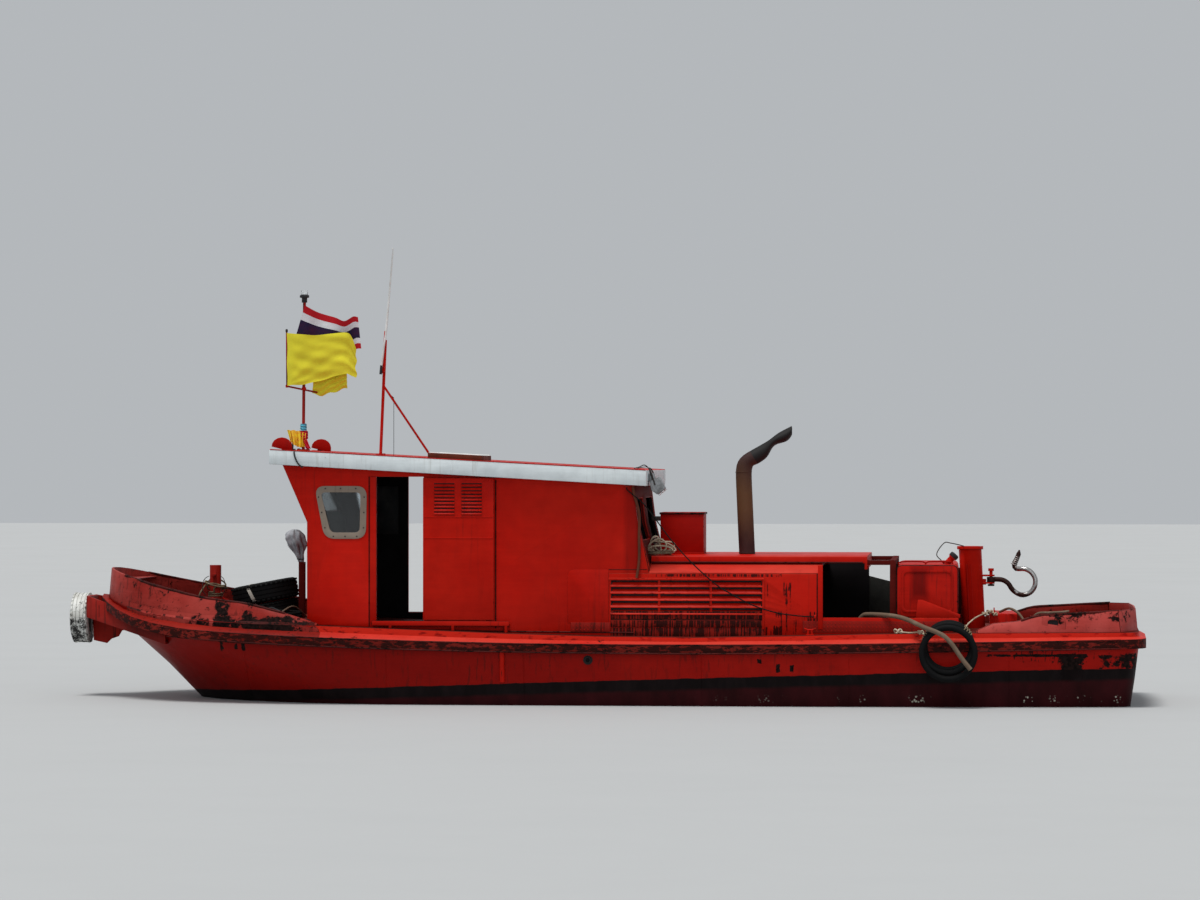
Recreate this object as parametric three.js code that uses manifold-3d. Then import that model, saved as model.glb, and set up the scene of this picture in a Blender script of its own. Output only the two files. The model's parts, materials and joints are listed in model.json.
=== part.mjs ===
// Small steel harbour tug, 13.1 m over its bow fender, drawn afloat at its own waterline.
// Millimetres. +X runs aft, +Y to starboard, +Z up. The origin lies on the centreline
// at the waterline, midway between the two ends of the fender belt.
import * as THREE from 'three';
import { mergeVertices } from 'three/addons/utils/BufferGeometryUtils.js';
import Module from 'manifold-3d';

const wasm = await Module();
wasm.setup();

// Driving dimensions of the whole boat
const GAP = 0.3;
const PLATE = 40;
const WALL_OUT = 1450;
const WALL_IN = WALL_OUT - PLATE;
const UNDER_DECK = 60;

const FINISH = {
  red: new THREE.MeshStandardMaterial({ color: 0xb3190f, roughness: 0.5, metalness: 0.1 }),
  deck: new THREE.MeshStandardMaterial({ color: 0x7d2a1d, roughness: 0.75, metalness: 0.1 }),
  white: new THREE.MeshStandardMaterial({ color: 0xd4d8d8, roughness: 0.55, metalness: 0 }),
  rust: new THREE.MeshStandardMaterial({ color: 0x6b3a28, roughness: 0.85, metalness: 0.2 }),
  steel: new THREE.MeshStandardMaterial({ color: 0x3a3634, roughness: 0.5, metalness: 0.8 }),
  grey: new THREE.MeshStandardMaterial({ color: 0x8c9294, roughness: 0.5, metalness: 0.3 }),
  black: new THREE.MeshStandardMaterial({ color: 0x17181a, roughness: 0.8, metalness: 0 }),
  bronze: new THREE.MeshStandardMaterial({ color: 0x8d6a35, roughness: 0.4, metalness: 0.9 }),
  wood: new THREE.MeshStandardMaterial({ color: 0x6a4526, roughness: 0.6, metalness: 0 }),
  glass: new THREE.MeshStandardMaterial({ color: 0x5d6a6d, roughness: 0.1, metalness: 0 }),
  yellow: new THREE.MeshStandardMaterial({ color: 0xf2d21b, roughness: 0.9, metalness: 0 }),
  flag: new THREE.MeshStandardMaterial({ color: 0xb0283a, roughness: 0.9, metalness: 0 }),
  rope: new THREE.MeshStandardMaterial({ color: 0xc9b894, roughness: 0.95, metalness: 0 }),
  plastic: new THREE.MeshStandardMaterial({ color: 0x4b4a4a, roughness: 0.6, metalness: 0 }),
};

// Sheer: deck is the deck edge, belt the middle of the fender belt, at stations along X.
const SHEER = [
  { x: -6400, deck: 1300, belt: 1215 },
  { x: -5840, deck: 1100, belt: 965 },
  { x: -4900, deck: 990, belt: 812 },
  { x: -3200, deck: 925, belt: 740 },
  { x: -1200, deck: 848, belt: 690 },
  { x: 1000, deck: 808, belt: 670 },
  { x: 3450, deck: 862, belt: 702 },
  { x: 6400, deck: 880, belt: 752 },
];
const BELT_LOW = 670;

// Waterlines of the hull from the keel to the deck edge. z is the height amidships and
// lift the share of the belt's sheer that the line follows. tip and stern are its ends on
// the centreline, beam its half-breadth between bowEnd and runStart, sternBeam the
// half-breadth at the transom with corners of radius corner. entry shapes the bow in
// plan: 0.5 is an ellipse and 1 a parabola.
const LINE_COLUMNS = [
  'z', 'lift', 'tip', 'bowEnd', 'entry', 'beam', 'runStart', 'stern', 'sternBeam', 'corner',
];
const LINES = [
  [-1150, 0, -3300, -3000, 0.5, 60, 3000, 4420, 50, 20],
  [-860, 0, -3900, -3300, 0.5, 60, 3000, 4440, 50, 20],
  [-790, 0, -4120, -1900, 1, 260, 1000, 4446, 60, 20],
  [-610, 0, -4420, -1700, 0.9, 980, 900, 4460, 90, 20],
  [-350, 0, -4760, -1800, 0.8, 1480, 1000, 4480, 240, 60],
  [-170, 0, -4980, -1950, 0.75, 1606, 1300, 4500, 760, 60],
  [-130, 0, -5020, -2000, 0.74, 1630, 1600, 6150, 1330, 160],
  [300, 0.5, -5550, -2700, 0.62, 1725, 2000, 6225, 1500, 220],
  [610, 1, -6270, -3300, 0.54, 1772, 2200, 6268, 1580, 240],
].map((row) => Object.fromEntries(row.map((value, k) => [LINE_COLUMNS[k], value])));
const DECK_LINE = {
  tip: -6290, bowEnd: -3400, entry: 0.5, beam: 1765,
  runStart: 2200, stern: 6280, sternBeam: 1580, corner: 240,
};
const BELT_LINE = {
  tip: -6366, bowEnd: -3400, entry: 0.5, beam: 1852,
  runStart: 2200, stern: 6366, sternBeam: 1655, corner: 300,
};
const PLAN_STEPS = { bow: 10, side: 5, run: 5, corner: 3 };

// Values between the rows of a table, on a smooth curve through them.
function along(table, x, column) {
  const last = table.length - 1;
  let row = table.findIndex((entry) => entry.x > x) - 1;
  if (row < 0) {
    row = x <= table[0].x ? 0 : last - 1;
  }
  const [a, b] = [table[row], table[row + 1]];
  const slope = (k) => {
    const low = table[Math.max(k - 1, 0)];
    const high = table[Math.min(k + 1, last)];
    return (high[column] - low[column]) / (high.x - low.x);
  };
  const span = b.x - a.x;
  const t = THREE.MathUtils.clamp((x - a.x) / span, 0, 1);
  const h = [2 * t ** 3 - 3 * t ** 2 + 1, t ** 3 - 2 * t ** 2 + t, 3 * t ** 2 - 2 * t ** 3, t ** 3 - t ** 2];
  return h[0] * a[column] + h[1] * span * slope(row) + h[2] * b[column] + h[3] * span * slope(row + 1);
}

const deckZ = (x) => along(SHEER, x, 'deck');
const beltZ = (x) => along(SHEER, x, 'belt');

// One side of a waterline in plan, from the bow's tip to the middle of the transom.
function halfPlan(line, grow = 0) {
  const tip = line.tip - grow;
  const beam = line.beam + grow;
  const stern = line.stern + grow;
  const sternBeam = line.sternBeam + grow;
  const points = [];
  const bowLength = line.bowEnd - tip;
  for (let i = 0; i < PLAN_STEPS.bow; i += 1) {
    const t = (i / PLAN_STEPS.bow) ** 1.8;
    points.push([tip + bowLength * t, beam * (1 - (1 - t) ** 2) ** line.entry]);
  }
  for (let i = 0; i < PLAN_STEPS.side; i += 1) {
    points.push([THREE.MathUtils.lerp(line.bowEnd, line.runStart, i / PLAN_STEPS.side), beam]);
  }
  const cornerX = stern - line.corner;
  for (let i = 0; i < PLAN_STEPS.run; i += 1) {
    const u = i / PLAN_STEPS.run;
    points.push([THREE.MathUtils.lerp(line.runStart, cornerX, u), beam - (beam - sternBeam) * u * u]);
  }
  for (let i = 0; i <= PLAN_STEPS.corner; i += 1) {
    const angle = (i / PLAN_STEPS.corner) * (Math.PI / 2) * 0.94;
    points.push([
      cornerX + line.corner * Math.sin(angle) * 0.86,
      sternBeam - line.corner * (1 - Math.cos(angle)),
    ]);
  }
  points.push([stern, 0]);
  return points;
}

// A closed waterline: port side from the tip to the transom, then back on starboard.
function fullPlan(line, grow = 0) {
  const half = halfPlan(line, grow);
  const port = half.map(([x, y]) => [x, -y]);
  const starboard = half.slice(1, -1).reverse();
  return [...port, ...starboard];
}

// Triangles as a geometry whose faces point outwards.
function outwardGeometry(positions, triangles) {
  const corner = (k) => new THREE.Vector3().fromArray(positions, 3 * k);
  let volume = 0;
  for (let i = 0; i < triangles.length; i += 3) {
    const [a, b, c] = [0, 1, 2].map((k) => corner(triangles[i + k]));
    volume += a.dot(b.cross(c));
  }
  const ordered = Array.from(triangles);
  if (volume < 0) {
    ordered.reverse();
  }
  const geometry = new THREE.BufferGeometry();
  geometry.setAttribute('position', new THREE.BufferAttribute(Float32Array.from(positions), 3));
  geometry.setIndex(ordered);
  return geometry;
}

// Skin over a row of closed sections with as many points each. A looped row closes on
// itself, and an open one ends in flat fans.
function skin(sections, looped) {
  const count = sections[0].length;
  const positions = sections.flat(2);
  const triangles = [];
  const spans = looped ? sections.length : sections.length - 1;
  for (let s = 0; s < spans; s += 1) {
    const next = (s + 1) % sections.length;
    for (let k = 0; k < count; k += 1) {
      const [a, b] = [s * count + k, s * count + ((k + 1) % count)];
      const [c, d] = [next * count + k, next * count + ((k + 1) % count)];
      triangles.push(a, b, d, a, d, c);
    }
  }
  if (!looped) {
    const end = (sections.length - 1) * count;
    for (let k = 1; k < count - 1; k += 1) {
      triangles.push(0, k + 1, k, end, end + k, end + k + 1);
    }
  }
  return outwardGeometry(positions, triangles);
}

// Stack of closed waterlines, its lowest and highest laced across from side to side.
function stack(rings) {
  const count = rings[0].length;
  const triangles = [];
  for (let r = 0; r < rings.length - 1; r += 1) {
    for (let k = 0; k < count; k += 1) {
      const [a, b] = [r * count + k, r * count + ((k + 1) % count)];
      const [c, d] = [a + count, b + count];
      triangles.push(a, b, d, a, d, c);
    }
  }
  const top = (rings.length - 1) * count;
  for (let k = 1; k < count / 2; k += 1) {
    const [a, b] = [k, count - k];
    const [c, d] = [k - 1, (count - k + 1) % count];
    triangles.push(a, d, b);
    triangles.push(top + a, top + b, top + d);
    if (k > 1) {
      triangles.push(a, c, d);
      triangles.push(top + a, top + d, top + c);
    }
  }
  const [last, across] = [count / 2, count / 2 - 1];
  triangles.push(last, across, count - across);
  triangles.push(top + last, top + count - across, top + across);
  return outwardGeometry(rings.flat(2), triangles);
}

function hullGeometry(grow) {
  const rings = LINES.map((line) => fullPlan(line, grow).map(([x, y]) => (
    [x, y, line.z + line.lift * (beltZ(x) - BELT_LOW)]
  )));
  const deck = fullPlan(DECK_LINE, grow).map(([x, y]) => [x, y, deckZ(x) + grow]);
  return stack([...rings, deck]);
}

// Everything below the deck's surface, out past the hull's side
function belowDeckGeometry(reach) {
  const deck = fullPlan(DECK_LINE).map(([x, y]) => [x, y, deckZ(x) + GAP]);
  const rim = fullPlan(DECK_LINE, reach).map(([x, y], k) => [x, y, deck[k][2]]);
  const base = rim.map(([x, y]) => [x, y, 0]);
  return stack([base, rim, deck]);
}

// Triangles that use one corner twice are left out.
function dropRepeats(triangles) {
  const kept = [];
  const seen = new Set();
  for (let i = 0; i < triangles.length; i += 3) {
    const [a, b, c] = triangles.slice(i, i + 3);
    const key = [a, b, c].sort((p, q) => p - q).join();
    if (a !== b && b !== c && a !== c && !seen.has(key)) {
      seen.add(key);
      kept.push(a, b, c);
    }
  }
  return kept;
}

function toSolid(geometry) {
  const bare = geometry.clone();
  bare.deleteAttribute('normal');
  bare.deleteAttribute('uv');
  const merged = mergeVertices(bare, 1e-3);
  const positions = merged.attributes.position.array;
  const outward = outwardGeometry(positions, dropRepeats(Array.from(merged.index.array)));
  return new wasm.Manifold(new wasm.Mesh({
    numProp: 3,
    vertProperties: Float32Array.from(positions),
    triVerts: Uint32Array.from(outward.index.array),
  }));
}

function toMesh(name, solid, finish, place = [0, 0, 0]) {
  const { vertProperties, triVerts } = solid.getMesh();
  const geometry = new THREE.BufferGeometry();
  geometry.setAttribute('position', new THREE.BufferAttribute(vertProperties, 3));
  geometry.setIndex(new THREE.BufferAttribute(triVerts, 1));
  geometry.computeVertexNormals();
  const mesh = new THREE.Mesh(geometry, finish);
  mesh.name = name;
  mesh.position.set(...place);
  return mesh;
}

const join = (solids) => solids.reduce((whole, piece) => whole.add(piece));

function box([x0, x1], [y0, y1], [z0, z1]) {
  const geometry = new THREE.BoxGeometry(x1 - x0, y1 - y0, z1 - z0);
  geometry.translate((x0 + x1) / 2, (y0 + y1) / 2, (z0 + z1) / 2);
  return toSolid(geometry);
}

// Round bar or pipe between two points, with its own radius at each end.
function bar(from, to, radius, { endRadius = radius, sides = 16 } = {}) {
  const [a, b] = [new THREE.Vector3(...from), new THREE.Vector3(...to)];
  const run = b.clone().sub(a);
  const geometry = new THREE.CylinderGeometry(endRadius, radius, run.length(), sides);
  geometry.applyQuaternion(new THREE.Quaternion().setFromUnitVectors(
    new THREE.Vector3(0, 1, 0),
    run.clone().normalize(),
  ));
  geometry.translate(...a.add(b).multiplyScalar(0.5).toArray());
  return toSolid(geometry);
}

// Outline with rounded corners: each point is [u, v] or [u, v, radius].
function outline(points) {
  const shape = new THREE.Shape();
  points.forEach(([u, v, radius = 0], k) => {
    const here = new THREE.Vector2(u, v);
    const before = new THREE.Vector2(...points.at(k - 1));
    const after = new THREE.Vector2(...points[(k + 1) % points.length]);
    const start = here.clone().add(before.sub(here).setLength(radius));
    const end = here.clone().add(after.sub(here).setLength(radius));
    if (k === 0) {
      shape.moveTo(start.x, start.y);
    } else {
      shape.lineTo(start.x, start.y);
    }
    if (radius > 0) {
      shape.quadraticCurveTo(u, v, end.x, end.y);
    }
  });
  shape.closePath();
  return shape;
}

const PLANES = {
  sideView: [[1, 0, 0], [0, 0, 1], [0, -1, 0]],
  frontView: [[0, 1, 0], [0, 0, 1], [1, 0, 0]],
  topView: [[1, 0, 0], [0, 1, 0], [0, 0, 1]],
};

// An outline drawn in one view and thickened between two places across that view.
function slab(points, view, [low, high]) {
  const geometry = new THREE.ExtrudeGeometry(outline(points), {
    depth: high - low,
    bevelEnabled: false,
    curveSegments: 4,
  });
  const axes = PLANES[view].map((axis) => new THREE.Vector3(...axis));
  geometry.applyMatrix4(new THREE.Matrix4().makeBasis(...axes));
  const start = view === 'sideView' ? high : low;
  geometry.translate(...axes[2].clone().multiplyScalar(view === 'sideView' ? -start : start).toArray());
  return toSolid(geometry);
}

// Round section carried along a smooth curve.
function pipe(points, radius, { sides = 12, steps = 24, tension = 0.5 } = {}) {
  const path = new THREE.CatmullRomCurve3(
    points.map((point) => new THREE.Vector3(...point)),
    false,
    'catmullrom',
    tension,
  );
  const section = new THREE.Shape();
  for (let k = 0; k < sides; k += 1) {
    const angle = (k / sides) * 2 * Math.PI;
    const [u, v] = [radius * Math.cos(angle), radius * Math.sin(angle)];
    if (k === 0) {
      section.moveTo(u, v);
    } else {
      section.lineTo(u, v);
    }
  }
  section.closePath();
  return toSolid(new THREE.ExtrudeGeometry(section, { steps, extrudePath: path, bevelEnabled: false }));
}

// Ring about the Z axis with an elliptic section, such as a tyre or a coil of rope.
function ring(middle, [halfWidth, halfHeight], { segments = 24, sides = 8, squareness = 1 } = {}) {
  const profile = [];
  for (let k = 0; k <= sides; k += 1) {
    const angle = ((k % sides) / sides) * 2 * Math.PI;
    const [c, s] = [Math.cos(angle), Math.sin(angle)];
    profile.push(new THREE.Vector2(
      middle + halfWidth * Math.sign(c) * Math.abs(c) ** squareness,
      halfHeight * Math.sign(s) * Math.abs(s) ** squareness,
    ));
  }
  const geometry = new THREE.LatheGeometry(profile, segments);
  geometry.rotateX(Math.PI / 2);
  return geometry;
}

// Turned solid about the Z axis from [radius, height] pairs that start and end on it.
function turned(pairs, segments = 20) {
  const profile = pairs.map(([r, h]) => new THREE.Vector2(r, h));
  const geometry = new THREE.LatheGeometry(profile, segments);
  geometry.rotateX(Math.PI / 2);
  return toSolid(geometry);
}

const boat = new THREE.Group();
const put = (name, solid, finish, place) => {
  const mesh = toMesh(name, solid, finish, place);
  boat.add(mesh);
  return mesh;
};

// Hull: one decked body with keel, skeg and rudder shoe, and a well for the engine
const WELL = { x: [150, 2850], y: [-900, 900], floor: -450 };
const SHOE = { x: [4300, 5740], halfWidth: 50, z: [-1150, -1080] };
const SHAFT = { z: -620, boss: [4380, 4480], bossRadius: 72 };
const HOSE_STUB = { x: 2940, y: -1150, top: 872, radius: 24 };
const AFT_TRUNK = { x: [4540, 4780], y: [-560, 560], floor: 640 };
const ABOVE_DECK = 1400;
const hoseStub = bar(
  [HOSE_STUB.x, HOSE_STUB.y, HOSE_STUB.top - UNDER_DECK],
  [HOSE_STUB.x, HOSE_STUB.y, HOSE_STUB.top],
  HOSE_STUB.radius,
  { sides: 10 },
);
const seat = toSolid(hullGeometry(GAP));
const belowDeck = toSolid(belowDeckGeometry(120));
const hull = toSolid(hullGeometry(0))
  .add(box(SHOE.x, [-SHOE.halfWidth, SHOE.halfWidth], SHOE.z))
  .add(bar([SHAFT.boss[0], 0, SHAFT.z], [SHAFT.boss[1], 0, SHAFT.z], SHAFT.bossRadius))
  .add(hoseStub)
  .subtract(box(WELL.x, WELL.y, [WELL.floor, ABOVE_DECK]))
  .subtract(box(AFT_TRUNK.x, AFT_TRUNK.y, [AFT_TRUNK.floor, ABOVE_DECK]));
put('hull', hull, FINISH.red);

// Fender belt: a box rubbing strake all round, its top plate sloping up to the deck edge
const BELT_HALF = 56;
const INTO_HULL = -70;

function beltSolid(grow) {
  const outer = fullPlan(BELT_LINE, grow);
  const inner = fullPlan(DECK_LINE, INTO_HULL - grow);
  const sections = outer.map(([x, y], k) => {
    const [inX, inY] = inner[k];
    return [
      [inX, inY, beltZ(inX) - BELT_HALF - grow],
      [x, y, beltZ(x) - BELT_HALF - grow],
      [x, y, beltZ(x) + BELT_HALF + grow],
      [inX, inY, deckZ(inX) - 16 + grow],
    ];
  });
  return toSolid(skin(sections, true));
}

const beltSeat = beltSolid(2 * GAP);
put('fender_belt', beltSolid(0).subtract(seat), FINISH.red);

// Bulwarks: plates that lean inboard from the deck edge, round the bow and round the stern.
// x is measured along the top edge, top is its height.
const BULWARK_PLATE = 26;
const BOW_TOP = [
  { x: -6250, top: 1583 },
  { x: -5600, top: 1412 },
  { x: -4900, top: 1262 },
  { x: -4300, top: 1186 },
  { x: -3850, top: 1080 },
  { x: -3460, top: 960 },
];
const BOW_TOP_LINE = { tip: -6250, bowEnd: -3400, entry: 0.5, beam: 1640 };
const STERN_TOP = [
  { x: 4350, top: 905 },
  { x: 4480, top: 975 },
  { x: 4860, top: 1018 },
  { x: 5060, top: 1076 },
  { x: 6240, top: 1146 },
];

function bowPlanPoint(line, x, inset) {
  const tip = line.tip + inset;
  const t = THREE.MathUtils.clamp((x - tip) / (line.bowEnd - tip), 0, 1);
  return (line.beam - inset) * (1 - (1 - t) ** 2) ** line.entry;
}

function bowBulwark() {
  const steps = 14;
  const end = BOW_TOP.at(-1).x;
  const half = [];
  for (let i = 0; i <= steps; i += 1) {
    const t = (i / steps) ** 1.8;
    const at = (line, inset) => {
      const x = THREE.MathUtils.lerp(line.tip + inset, end, t);
      return [x, bowPlanPoint(line, x, inset)];
    };
    const [footX, footY] = at(DECK_LINE, 8);
    const [topX, topY] = at(BOW_TOP_LINE, 0);
    const [inTopX, inTopY] = at(BOW_TOP_LINE, BULWARK_PLATE);
    const [inFootX, inFootY] = at(DECK_LINE, 8 + BULWARK_PLATE);
    const top = along(BOW_TOP, topX, 'top');
    half.push([
      [footX, -footY, deckZ(footX) - UNDER_DECK],
      [topX, -topY, top],
      [inTopX, -inTopY, top],
      [inFootX, -inFootY, deckZ(inFootX) - UNDER_DECK],
    ]);
  }
  const mirrored = half.slice(1).map((section) => section.map(([x, y, z]) => [x, -y, z]));
  const wall = toSolid(skin([...half.reverse(), ...mirrored], false));
  const hookEnd = -5860;
  const hookWide = bowPlanPoint(BOW_TOP_LINE, hookEnd, 12);
  const hookMid = bowPlanPoint(BOW_TOP_LINE, -6130, 12);
  const breasthook = slab([
    [-6232, 0], [-6130, hookMid], [hookEnd, hookWide], [hookEnd, -hookWide], [-6130, -hookMid],
  ], 'topView', [1440, 1452]);
  return wall.add(breasthook).subtract(belowDeck);
}

// Point a given share of the way along a waterline, from where it passes x = start to the stern
function pointAlong(points, start, share) {
  const path = points.filter(([x]) => x > start).map(([x, y]) => new THREE.Vector2(x, y));
  const before = points.filter(([x]) => x <= start).at(-1);
  const ratio = (start - before[0]) / (path[0].x - before[0]);
  path.unshift(new THREE.Vector2(start, THREE.MathUtils.lerp(before[1], path[0].y, ratio)));
  const line = new THREE.CurvePath();
  path.slice(1).forEach((point, k) => line.add(new THREE.LineCurve(path[k], point)));
  return line.getPoint(share);
}

const STERN_SHARES = [0, 0.06, 0.14, 0.24, 0.34, 0.5, 0.7, 0.86, 0.95, 1];
const TRANSOM_HALF = 900;

function sternBulwark() {
  const footLine = halfPlan(DECK_LINE, -8);
  const topLine = halfPlan({ ...DECK_LINE, beam: 1660, stern: 6240, sternBeam: 1515, corner: 220 });
  const inward = ({ x, y }) => [
    x - (y < TRANSOM_HALF ? BULWARK_PLATE : BULWARK_PLATE / 2),
    y * (1 - BULWARK_PLATE / DECK_LINE.sternBeam),
  ];
  const half = STERN_SHARES.map((share) => {
    const foot = pointAlong(footLine, STERN_TOP[0].x, share);
    const crest = pointAlong(topLine, STERN_TOP[0].x, share);
    const [inFootX, inFootY] = inward(foot);
    const [inCrestX, inCrestY] = inward(crest);
    const top = along(STERN_TOP, crest.x, 'top');
    return [
      [foot.x, -foot.y, deckZ(foot.x) - UNDER_DECK],
      [crest.x, -crest.y, top],
      [inCrestX, -inCrestY, top],
      [inFootX, -inFootY, deckZ(inFootX) - UNDER_DECK],
    ];
  });
  const mirrored = half.slice(0, -1).reverse().map((section) => section.map(([x, y, z]) => [x, -y, z]));
  return toSolid(skin([...half, ...mirrored], false)).subtract(belowDeck);
}

put('bow_bulwark', bowBulwark(), FINISH.red);
put('stern_bulwark', sternBulwark(), FINISH.red);

// Bow knee: an open box bracket under the flare with a web plate below it, and the tyre
// that it carries as a pushing fender
const KNEE = { front: -6520, back: -5350, frontHalf: 300, backHalf: 1300, plate: 30 };
const KNEE_FRONT_Z = [975, 1238];
const KNEE_BACK_Z = [690, 926];

function kneeBox(inset, raise) {
  const section = (x, half, [low, high]) => [
    [x, -half, low], [x, half, low], [x, half, high], [x, -half, high],
  ];
  const { front, back, frontHalf, backHalf } = KNEE;
  return toSolid(skin([
    section(front + inset, frontHalf - inset, [KNEE_FRONT_Z[0] + inset, KNEE_FRONT_Z[1] + raise]),
    section(back, backHalf - inset, [KNEE_BACK_Z[0] + inset, KNEE_BACK_Z[1] + raise]),
  ], false));
}

const kneeWeb = slab([
  [-6495, 1010], [-6492, 682], [-6326, 646], [-6270, 700],
  [-6180, 730], [-6140, 800], [-5900, 860], [-5900, 1010],
], 'sideView', [-12, 12]);
const knee = kneeBox(0, 0)
  .subtract(kneeBox(KNEE.plate, 400))
  .add(kneeWeb)
  .subtract(seat)
  .subtract(beltSeat);
put('bow_knee', knee, FINISH.red);

const BOW_TYRE = { middle: 222, section: [83, 110], z: 960 };
const bowTyre = ring(BOW_TYRE.middle, BOW_TYRE.section, { squareness: 0.7 });
bowTyre.rotateY(Math.PI / 2);
put('bow_fender_tyre', toSolid(bowTyre), FINISH.white, [
  KNEE.front - GAP - BOW_TYRE.section[1], 0, BOW_TYRE.z,
]);

// Bow bitt: a pipe on a conical foot, with its cross pin
const BITT = { x: -4975, y: 0, radius: 71, top: 1610, foot: 160, pinZ: 1490, pinReach: 170 };
const bittDeck = deckZ(BITT.x);
const bittFoot = [BITT.x, BITT.y, bittDeck - UNDER_DECK];
const bitt = join([
  bar(bittFoot, [BITT.x, BITT.y, BITT.top], BITT.radius, { sides: 20 }),
  bar(bittFoot, [BITT.x, BITT.y, bittDeck + 300], BITT.foot, { endRadius: BITT.radius }),
  bar([BITT.x, -BITT.pinReach, BITT.pinZ], [BITT.x, BITT.pinReach, BITT.pinZ], 22, { sides: 12 }),
]).subtract(seat);
put('bow_bitt', bitt, FINISH.red);

// Two spare tyres stacked on the foredeck, the upper one a little askew
const SPARES = { middle: 300, below: [105, 90], above: [105, 105], x: -4305, y: -300, z: 1052, tilt: -0.187 };
const spareBelow = ring(SPARES.middle, SPARES.below, { squareness: 0.75 });
const spare = ring(SPARES.middle, SPARES.above, { squareness: 0.75 });
spareBelow.translate(SPARES.x + 20, SPARES.y, SPARES.z);
spare.rotateY(SPARES.tilt);
spare.translate(SPARES.x, SPARES.y, SPARES.z + 240);
put('deck_tyres', toSolid(spareBelow).add(toSolid(spare)).subtract(belowDeck), FINISH.black);

// Post ahead of the wheelhouse with a bundle wrapped over its head
const STAND = { x: -3835, y: -400, half: 38, top: 1660 };
put('bow_stand', box(
  [STAND.x - STAND.half, STAND.x + STAND.half],
  [STAND.y - STAND.half, STAND.y + STAND.half],
  [deckZ(STAND.x) - UNDER_DECK, STAND.top],
).subtract(seat), FINISH.deck);
put('stand_cover', turned([
  [0, 0], [70, 0], [105, 60], [118, 200], [100, 330], [55, 395], [0, 400],
], 14), FINISH.plastic, [-3925, STAND.y, STAND.top + GAP]);

// Wheelhouse: four plate walls and a roof slab that slopes down aft
const ROOF = { front: -4042, aft: 456, half: 1600, frontZ: [2850, 3027], aftZ: [2592, 2781] };
const roofUnder = (x) => THREE.MathUtils.mapLinear(x, ROOF.front, ROOF.aft, ROOF.frontZ[0], ROOF.aftZ[0]);
const roofTop = (x) => THREE.MathUtils.mapLinear(x, ROOF.front, ROOF.aft, ROOF.frontZ[1], ROOF.aftZ[1]);
const FRONT = { x: -3609, knuckle: 2160, topX: -3905 };
const AFT_WALL = [[292, 2600], [350, 2140], [480, 1640], [480, 700]];
const CASING_TOP = 1556;
const LOUVRE_X = 0;

put('wheelhouse_roof', slab([
  [ROOF.front, ROOF.frontZ[0]],
  [ROOF.aft, ROOF.aftZ[0]],
  [ROOF.aft, ROOF.aftZ[1]],
  [ROOF.front, ROOF.frontZ[1]],
], 'sideView', [-ROOF.half, ROOF.half]), FINISH.white);

const DOORWAY = { x: [-2774, -2209], z: [985, 2700] };
const SIDE_WINDOW = [[-3450, 2520, 60], [-3330, 2030, 60], [-2970, 2030, 60], [-2958, 2520, 60]];

// Eye and cleat that hold the two ends of the slack line on the port side
const LINE_EYE = { x: 222, z: 2578 };
const LINE_CLEAT = { x: 2434, z: 1050 };
const LINE_LUG = [-WALL_OUT - 44, -WALL_OUT + 5];

function sideWall(side) {
  const across = side < 0 ? [-WALL_OUT, -WALL_IN] : [WALL_IN, WALL_OUT];
  const low = 700;
  const panel = slab([
    [FRONT.x, low],
    [FRONT.x, FRONT.knuckle],
    [FRONT.topX, roofUnder(FRONT.topX) - GAP],
    [AFT_WALL[0][0], roofUnder(AFT_WALL[0][0]) - GAP],
    AFT_WALL[1],
    [AFT_WALL[2][0], CASING_TOP + GAP],
    [LOUVRE_X - GAP, CASING_TOP + GAP],
    [LOUVRE_X - GAP, low],
  ], 'sideView', across);
  const door = box(DOORWAY.x, across, DOORWAY.z);
  const window = slab(SIDE_WINDOW, 'sideView', [across[0] - 10, across[1] + 10]);
  const wall = panel.subtract(door).subtract(window).subtract(seat);
  const { x, z } = LINE_EYE;
  return side < 0 ? wall.add(box([x - 16, x + 16], LINE_LUG, [z, z + 14])) : wall;
}

const GLASS = 8;

function sideGlass(side) {
  const shrink = SIDE_WINDOW.map(([x, z, r], k) => [
    x + (k < 2 ? GAP : -GAP), z + (k === 1 || k === 2 ? GAP : -GAP), r,
  ]);
  const middle = side * (WALL_OUT - PLATE / 2);
  return slab(shrink, 'sideView', [middle - GLASS / 2, middle + GLASS / 2]);
}

put('wheelhouse_port_side', sideWall(-1), FINISH.red);
put('wheelhouse_starboard_side', sideWall(1), FINISH.red);
put('port_side_glass', sideGlass(-1), FINISH.glass);
put('starboard_side_glass', sideGlass(1), FINISH.glass);

// The front wall is upright to the knuckle and rakes forward above it, where its two
// panes stand. FRONT_PANE gives a pane's span across the boat and up the rake.
const INSIDE = WALL_IN - GAP;
const FRONT_PANE = { y: [90, 1230], z: [2270, 2730] };
const rakeX = (z) => THREE.MathUtils.mapLinear(z, FRONT.knuckle, roofUnder(FRONT.topX), FRONT.x, FRONT.topX);
const frontWall = slab([
  [FRONT.x, 700],
  [FRONT.x, FRONT.knuckle],
  [FRONT.topX, roofUnder(FRONT.topX) - GAP],
  [FRONT.topX + PLATE, roofUnder(FRONT.topX + PLATE) - GAP],
  [FRONT.x + PLATE, FRONT.knuckle],
  [FRONT.x + PLATE, 700],
], 'sideView', [-INSIDE, INSIDE]);
const paneHole = (side, trim) => {
  const [low, high] = FRONT_PANE.z;
  const across = FRONT_PANE.y.map((y) => side * y).sort((a, b) => a - b);
  return slab([
    [rakeX(low + trim) - 60, low + trim], [rakeX(low + trim) + 120, low + trim],
    [rakeX(high - trim) + 120, high - trim], [rakeX(high - trim) - 60, high - trim],
  ], 'sideView', [across[0] + trim, across[1] - trim]);
};
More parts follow.
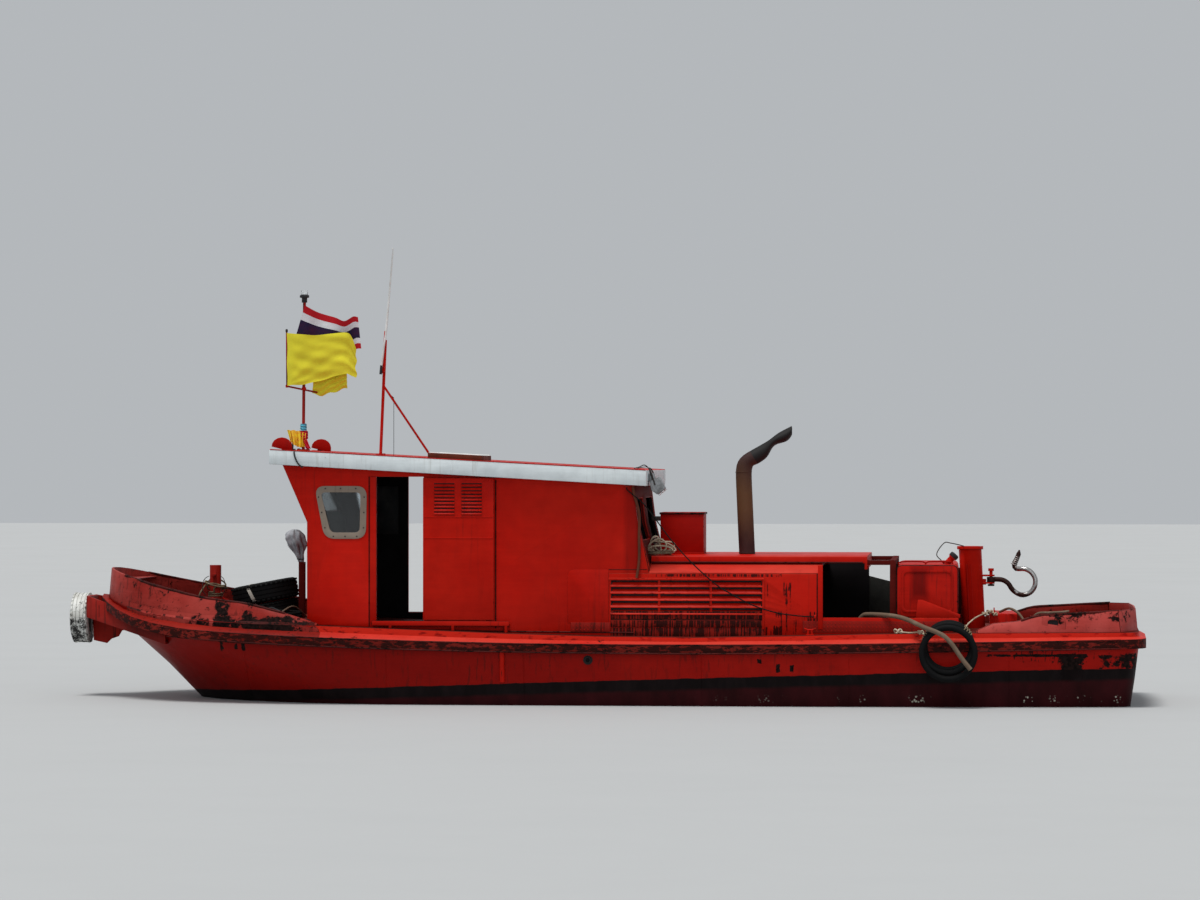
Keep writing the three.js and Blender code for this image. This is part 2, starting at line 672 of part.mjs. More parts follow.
const glazedFront = frontWall.subtract(paneHole(-1, 0)).subtract(paneHole(1, 0)).subtract(seat);
put('wheelhouse_front', glazedFront, FINISH.red);
[['front_port_glass', -1], ['front_starboard_glass', 1]].forEach(([name, side]) => {
  const sheetX = (z) => rakeX(z) + PLATE / 2;
  const sheet = slab([
    [sheetX(2200) - GLASS / 2, 2200], [sheetX(2200) + GLASS / 2, 2200],
    [sheetX(2800) + GLASS / 2, 2800], [sheetX(2800) - GLASS / 2, 2800],
  ], 'sideView', [-INSIDE, INSIDE]);
  put(name, sheet.intersect(paneHole(side, GAP)), FINISH.glass);
});

// The aft wall leans aft as it goes down and has two openings above the casing.
const aftOuter = [[AFT_WALL[0][0], roofUnder(AFT_WALL[0][0]) - GAP], ...AFT_WALL.slice(1)];
const aftInner = aftOuter.map(([x, z], k) => [x - PLATE, k ? z : roofUnder(x - PLATE) - GAP]).reverse();
const AFT_OPENING = { y: [250, 1250], z: [1950, 2440] };
const aftWall = [-1, 1].reduce((wall, side) => {
  const across = AFT_OPENING.y.map((y) => side * y).sort((a, b) => a - b);
  return wall.subtract(box([150, 600], across, AFT_OPENING.z));
}, slab([...aftOuter, ...aftInner], 'sideView', [-INSIDE, INSIDE]));
put('wheelhouse_aft', aftWall.subtract(seat), FINISH.red);

// Sliding doors on both sides, stowed aft of their doorways, and the rails they run in
const DOOR = { x: [-2209, -1364], y: [1460, 1500], z: [1000, 2686] };
const RAIL = { x: [-2820, -1175], y: [1450 + GAP, 1530], base: [930, 950], lip: 990 };
const SHOES = [-2080, -1500];
const LOUVRE = { bottom: 2246, count: 9, pitch: 42, height: 22, stand: 12 };
const LOUVRE_COLUMNS = [[-2077, -1830], [-1747, -1507]];

function spread(side, [near, far]) {
  return side < 0 ? [-far, -near] : [near, far];
}

function slidingDoor(side) {
  const pieces = [box(DOOR.x, spread(side, DOOR.y), DOOR.z)];
  SHOES.forEach((x) => {
    pieces.push(box([x - 40, x + 40], spread(side, [1470, 1490]), [RAIL.base[1] + GAP, DOOR.z[0]]));
  });
  LOUVRE_COLUMNS.forEach((column) => {
    for (let k = 0; k < LOUVRE.count; k += 1) {
      const z = LOUVRE.bottom + k * LOUVRE.pitch;
      pieces.push(slab([
        [side * DOOR.y[1] * 0.9999, z],
        [side * (DOOR.y[1] + LOUVRE.stand), z],
        [side * DOOR.y[1] * 0.9999, z + LOUVRE.height],
      ], 'frontView', column));
    }
  });
  return join(pieces);
}

function doorRail(side) {
  const pieces = [
    box(RAIL.x, spread(side, RAIL.y), RAIL.base),
    box(RAIL.x, spread(side, [RAIL.y[1] - 8, RAIL.y[1]]), [RAIL.base[0], RAIL.lip]),
  ];
  [-2600, -1850, -1215].forEach((x) => {
    pieces.push(box([x - 20, x + 20], spread(side, [1480, RAIL.y[1]]), [700, RAIL.base[1]]));
  });
  return join(pieces).subtract(seat);
}

put('port_door', slidingDoor(-1), FINISH.red);
put('starboard_door', slidingDoor(1), FINISH.red);
put('port_door_rail', doorRail(-1), FINISH.red);
put('starboard_door_rail', doorRail(1), FINISH.red);

// Helm console with the steering wheel on its shaft
const HELM = { x: [-3560, -3260], half: 420, top: 1560, wheelX: -3130, wheelZ: 1620, rim: 300 };
const helmBearing = bar([HELM.x[1] - 20, 0, HELM.wheelZ], [HELM.wheelX - 40 - GAP, 0, HELM.wheelZ], 45);
const helmConsole = slab([
  [HELM.x[0], 700], [HELM.x[1], 700], [HELM.x[1], HELM.top + 160], [HELM.x[1] - 160, HELM.top + 160],
  [HELM.x[0], HELM.top],
], 'sideView', [-HELM.half, HELM.half]).add(helmBearing).subtract(seat);
put('helm_console', helmConsole, FINISH.wood);

function helmWheel() {
  const rim = ring(HELM.rim, [18, 18], { segments: 20, sides: 6 });
  const pieces = [toSolid(rim), turned([[0, -40], [60, -40], [60, 30], [0, 30]], 12)];
  for (let k = 0; k < 6; k += 1) {
    const angle = (k / 6) * 2 * Math.PI;
    const at = (r) => [r * Math.cos(angle), r * Math.sin(angle), 0];
    pieces.push(bar(at(30), at(HELM.rim + 120), 14, { sides: 6 }));
  }
  return join(pieces);
}

const wheel = put('helm_wheel', helmWheel(), FINISH.wood, [HELM.wheelX, 0, HELM.wheelZ]);
wheel.rotation.y = Math.PI / 2;

// Engine casing: louvred side plates, sloping shoulders and a flat hatch slab on top
const CASING = { x: [0, 2525], slope: 1150, crest: 1674, coaming: 1040, coamingEnd: 4130 };
const FLANGE = { y: [WALL_OUT - 5, WALL_OUT + 22], z: [1476, 1500] };
const VENT = { x: [30, 1820], z: [1066, 1476], blades: 5, bladeTall: 74, mullions: [600, 1212] };

function casingSide(side) {
  const across = spread(side, [WALL_IN, WALL_OUT]);
  const plate = box(CASING.x, across, [700, CASING_TOP])
    .subtract(box(VENT.x, across, VENT.z))
    .add(box([CASING.x[1] - 10, CASING.coamingEnd], across, [700, CASING.coaming]));
  const pitch = (VENT.z[1] - VENT.z[0]) / VENT.blades;
  const pieces = [plate];
  for (let k = 0; k < VENT.blades; k += 1) {
    const z = VENT.z[0] + k * pitch;
    pieces.push(slab([
      [side * (WALL_OUT + 14), z],
      [side * (WALL_OUT + 14), z + 12],
      [side * (WALL_IN + 2), z + VENT.bladeTall],
      [side * (WALL_IN + 2), z + VENT.bladeTall - 12],
    ], 'frontView', [VENT.x[0] - 10, VENT.x[1] + 10]));
  }
  VENT.mullions.forEach((x) => {
    pieces.push(box([x - 14, x + 14], across, [VENT.z[0] - 10, VENT.z[1] + 10]));
  });
  const flange = box([CASING.x[0], VENT.x[1] + 20], spread(side, FLANGE.y), FLANGE.z);
  const whole = join([...pieces, flange]).subtract(seat);
  const { x, z } = LINE_CLEAT;
  return side < 0 ? whole.add(box([x, x + 26], LINE_LUG, [z - 18, z + 18])) : whole;
}

put('casing_port_side', casingSide(-1), FINISH.red);
put('casing_starboard_side', casingSide(1), FINISH.red);

const shoulder = (lower, thick) => [
  [-WALL_OUT, lower],
  [-CASING.slope, CASING.crest - thick],
  [CASING.slope, CASING.crest - thick],
  [WALL_OUT, lower],
];
const CASING_TOP_X = [480 + GAP, CASING.x[1]];
const casingTop = slab([
  ...shoulder(CASING_TOP + GAP + 12, 0),
  [WALL_OUT, CASING_TOP + GAP], [WALL_IN, CASING_TOP + GAP],
  ...shoulder(CASING_TOP + GAP, 34).slice(1, 3).reverse(),
  [-WALL_IN, CASING_TOP + GAP], [-WALL_OUT, CASING_TOP + GAP],
], 'frontView', CASING_TOP_X).subtract(box([640, 2360], [-980, 980], [1500, 1800]));
put('casing_top', casingTop, FINISH.red);

const HATCH = { x: [486, 3056], half: 1200, z: [CASING.crest + GAP, 1758], lip: 24 };
const hatchSlab = box(HATCH.x, [-HATCH.half, HATCH.half], HATCH.z)
  .add(box([3020, HATCH.x[1]], [-HATCH.half, HATCH.half], [1600, HATCH.z[1]]));
put('casing_hatch', hatchSlab, FINISH.red);

// Frame aft of the casing: two posts, a crossbar under the slab's end and the plate that
// closes the starboard side of the way down
const FRAME = { post: [3320, 3392], y: [1130, 1200], top: 1715, bar: [1660, 1712] };
const frameParts = [
  box(FRAME.post, [-FRAME.y[1], FRAME.y[1]], FRAME.bar),
  slab([[2560, 700], [3300, 700], [3340, 1380], [2560, 1580]], 'sideView', [1290, 1310]),
  box([3290, 3392], [1190, 1310], [700, 1400]),
];
[-1, 1].forEach((side) => {
  frameParts.push(box(FRAME.post, spread(side, FRAME.y), [700, FRAME.top]));
  frameParts.push(box([HATCH.x[1] + GAP, FRAME.post[0] + 10], spread(side, [1150, 1190]), FRAME.bar));
});
put('casing_aft_frame', join(frameParts).subtract(seat), FINISH.deck);

// Engine, standing on the floor of its well
const ENGINE = { x: [500, 2200], half: 420, z: [WELL.floor + GAP, 760] };
put('engine_block', box(ENGINE.x, [-ENGINE.half, ENGINE.half], ENGINE.z), FINISH.steel);

// Exhaust: upright pipe, mitred elbow and a leaning outlet with its bore
const SLAB_TOP = HATCH.z[1] + GAP;
const EXHAUST = { radius: 98, bore: 82 };
const EXHAUST_PATH = [
  [1568, 0, SLAB_TOP - 20], [1556, 0, 2100], [1542, 0, 2500], [1534, 0, 2780], [1560, 0, 2950],
  [1690, 0, 3060], [1830, 0, 3130], [1990, 0, 3215], [2100, 0, 3275],
];
const outletAim = [[1990, 0, 3215], [2160, 0, 3308]];
const exhaust = pipe(EXHAUST_PATH, EXHAUST.radius, { sides: 12, steps: 16 })
  .add(bar([1567, 0, SLAB_TOP], [1567, 0, SLAB_TOP + 14], 150))
  .subtract(box([1300, 1800], [-200, 200], [1600, SLAB_TOP]))
  .subtract(bar(...outletAim, EXHAUST.bore));
put('exhaust_stack', exhaust, FINISH.rust);

// Vent box on the casing
const VENT_BOX = { x: [508, 1035], y: [30, 560], z: [SLAB_TOP, 2264] };
put('vent_box', box(VENT_BOX.x, VENT_BOX.y, VENT_BOX.z), FINISH.red);

// Fuel tank across the deck with its slanted filler
const TANK = { x: [3398, 4128], half: 1250, z: [1035, 1658], corner: 70 };
const TANK_FEET = [[3450, 3530], [4000, 4080]];
const tank = slab([
  [TANK.x[0], TANK.z[0], TANK.corner], [TANK.x[1], TANK.z[0], TANK.corner],
  [TANK.x[1], TANK.z[1], TANK.corner], [TANK.x[0], TANK.z[1], TANK.corner],
], 'sideView', [-TANK.half, TANK.half]);
const tankFeet = TANK_FEET.flatMap((x) => [-1, 1].map((side) => (
  box(x, spread(side, [900, 1100]), [700, TANK.z[0] + 20])
)));
put('fuel_tank', join([tank, ...tankFeet]).subtract(seat), FINISH.red);
const FILLER = { foot: [3985, -900, TANK.z[1] + GAP], head: [4075, -900, 1760] };
const filler = join([
  bar(FILLER.foot, [4060, -900, 1742], 38),
  bar([4052, -900, 1734], FILLER.head, 50),
  bar(FILLER.foot, [3990, -900, TANK.z[1] + 12], 60),
]).subtract(box([3800, 4200], [-1000, -800], [1500, TANK.z[1] + GAP]));
put('filler_neck', filler, FINISH.steel);

// Tow post: a thick pipe that leans forward, its cap, the gusset and the hook's lugs and pin
const POST = { foot: [4322, 0, 720], head: [4268, 0, 1824], radius: 137, cap: [1820, 1858] };
const PIN = { x: 4520, radius: 20, z: [1392, 1560] };
const LUGS = [[1404, 1424], [1494, 1514]];
const LUG_PLAN = [[4380, -60], [4530, -50, 30], [4570, 0, 20], [4530, 50, 30], [4380, 60]];
const towPost = join([
  bar(POST.foot, POST.head, POST.radius, { sides: 24 }),
  bar([POST.head[0], 0, POST.cap[0]], [POST.head[0], 0, POST.cap[1]], 158, { sides: 24 }),
  ...LUGS.map((z) => slab(LUG_PLAN, 'topView', z)),
  bar([PIN.x, 0, PIN.z[0]], [PIN.x, 0, PIN.z[1]], PIN.radius),
  bar([PIN.x, 0, 1558], [PIN.x, 0, 1590], 34),
]).subtract(seat);
put('tow_post', towPost, FINISH.red);

// Towing hook: an eye on the pin, a shank and a pigtail bowl
const HOOK = { z: 1459, bowl: [4905, 1428], radius: 147, bar: 35 };
function towHook() {
  const reach = (degrees, radius, y) => {
    const angle = THREE.MathUtils.degToRad(degrees);
    return [HOOK.bowl[0] + radius * Math.cos(angle), y, HOOK.bowl[1] + radius * Math.sin(angle)];
  };
  const path = [
    [4560, 0, HOOK.z], [4660, 0, 1450], [4730, 0, 1405],
    reach(212, 160, 0), reach(240, 155, 0), reach(270, 160, 0), reach(305, 155, 0), reach(340, 150, 0),
    reach(15, 150, 4), reach(50, 152, 14), reach(80, 156, 30), reach(105, 160, 54),
    [4815, 82, 1590], [4800, 96, 1640], [4830, 84, 1700], [4856, 70, 1770],
  ];
  const eye = bar([PIN.x, 0, LUGS[0][1] + GAP], [PIN.x, 0, LUGS[1][0] - 8], 52, { sides: 14 });
  const hole = bar([PIN.x, 0, 1300], [PIN.x, 0, 1600], PIN.radius + 1);
  const tip = bar([4856, 70, 1770], [4862, 66, 1812], HOOK.bar * 0.7, { endRadius: 8 });
  return pipe(path, HOOK.bar * 0.85, { sides: 8, steps: 40 }).add(eye).add(tip).subtract(hole);
}
put('tow_hook', towHook(), FINISH.steel);

// Bolted cover of the steering flat: a low box on the aft deck
const AFT_BOX = { x: [4500, 4826], half: 620, top: 1060 };
put('aft_deck_box', box(AFT_BOX.x, [-AFT_BOX.half, AFT_BOX.half], [700, AFT_BOX.top])
  .subtract(box(AFT_TRUNK.x, AFT_TRUNK.y, [600, AFT_BOX.top - 30]))
  .subtract(seat), FINISH.red);

// Fender of three rubber hoops lashed together on the port quarter
const HOOPS = [
  { x: 4012, y: -1852, z: 728, middle: 274, tilt: 0.02 },
  { x: 4008, y: -1886, z: 700, middle: 284, tilt: -0.02 },
  { x: 4012, y: -1920, z: 643, middle: 303, tilt: 0.01 },
];
const hoops = HOOPS.map(({ x, y, z, middle, tilt }) => {
  const geometry = ring(middle, [37, 36], { segments: 24, sides: 8 });
  geometry.rotateX(Math.PI / 2 + tilt);
  geometry.translate(x, y, z);
  return toSolid(geometry);
});
put('quarter_fender', join(hoops).subtract(beltSeat), FINISH.black);

// Flag mast on the roof with its crossbar, forward staff and masthead lamp
const MAST = { x: -3885, radius: 19, top: 4835, barZ: 3770 };
const mastFoot = roofTop(MAST.x) + GAP;
const belowRoof = slab([
  [ROOF.front, 2500], [ROOF.aft, 2500], [ROOF.aft, ROOF.aftZ[1] + GAP], [ROOF.front, ROOF.frontZ[1] + GAP],
], 'sideView', [-ROOF.half, ROOF.half]);
const flagMast = join([
  bar([MAST.x, 0, mastFoot - 20], [MAST.x + 14, 0, MAST.top], MAST.radius, { sides: 12 }),
  box([MAST.x - 70, MAST.x + 70], [-70, 70], [mastFoot - 20, mastFoot + 16]),
  bar([-4100, 0, MAST.barZ + 40], [-3710, 0, MAST.barZ - 40], 11, { sides: 8 }),
  bar([-4088, 0, MAST.barZ + 20], [-4092, 0, 4480], 10, { sides: 8 }),
  bar([MAST.x + 14, 0, 4834], [MAST.x + 14, 0, 4905], 34, { sides: 12 }),
  bar([MAST.x + 14, 0, 4903], [MAST.x + 14, 0, 4925], 56, { sides: 16 }),
  bar([MAST.x + 14, 0, 4920], [MAST.x + 14, 0, 4985], 44, { endRadius: 40, sides: 16 }),
]).subtract(belowRoof);
put('flag_mast', flagMast, FINISH.steel);

// Flags, each a thin sheet that streams aft, and the cloth wound round the mast's foot
put('national_flag', slab([
  [-3852, 4800], [-3600, 4660], [-3340, 4600], [-3190, 4620], [-3175, 4310],
  [-3330, 4290], [-3560, 4360], [-3800, 4480], [-3852, 4490],
], 'sideView', [-10, 10]), FINISH.flag);
put('upper_yellow_flag', slab([
  [-4076, 4462], [-3720, 4430], [-3340, 4465], [-3290, 4420], [-3225, 4160],
  [-3225, 3905], [-3345, 3960], [-3720, 3855], [-4076, 3812],
], 'sideView', [-38, -19.25]), FINISH.yellow);
put('lower_yellow_flag', slab([
  [-3707.4, 3850], [-3350, 3870], [-3330, 3770], [-3560, 3715], [-3668, 3680], [-3707.4, 3692],
], 'sideView', [-10, 10]), FINISH.yellow);
const cloth = ring(75, [52, 130], { segments: 18, sides: 8 });
put('mast_cloth', toSolid(cloth), FINISH.yellow, [MAST.x + 2, 0, mastFoot + 146.3]);

// Radio mast: pipe, raking brace and whip aerial
const AERIAL = { x: -2929, topX: -2868, top: 4372, braceFoot: -2283 };
const radioMast = join([
  bar([AERIAL.x, 0, roofTop(AERIAL.x) - 20], [AERIAL.topX, 0, AERIAL.top], 19, { sides: 12 }),
  bar([AERIAL.x, 0, roofTop(AERIAL.x) - 20], [AERIAL.x, 0, roofTop(AERIAL.x) + 16], 60, { sides: 12 }),
  bar([-2893, 0, 3814], [AERIAL.braceFoot, 0, roofTop(AERIAL.braceFoot) - 20], 14, { sides: 10 }),
  bar([-2911, 0, 3985], [-2870, 0, 3985], 22, { sides: 10 }),
  bar([-2911, 0, 3975], [-2868, 0, 4480], 14, { sides: 8 }),
  bar([-2868, 0, 4476], [-2779, 0, 5485], 7, { endRadius: 4, sides: 8 }),
  bar([-2779, 0, 5480], [-2779, 0, 5500], 9, { sides: 8 }),
]).subtract(belowRoof);
put('radio_mast', radioMast, FINISH.red);

// Sidelight screens on the roof's front corners: half discs on edge
const SCREENS = [
  { name: 'port_light_screen', x: -3920, y: -1400 },
  { name: 'starboard_light_screen', x: -3865, y: 1300 },
];
SCREENS.forEach(({ name, x, y }) => {
  const points = [];
  for (let k = 0; k <= 8; k += 1) {
    const angle = Math.PI * (1 - k / 8);
    points.push([x + 124 * Math.cos(angle), roofTop(x) + 40 + 110 * Math.sin(angle)]);
  }
  points.push([x + 124, roofTop(x + 124) + GAP], [x + 40, roofTop(x + 40) + GAP]);
  put(name, slab(points, 'sideView', [y - 12, y + 12]), FINISH.red);
});

// Solar panel flat on the roof
const PANEL = { x: [-2243, -1588], y: [-800, 200], thick: 62 };
put('solar_panel', slab([
  [PANEL.x[0], roofTop(PANEL.x[0]) + GAP], [PANEL.x[1], roofTop(PANEL.x[1]) + GAP],
  [PANEL.x[1], roofTop(PANEL.x[1]) + PANEL.thick], [PANEL.x[0], roofTop(PANEL.x[0]) + PANEL.thick],
], 'sideView', PANEL.y), FINISH.grey);

// Floodlight on a bracket at the roof's aft edge
const FLOOD = { y: [-1360, -1080] };
put('floodlight', join([
  slab([[480, 2640], [590, 2700], [660, 2560], [570, 2490], [500, 2540]], 'sideView', FLOOD.y),
  slab([
    [ROOF.aft + GAP, 2640], [ROOF.aft + GAP, 2740], [530, 2740], [540, 2640],
  ], 'sideView', [-1240, -1200]),
]), FINISH.grey);

// Propeller on its shaft end, and the rudder between the counter and the shoe
const PROP = { x: 4760, hub: 75, tip: 400, blades: 4 };
const shaftEnd = SHAFT.boss[1] + GAP - PROP.x;
function propeller() {
  const pieces = [turned([
    [0, shaftEnd], [45, shaftEnd], [45, -95], [PROP.hub, -80], [PROP.hub, 80], [40, 150], [0, 165],
  ], 16)];
  for (let k = 0; k < PROP.blades; k += 1) {
    const shape = outline([
      [30, -70], [220, -135, 60], [PROP.tip, -60, 50], [PROP.tip, 60, 50], [220, 135, 60], [30, 70],
    ]);
    const blade = new THREE.ExtrudeGeometry(shape, { depth: 16, bevelEnabled: false, curveSegments: 4 });
    blade.translate(0, 0, -8);
    blade.rotateX(THREE.MathUtils.degToRad(38));
    blade.rotateZ((k / PROP.blades) * 2 * Math.PI + Math.PI / 4);
    pieces.push(toSolid(blade));
  }
  return join(pieces);
}
const propellerMesh = put('propeller', propeller(), FINISH.bronze, [PROP.x, 0, SHAFT.z]);
propellerMesh.rotation.y = Math.PI / 2;

const RUDDER = { x: 5640, blade: [5430, 6120], z: [-1000, -240], stock: 38, stockTop: -143.8 };
const rudder = slab([
  [RUDDER.blade[0], 0], [RUDDER.blade[0] + 60, -28], [RUDDER.x, -36], [RUDDER.blade[1], -8],
  [RUDDER.blade[1], 8], [RUDDER.x, 36], [RUDDER.blade[0] + 60, 28],
], 'topView', RUDDER.z)
  .add(bar([RUDDER.x, 0, SHOE.z[1] + GAP], [RUDDER.x, 0, RUDDER.stockTop], RUDDER.stock));
put('rudder', rudder, FINISH.rust);

// Line that hangs from the roof's aft corner to the casing side
const LINE_PATH = [
  [LINE_EYE.x, -1480, LINE_EYE.z - GAP], [LINE_EYE.x, -1480, 2548], [270, -1484, 2505],
  [419, -1486, 2380], [560, -1487, 2200], [745, -1488, 1954], [978, -1488, 1696],
  [1263, -1489, 1439], [1470, -1489, 1310], [1655, -1489, 1211], [1833, -1488, 1141],
  [2033, -1486, 1089], [2240, -1482, 1062], [2400, -1479, LINE_CLEAT.z],
  [LINE_CLEAT.x - GAP, -1479, LINE_CLEAT.z],
];
put('slack_line', pipe(LINE_PATH, 8, { sides: 8, steps: 36 }), FINISH.black);

// Coil of rope that stands on the casing against the wheelhouse
const COIL = { middle: 105, section: [36, 40], centre: [600, -920, SLAB_TOP + 141 + GAP] };
const coil = ring(COIL.middle, COIL.section, { segments: 20, sides: 8 });
coil.rotateX(Math.PI / 2);
put('rope_coil', toSolid(coil), FINISH.rope, COIL.centre);

// Discharge hose from the way down, over the deck edge and down outside the fender
const HOSE_BEND = { radius: 158, rise: 42, toward: [0.72, -0.694] };
const hoseFoot = [HOSE_STUB.x, HOSE_STUB.y, HOSE_STUB.top + GAP];
const hoseRise = [0, 22.5, 45, 67.5, 90].map((degrees) => {
  const angle = THREE.MathUtils.degToRad(degrees);
  const out = HOSE_BEND.radius * (1 - Math.cos(angle));
  return [
    hoseFoot[0] + HOSE_BEND.toward[0] * out,
    hoseFoot[1] + HOSE_BEND.toward[1] * out,
    hoseFoot[2] + HOSE_BEND.rise + HOSE_BEND.radius * Math.sin(angle),
  ];
});
const HOSE_PATH = [
  hoseFoot, ...hoseRise, [3230, -1430, 1074], [3400, -1560, 1060], [3540, -1690, 1025],
  [3640, -1830, 985], [3740, -1960, 945], [3850, -2000, 905], [3960, -2000, 850],
  [4050, -2000, 760], [4167, -2000, 590], [4270, -2000, 461],
];
put('discharge_hose', pipe(HOSE_PATH, 27, { sides: 8, steps: 20 }), FINISH.rust);

export default boat;
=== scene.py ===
"""Looks of a small steel harbour tug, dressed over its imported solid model.

Metres, in the model's own frame: +X aft, +Y to starboard, +Z up, origin at the waterline.
"""

import json
import logging
import math
from collections.abc import Callable, Iterable, Iterator, Sequence
from contextlib import contextmanager
from dataclasses import dataclass
from enum import Enum

import bmesh
import bpy
from mathutils import Matrix, Vector, noise
from mathutils.bvhtree import BVHTree

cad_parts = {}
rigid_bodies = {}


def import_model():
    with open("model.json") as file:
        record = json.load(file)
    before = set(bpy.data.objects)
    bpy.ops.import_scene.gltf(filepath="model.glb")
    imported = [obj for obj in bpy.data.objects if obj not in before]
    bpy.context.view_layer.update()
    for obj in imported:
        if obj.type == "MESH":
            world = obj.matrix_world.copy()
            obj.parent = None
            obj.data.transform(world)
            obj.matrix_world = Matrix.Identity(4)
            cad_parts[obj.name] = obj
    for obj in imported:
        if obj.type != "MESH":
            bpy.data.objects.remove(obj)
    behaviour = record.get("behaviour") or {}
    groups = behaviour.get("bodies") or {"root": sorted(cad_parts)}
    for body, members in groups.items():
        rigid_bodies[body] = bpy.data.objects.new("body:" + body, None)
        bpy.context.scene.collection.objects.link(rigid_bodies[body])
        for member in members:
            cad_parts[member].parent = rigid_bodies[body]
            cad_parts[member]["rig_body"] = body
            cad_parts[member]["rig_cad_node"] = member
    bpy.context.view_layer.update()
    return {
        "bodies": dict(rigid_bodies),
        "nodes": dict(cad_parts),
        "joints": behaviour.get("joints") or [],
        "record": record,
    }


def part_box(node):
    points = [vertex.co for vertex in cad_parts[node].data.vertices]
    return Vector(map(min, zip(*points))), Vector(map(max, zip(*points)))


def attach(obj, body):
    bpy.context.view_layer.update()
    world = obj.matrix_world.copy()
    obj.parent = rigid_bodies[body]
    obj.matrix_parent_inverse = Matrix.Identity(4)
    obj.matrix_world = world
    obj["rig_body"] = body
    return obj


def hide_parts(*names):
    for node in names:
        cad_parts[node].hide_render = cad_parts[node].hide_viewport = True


LOG = logging.getLogger("harbour_tug")
Point = tuple[float, float, float]
Flat = tuple[float, float]
Colour = tuple[float, float, float]
Piece = bpy.types.Object
HULL = "hull_body"
# Height of the belt's middle over x, from the cube's factor down: rounded for the paint, exact for the lips.
BELT_CURVE = (-1.9486e-4, 3.85e-3, -4.6533e-3, 0.6772)
BELT_MIDDLE = (-0.00019485616, 0.003850049, -0.00465332, 0.677201)
# Distances from the centre line: outer faces of the walls, start of rays onto the sides, and the most that a hit has.
WALL_FACE = 1.45
RAY_START = 4.0
HIT_LIMIT = 3.0
TREES: dict[str, BVHTree] = {}


class Side(Enum):
    """The two sides of the boat, each with the sign of its Y."""

    PORT = -1
    STARBOARD = 1


class View(Enum):
    """The view an outline is drawn in: its two axes, then the axis across it."""

    SIDE = (0, 2, 1)
    FRONT = (1, 2, 0)
    TOP = (0, 1, 2)

    def place(self, u: float, v: float, depth: float) -> Vector:
        """The point at u and v of this view, at a depth across it.

        Args:
            u: First coordinate of the view.
            v: Second coordinate.
            depth: Place across the view.

        Returns:
            The point.
        """
        spot = Vector((0, 0, 0))
        spot[self.value[0]], spot[self.value[1]], spot[self.value[2]] = u, v, depth
        return spot


# ---------------------------------------------------------------- modelling tools


def clear() -> None:
    """Leave edit mode and deselect everything."""
    if bpy.context.mode != "OBJECT":
        bpy.ops.object.mode_set(mode="OBJECT")
    bpy.ops.object.select_all(action="DESELECT")


def hold(piece: Piece) -> None:
    """Select one piece alone and make it active.

    Args:
        piece: The piece.
    """
    clear()
    piece.select_set(True)
    bpy.context.view_layer.objects.active = piece


@contextmanager
def editing(piece: Piece) -> Iterator[None]:
    """Edit mode on one piece, with all of it selected.

    Args:
        piece: The mesh to edit.

    Yields:
        Nothing, while the mesh is open for edits.
    """
    hold(piece)
    bpy.ops.object.mode_set(mode="EDIT")
    bpy.ops.mesh.select_all(action="SELECT")
    yield
    bpy.ops.object.mode_set(mode="OBJECT")


def named(name: str) -> Piece:
    """Name the primitive that was just added.

    Args:
        name: Its new name.

    Returns:
        The primitive.
    """
    piece = bpy.context.object
    piece.name = piece.data.name = name
    return piece


def settle(piece: Piece) -> Piece:
    """Put the object's place, turn and size into its mesh.

    Args:
        piece: The piece.

    Returns:
        The same piece.
    """
    hold(piece)
    bpy.ops.object.transform_apply(location=True, rotation=True, scale=True)
    return piece


def apply(piece: Piece, kind: str, **settings: object) -> Piece:
    """Add a modifier, set it and apply it.

    Args:
        piece: The mesh to change.
        kind: The modifier's type.
        **settings: Values for the modifier.

    Returns:
        The piece.
    """
    hold(piece)
    bpy.ops.object.modifier_add(type=kind)
    modifier = piece.modifiers[-1]
    for key, value in settings.items():
        setattr(modifier, key, value)
    bpy.ops.object.modifier_apply(modifier=modifier.name)
    return piece


def soften(piece: Piece, width: float, angle: float = 38, edge_slot: int = -1) -> Piece:
    """Round the edges and smooth what turns less than angle.

    Args:
        piece: The mesh to change.
        width: Width of the rounding, or 0 for none.
        angle: Sharpest turn in degrees that is still smooth.
        edge_slot: Material slot of the rounding's faces, or -1 for their neighbours' one.

    Returns:
        The piece.
    """
    if width:
        apply(
            piece, "BEVEL", width=width, segments=2, limit_method="ANGLE", angle_limit=math.radians(angle),
            material=edge_slot
        )
    hold(piece)
    bpy.ops.object.shade_smooth_by_angle(angle=math.radians(angle))
    return piece


def outward(piece: Piece, merge: float = 1e-5) -> Piece:
    """Merge doubled corners and turn all faces outwards.

    Args:
        piece: The mesh.
        merge: Corners nearer than this become one.

    Returns:
        The same piece.
    """
    with editing(piece):
        bpy.ops.mesh.remove_doubles(threshold=merge)
        bpy.ops.mesh.normals_make_consistent(inside=False)
    return piece


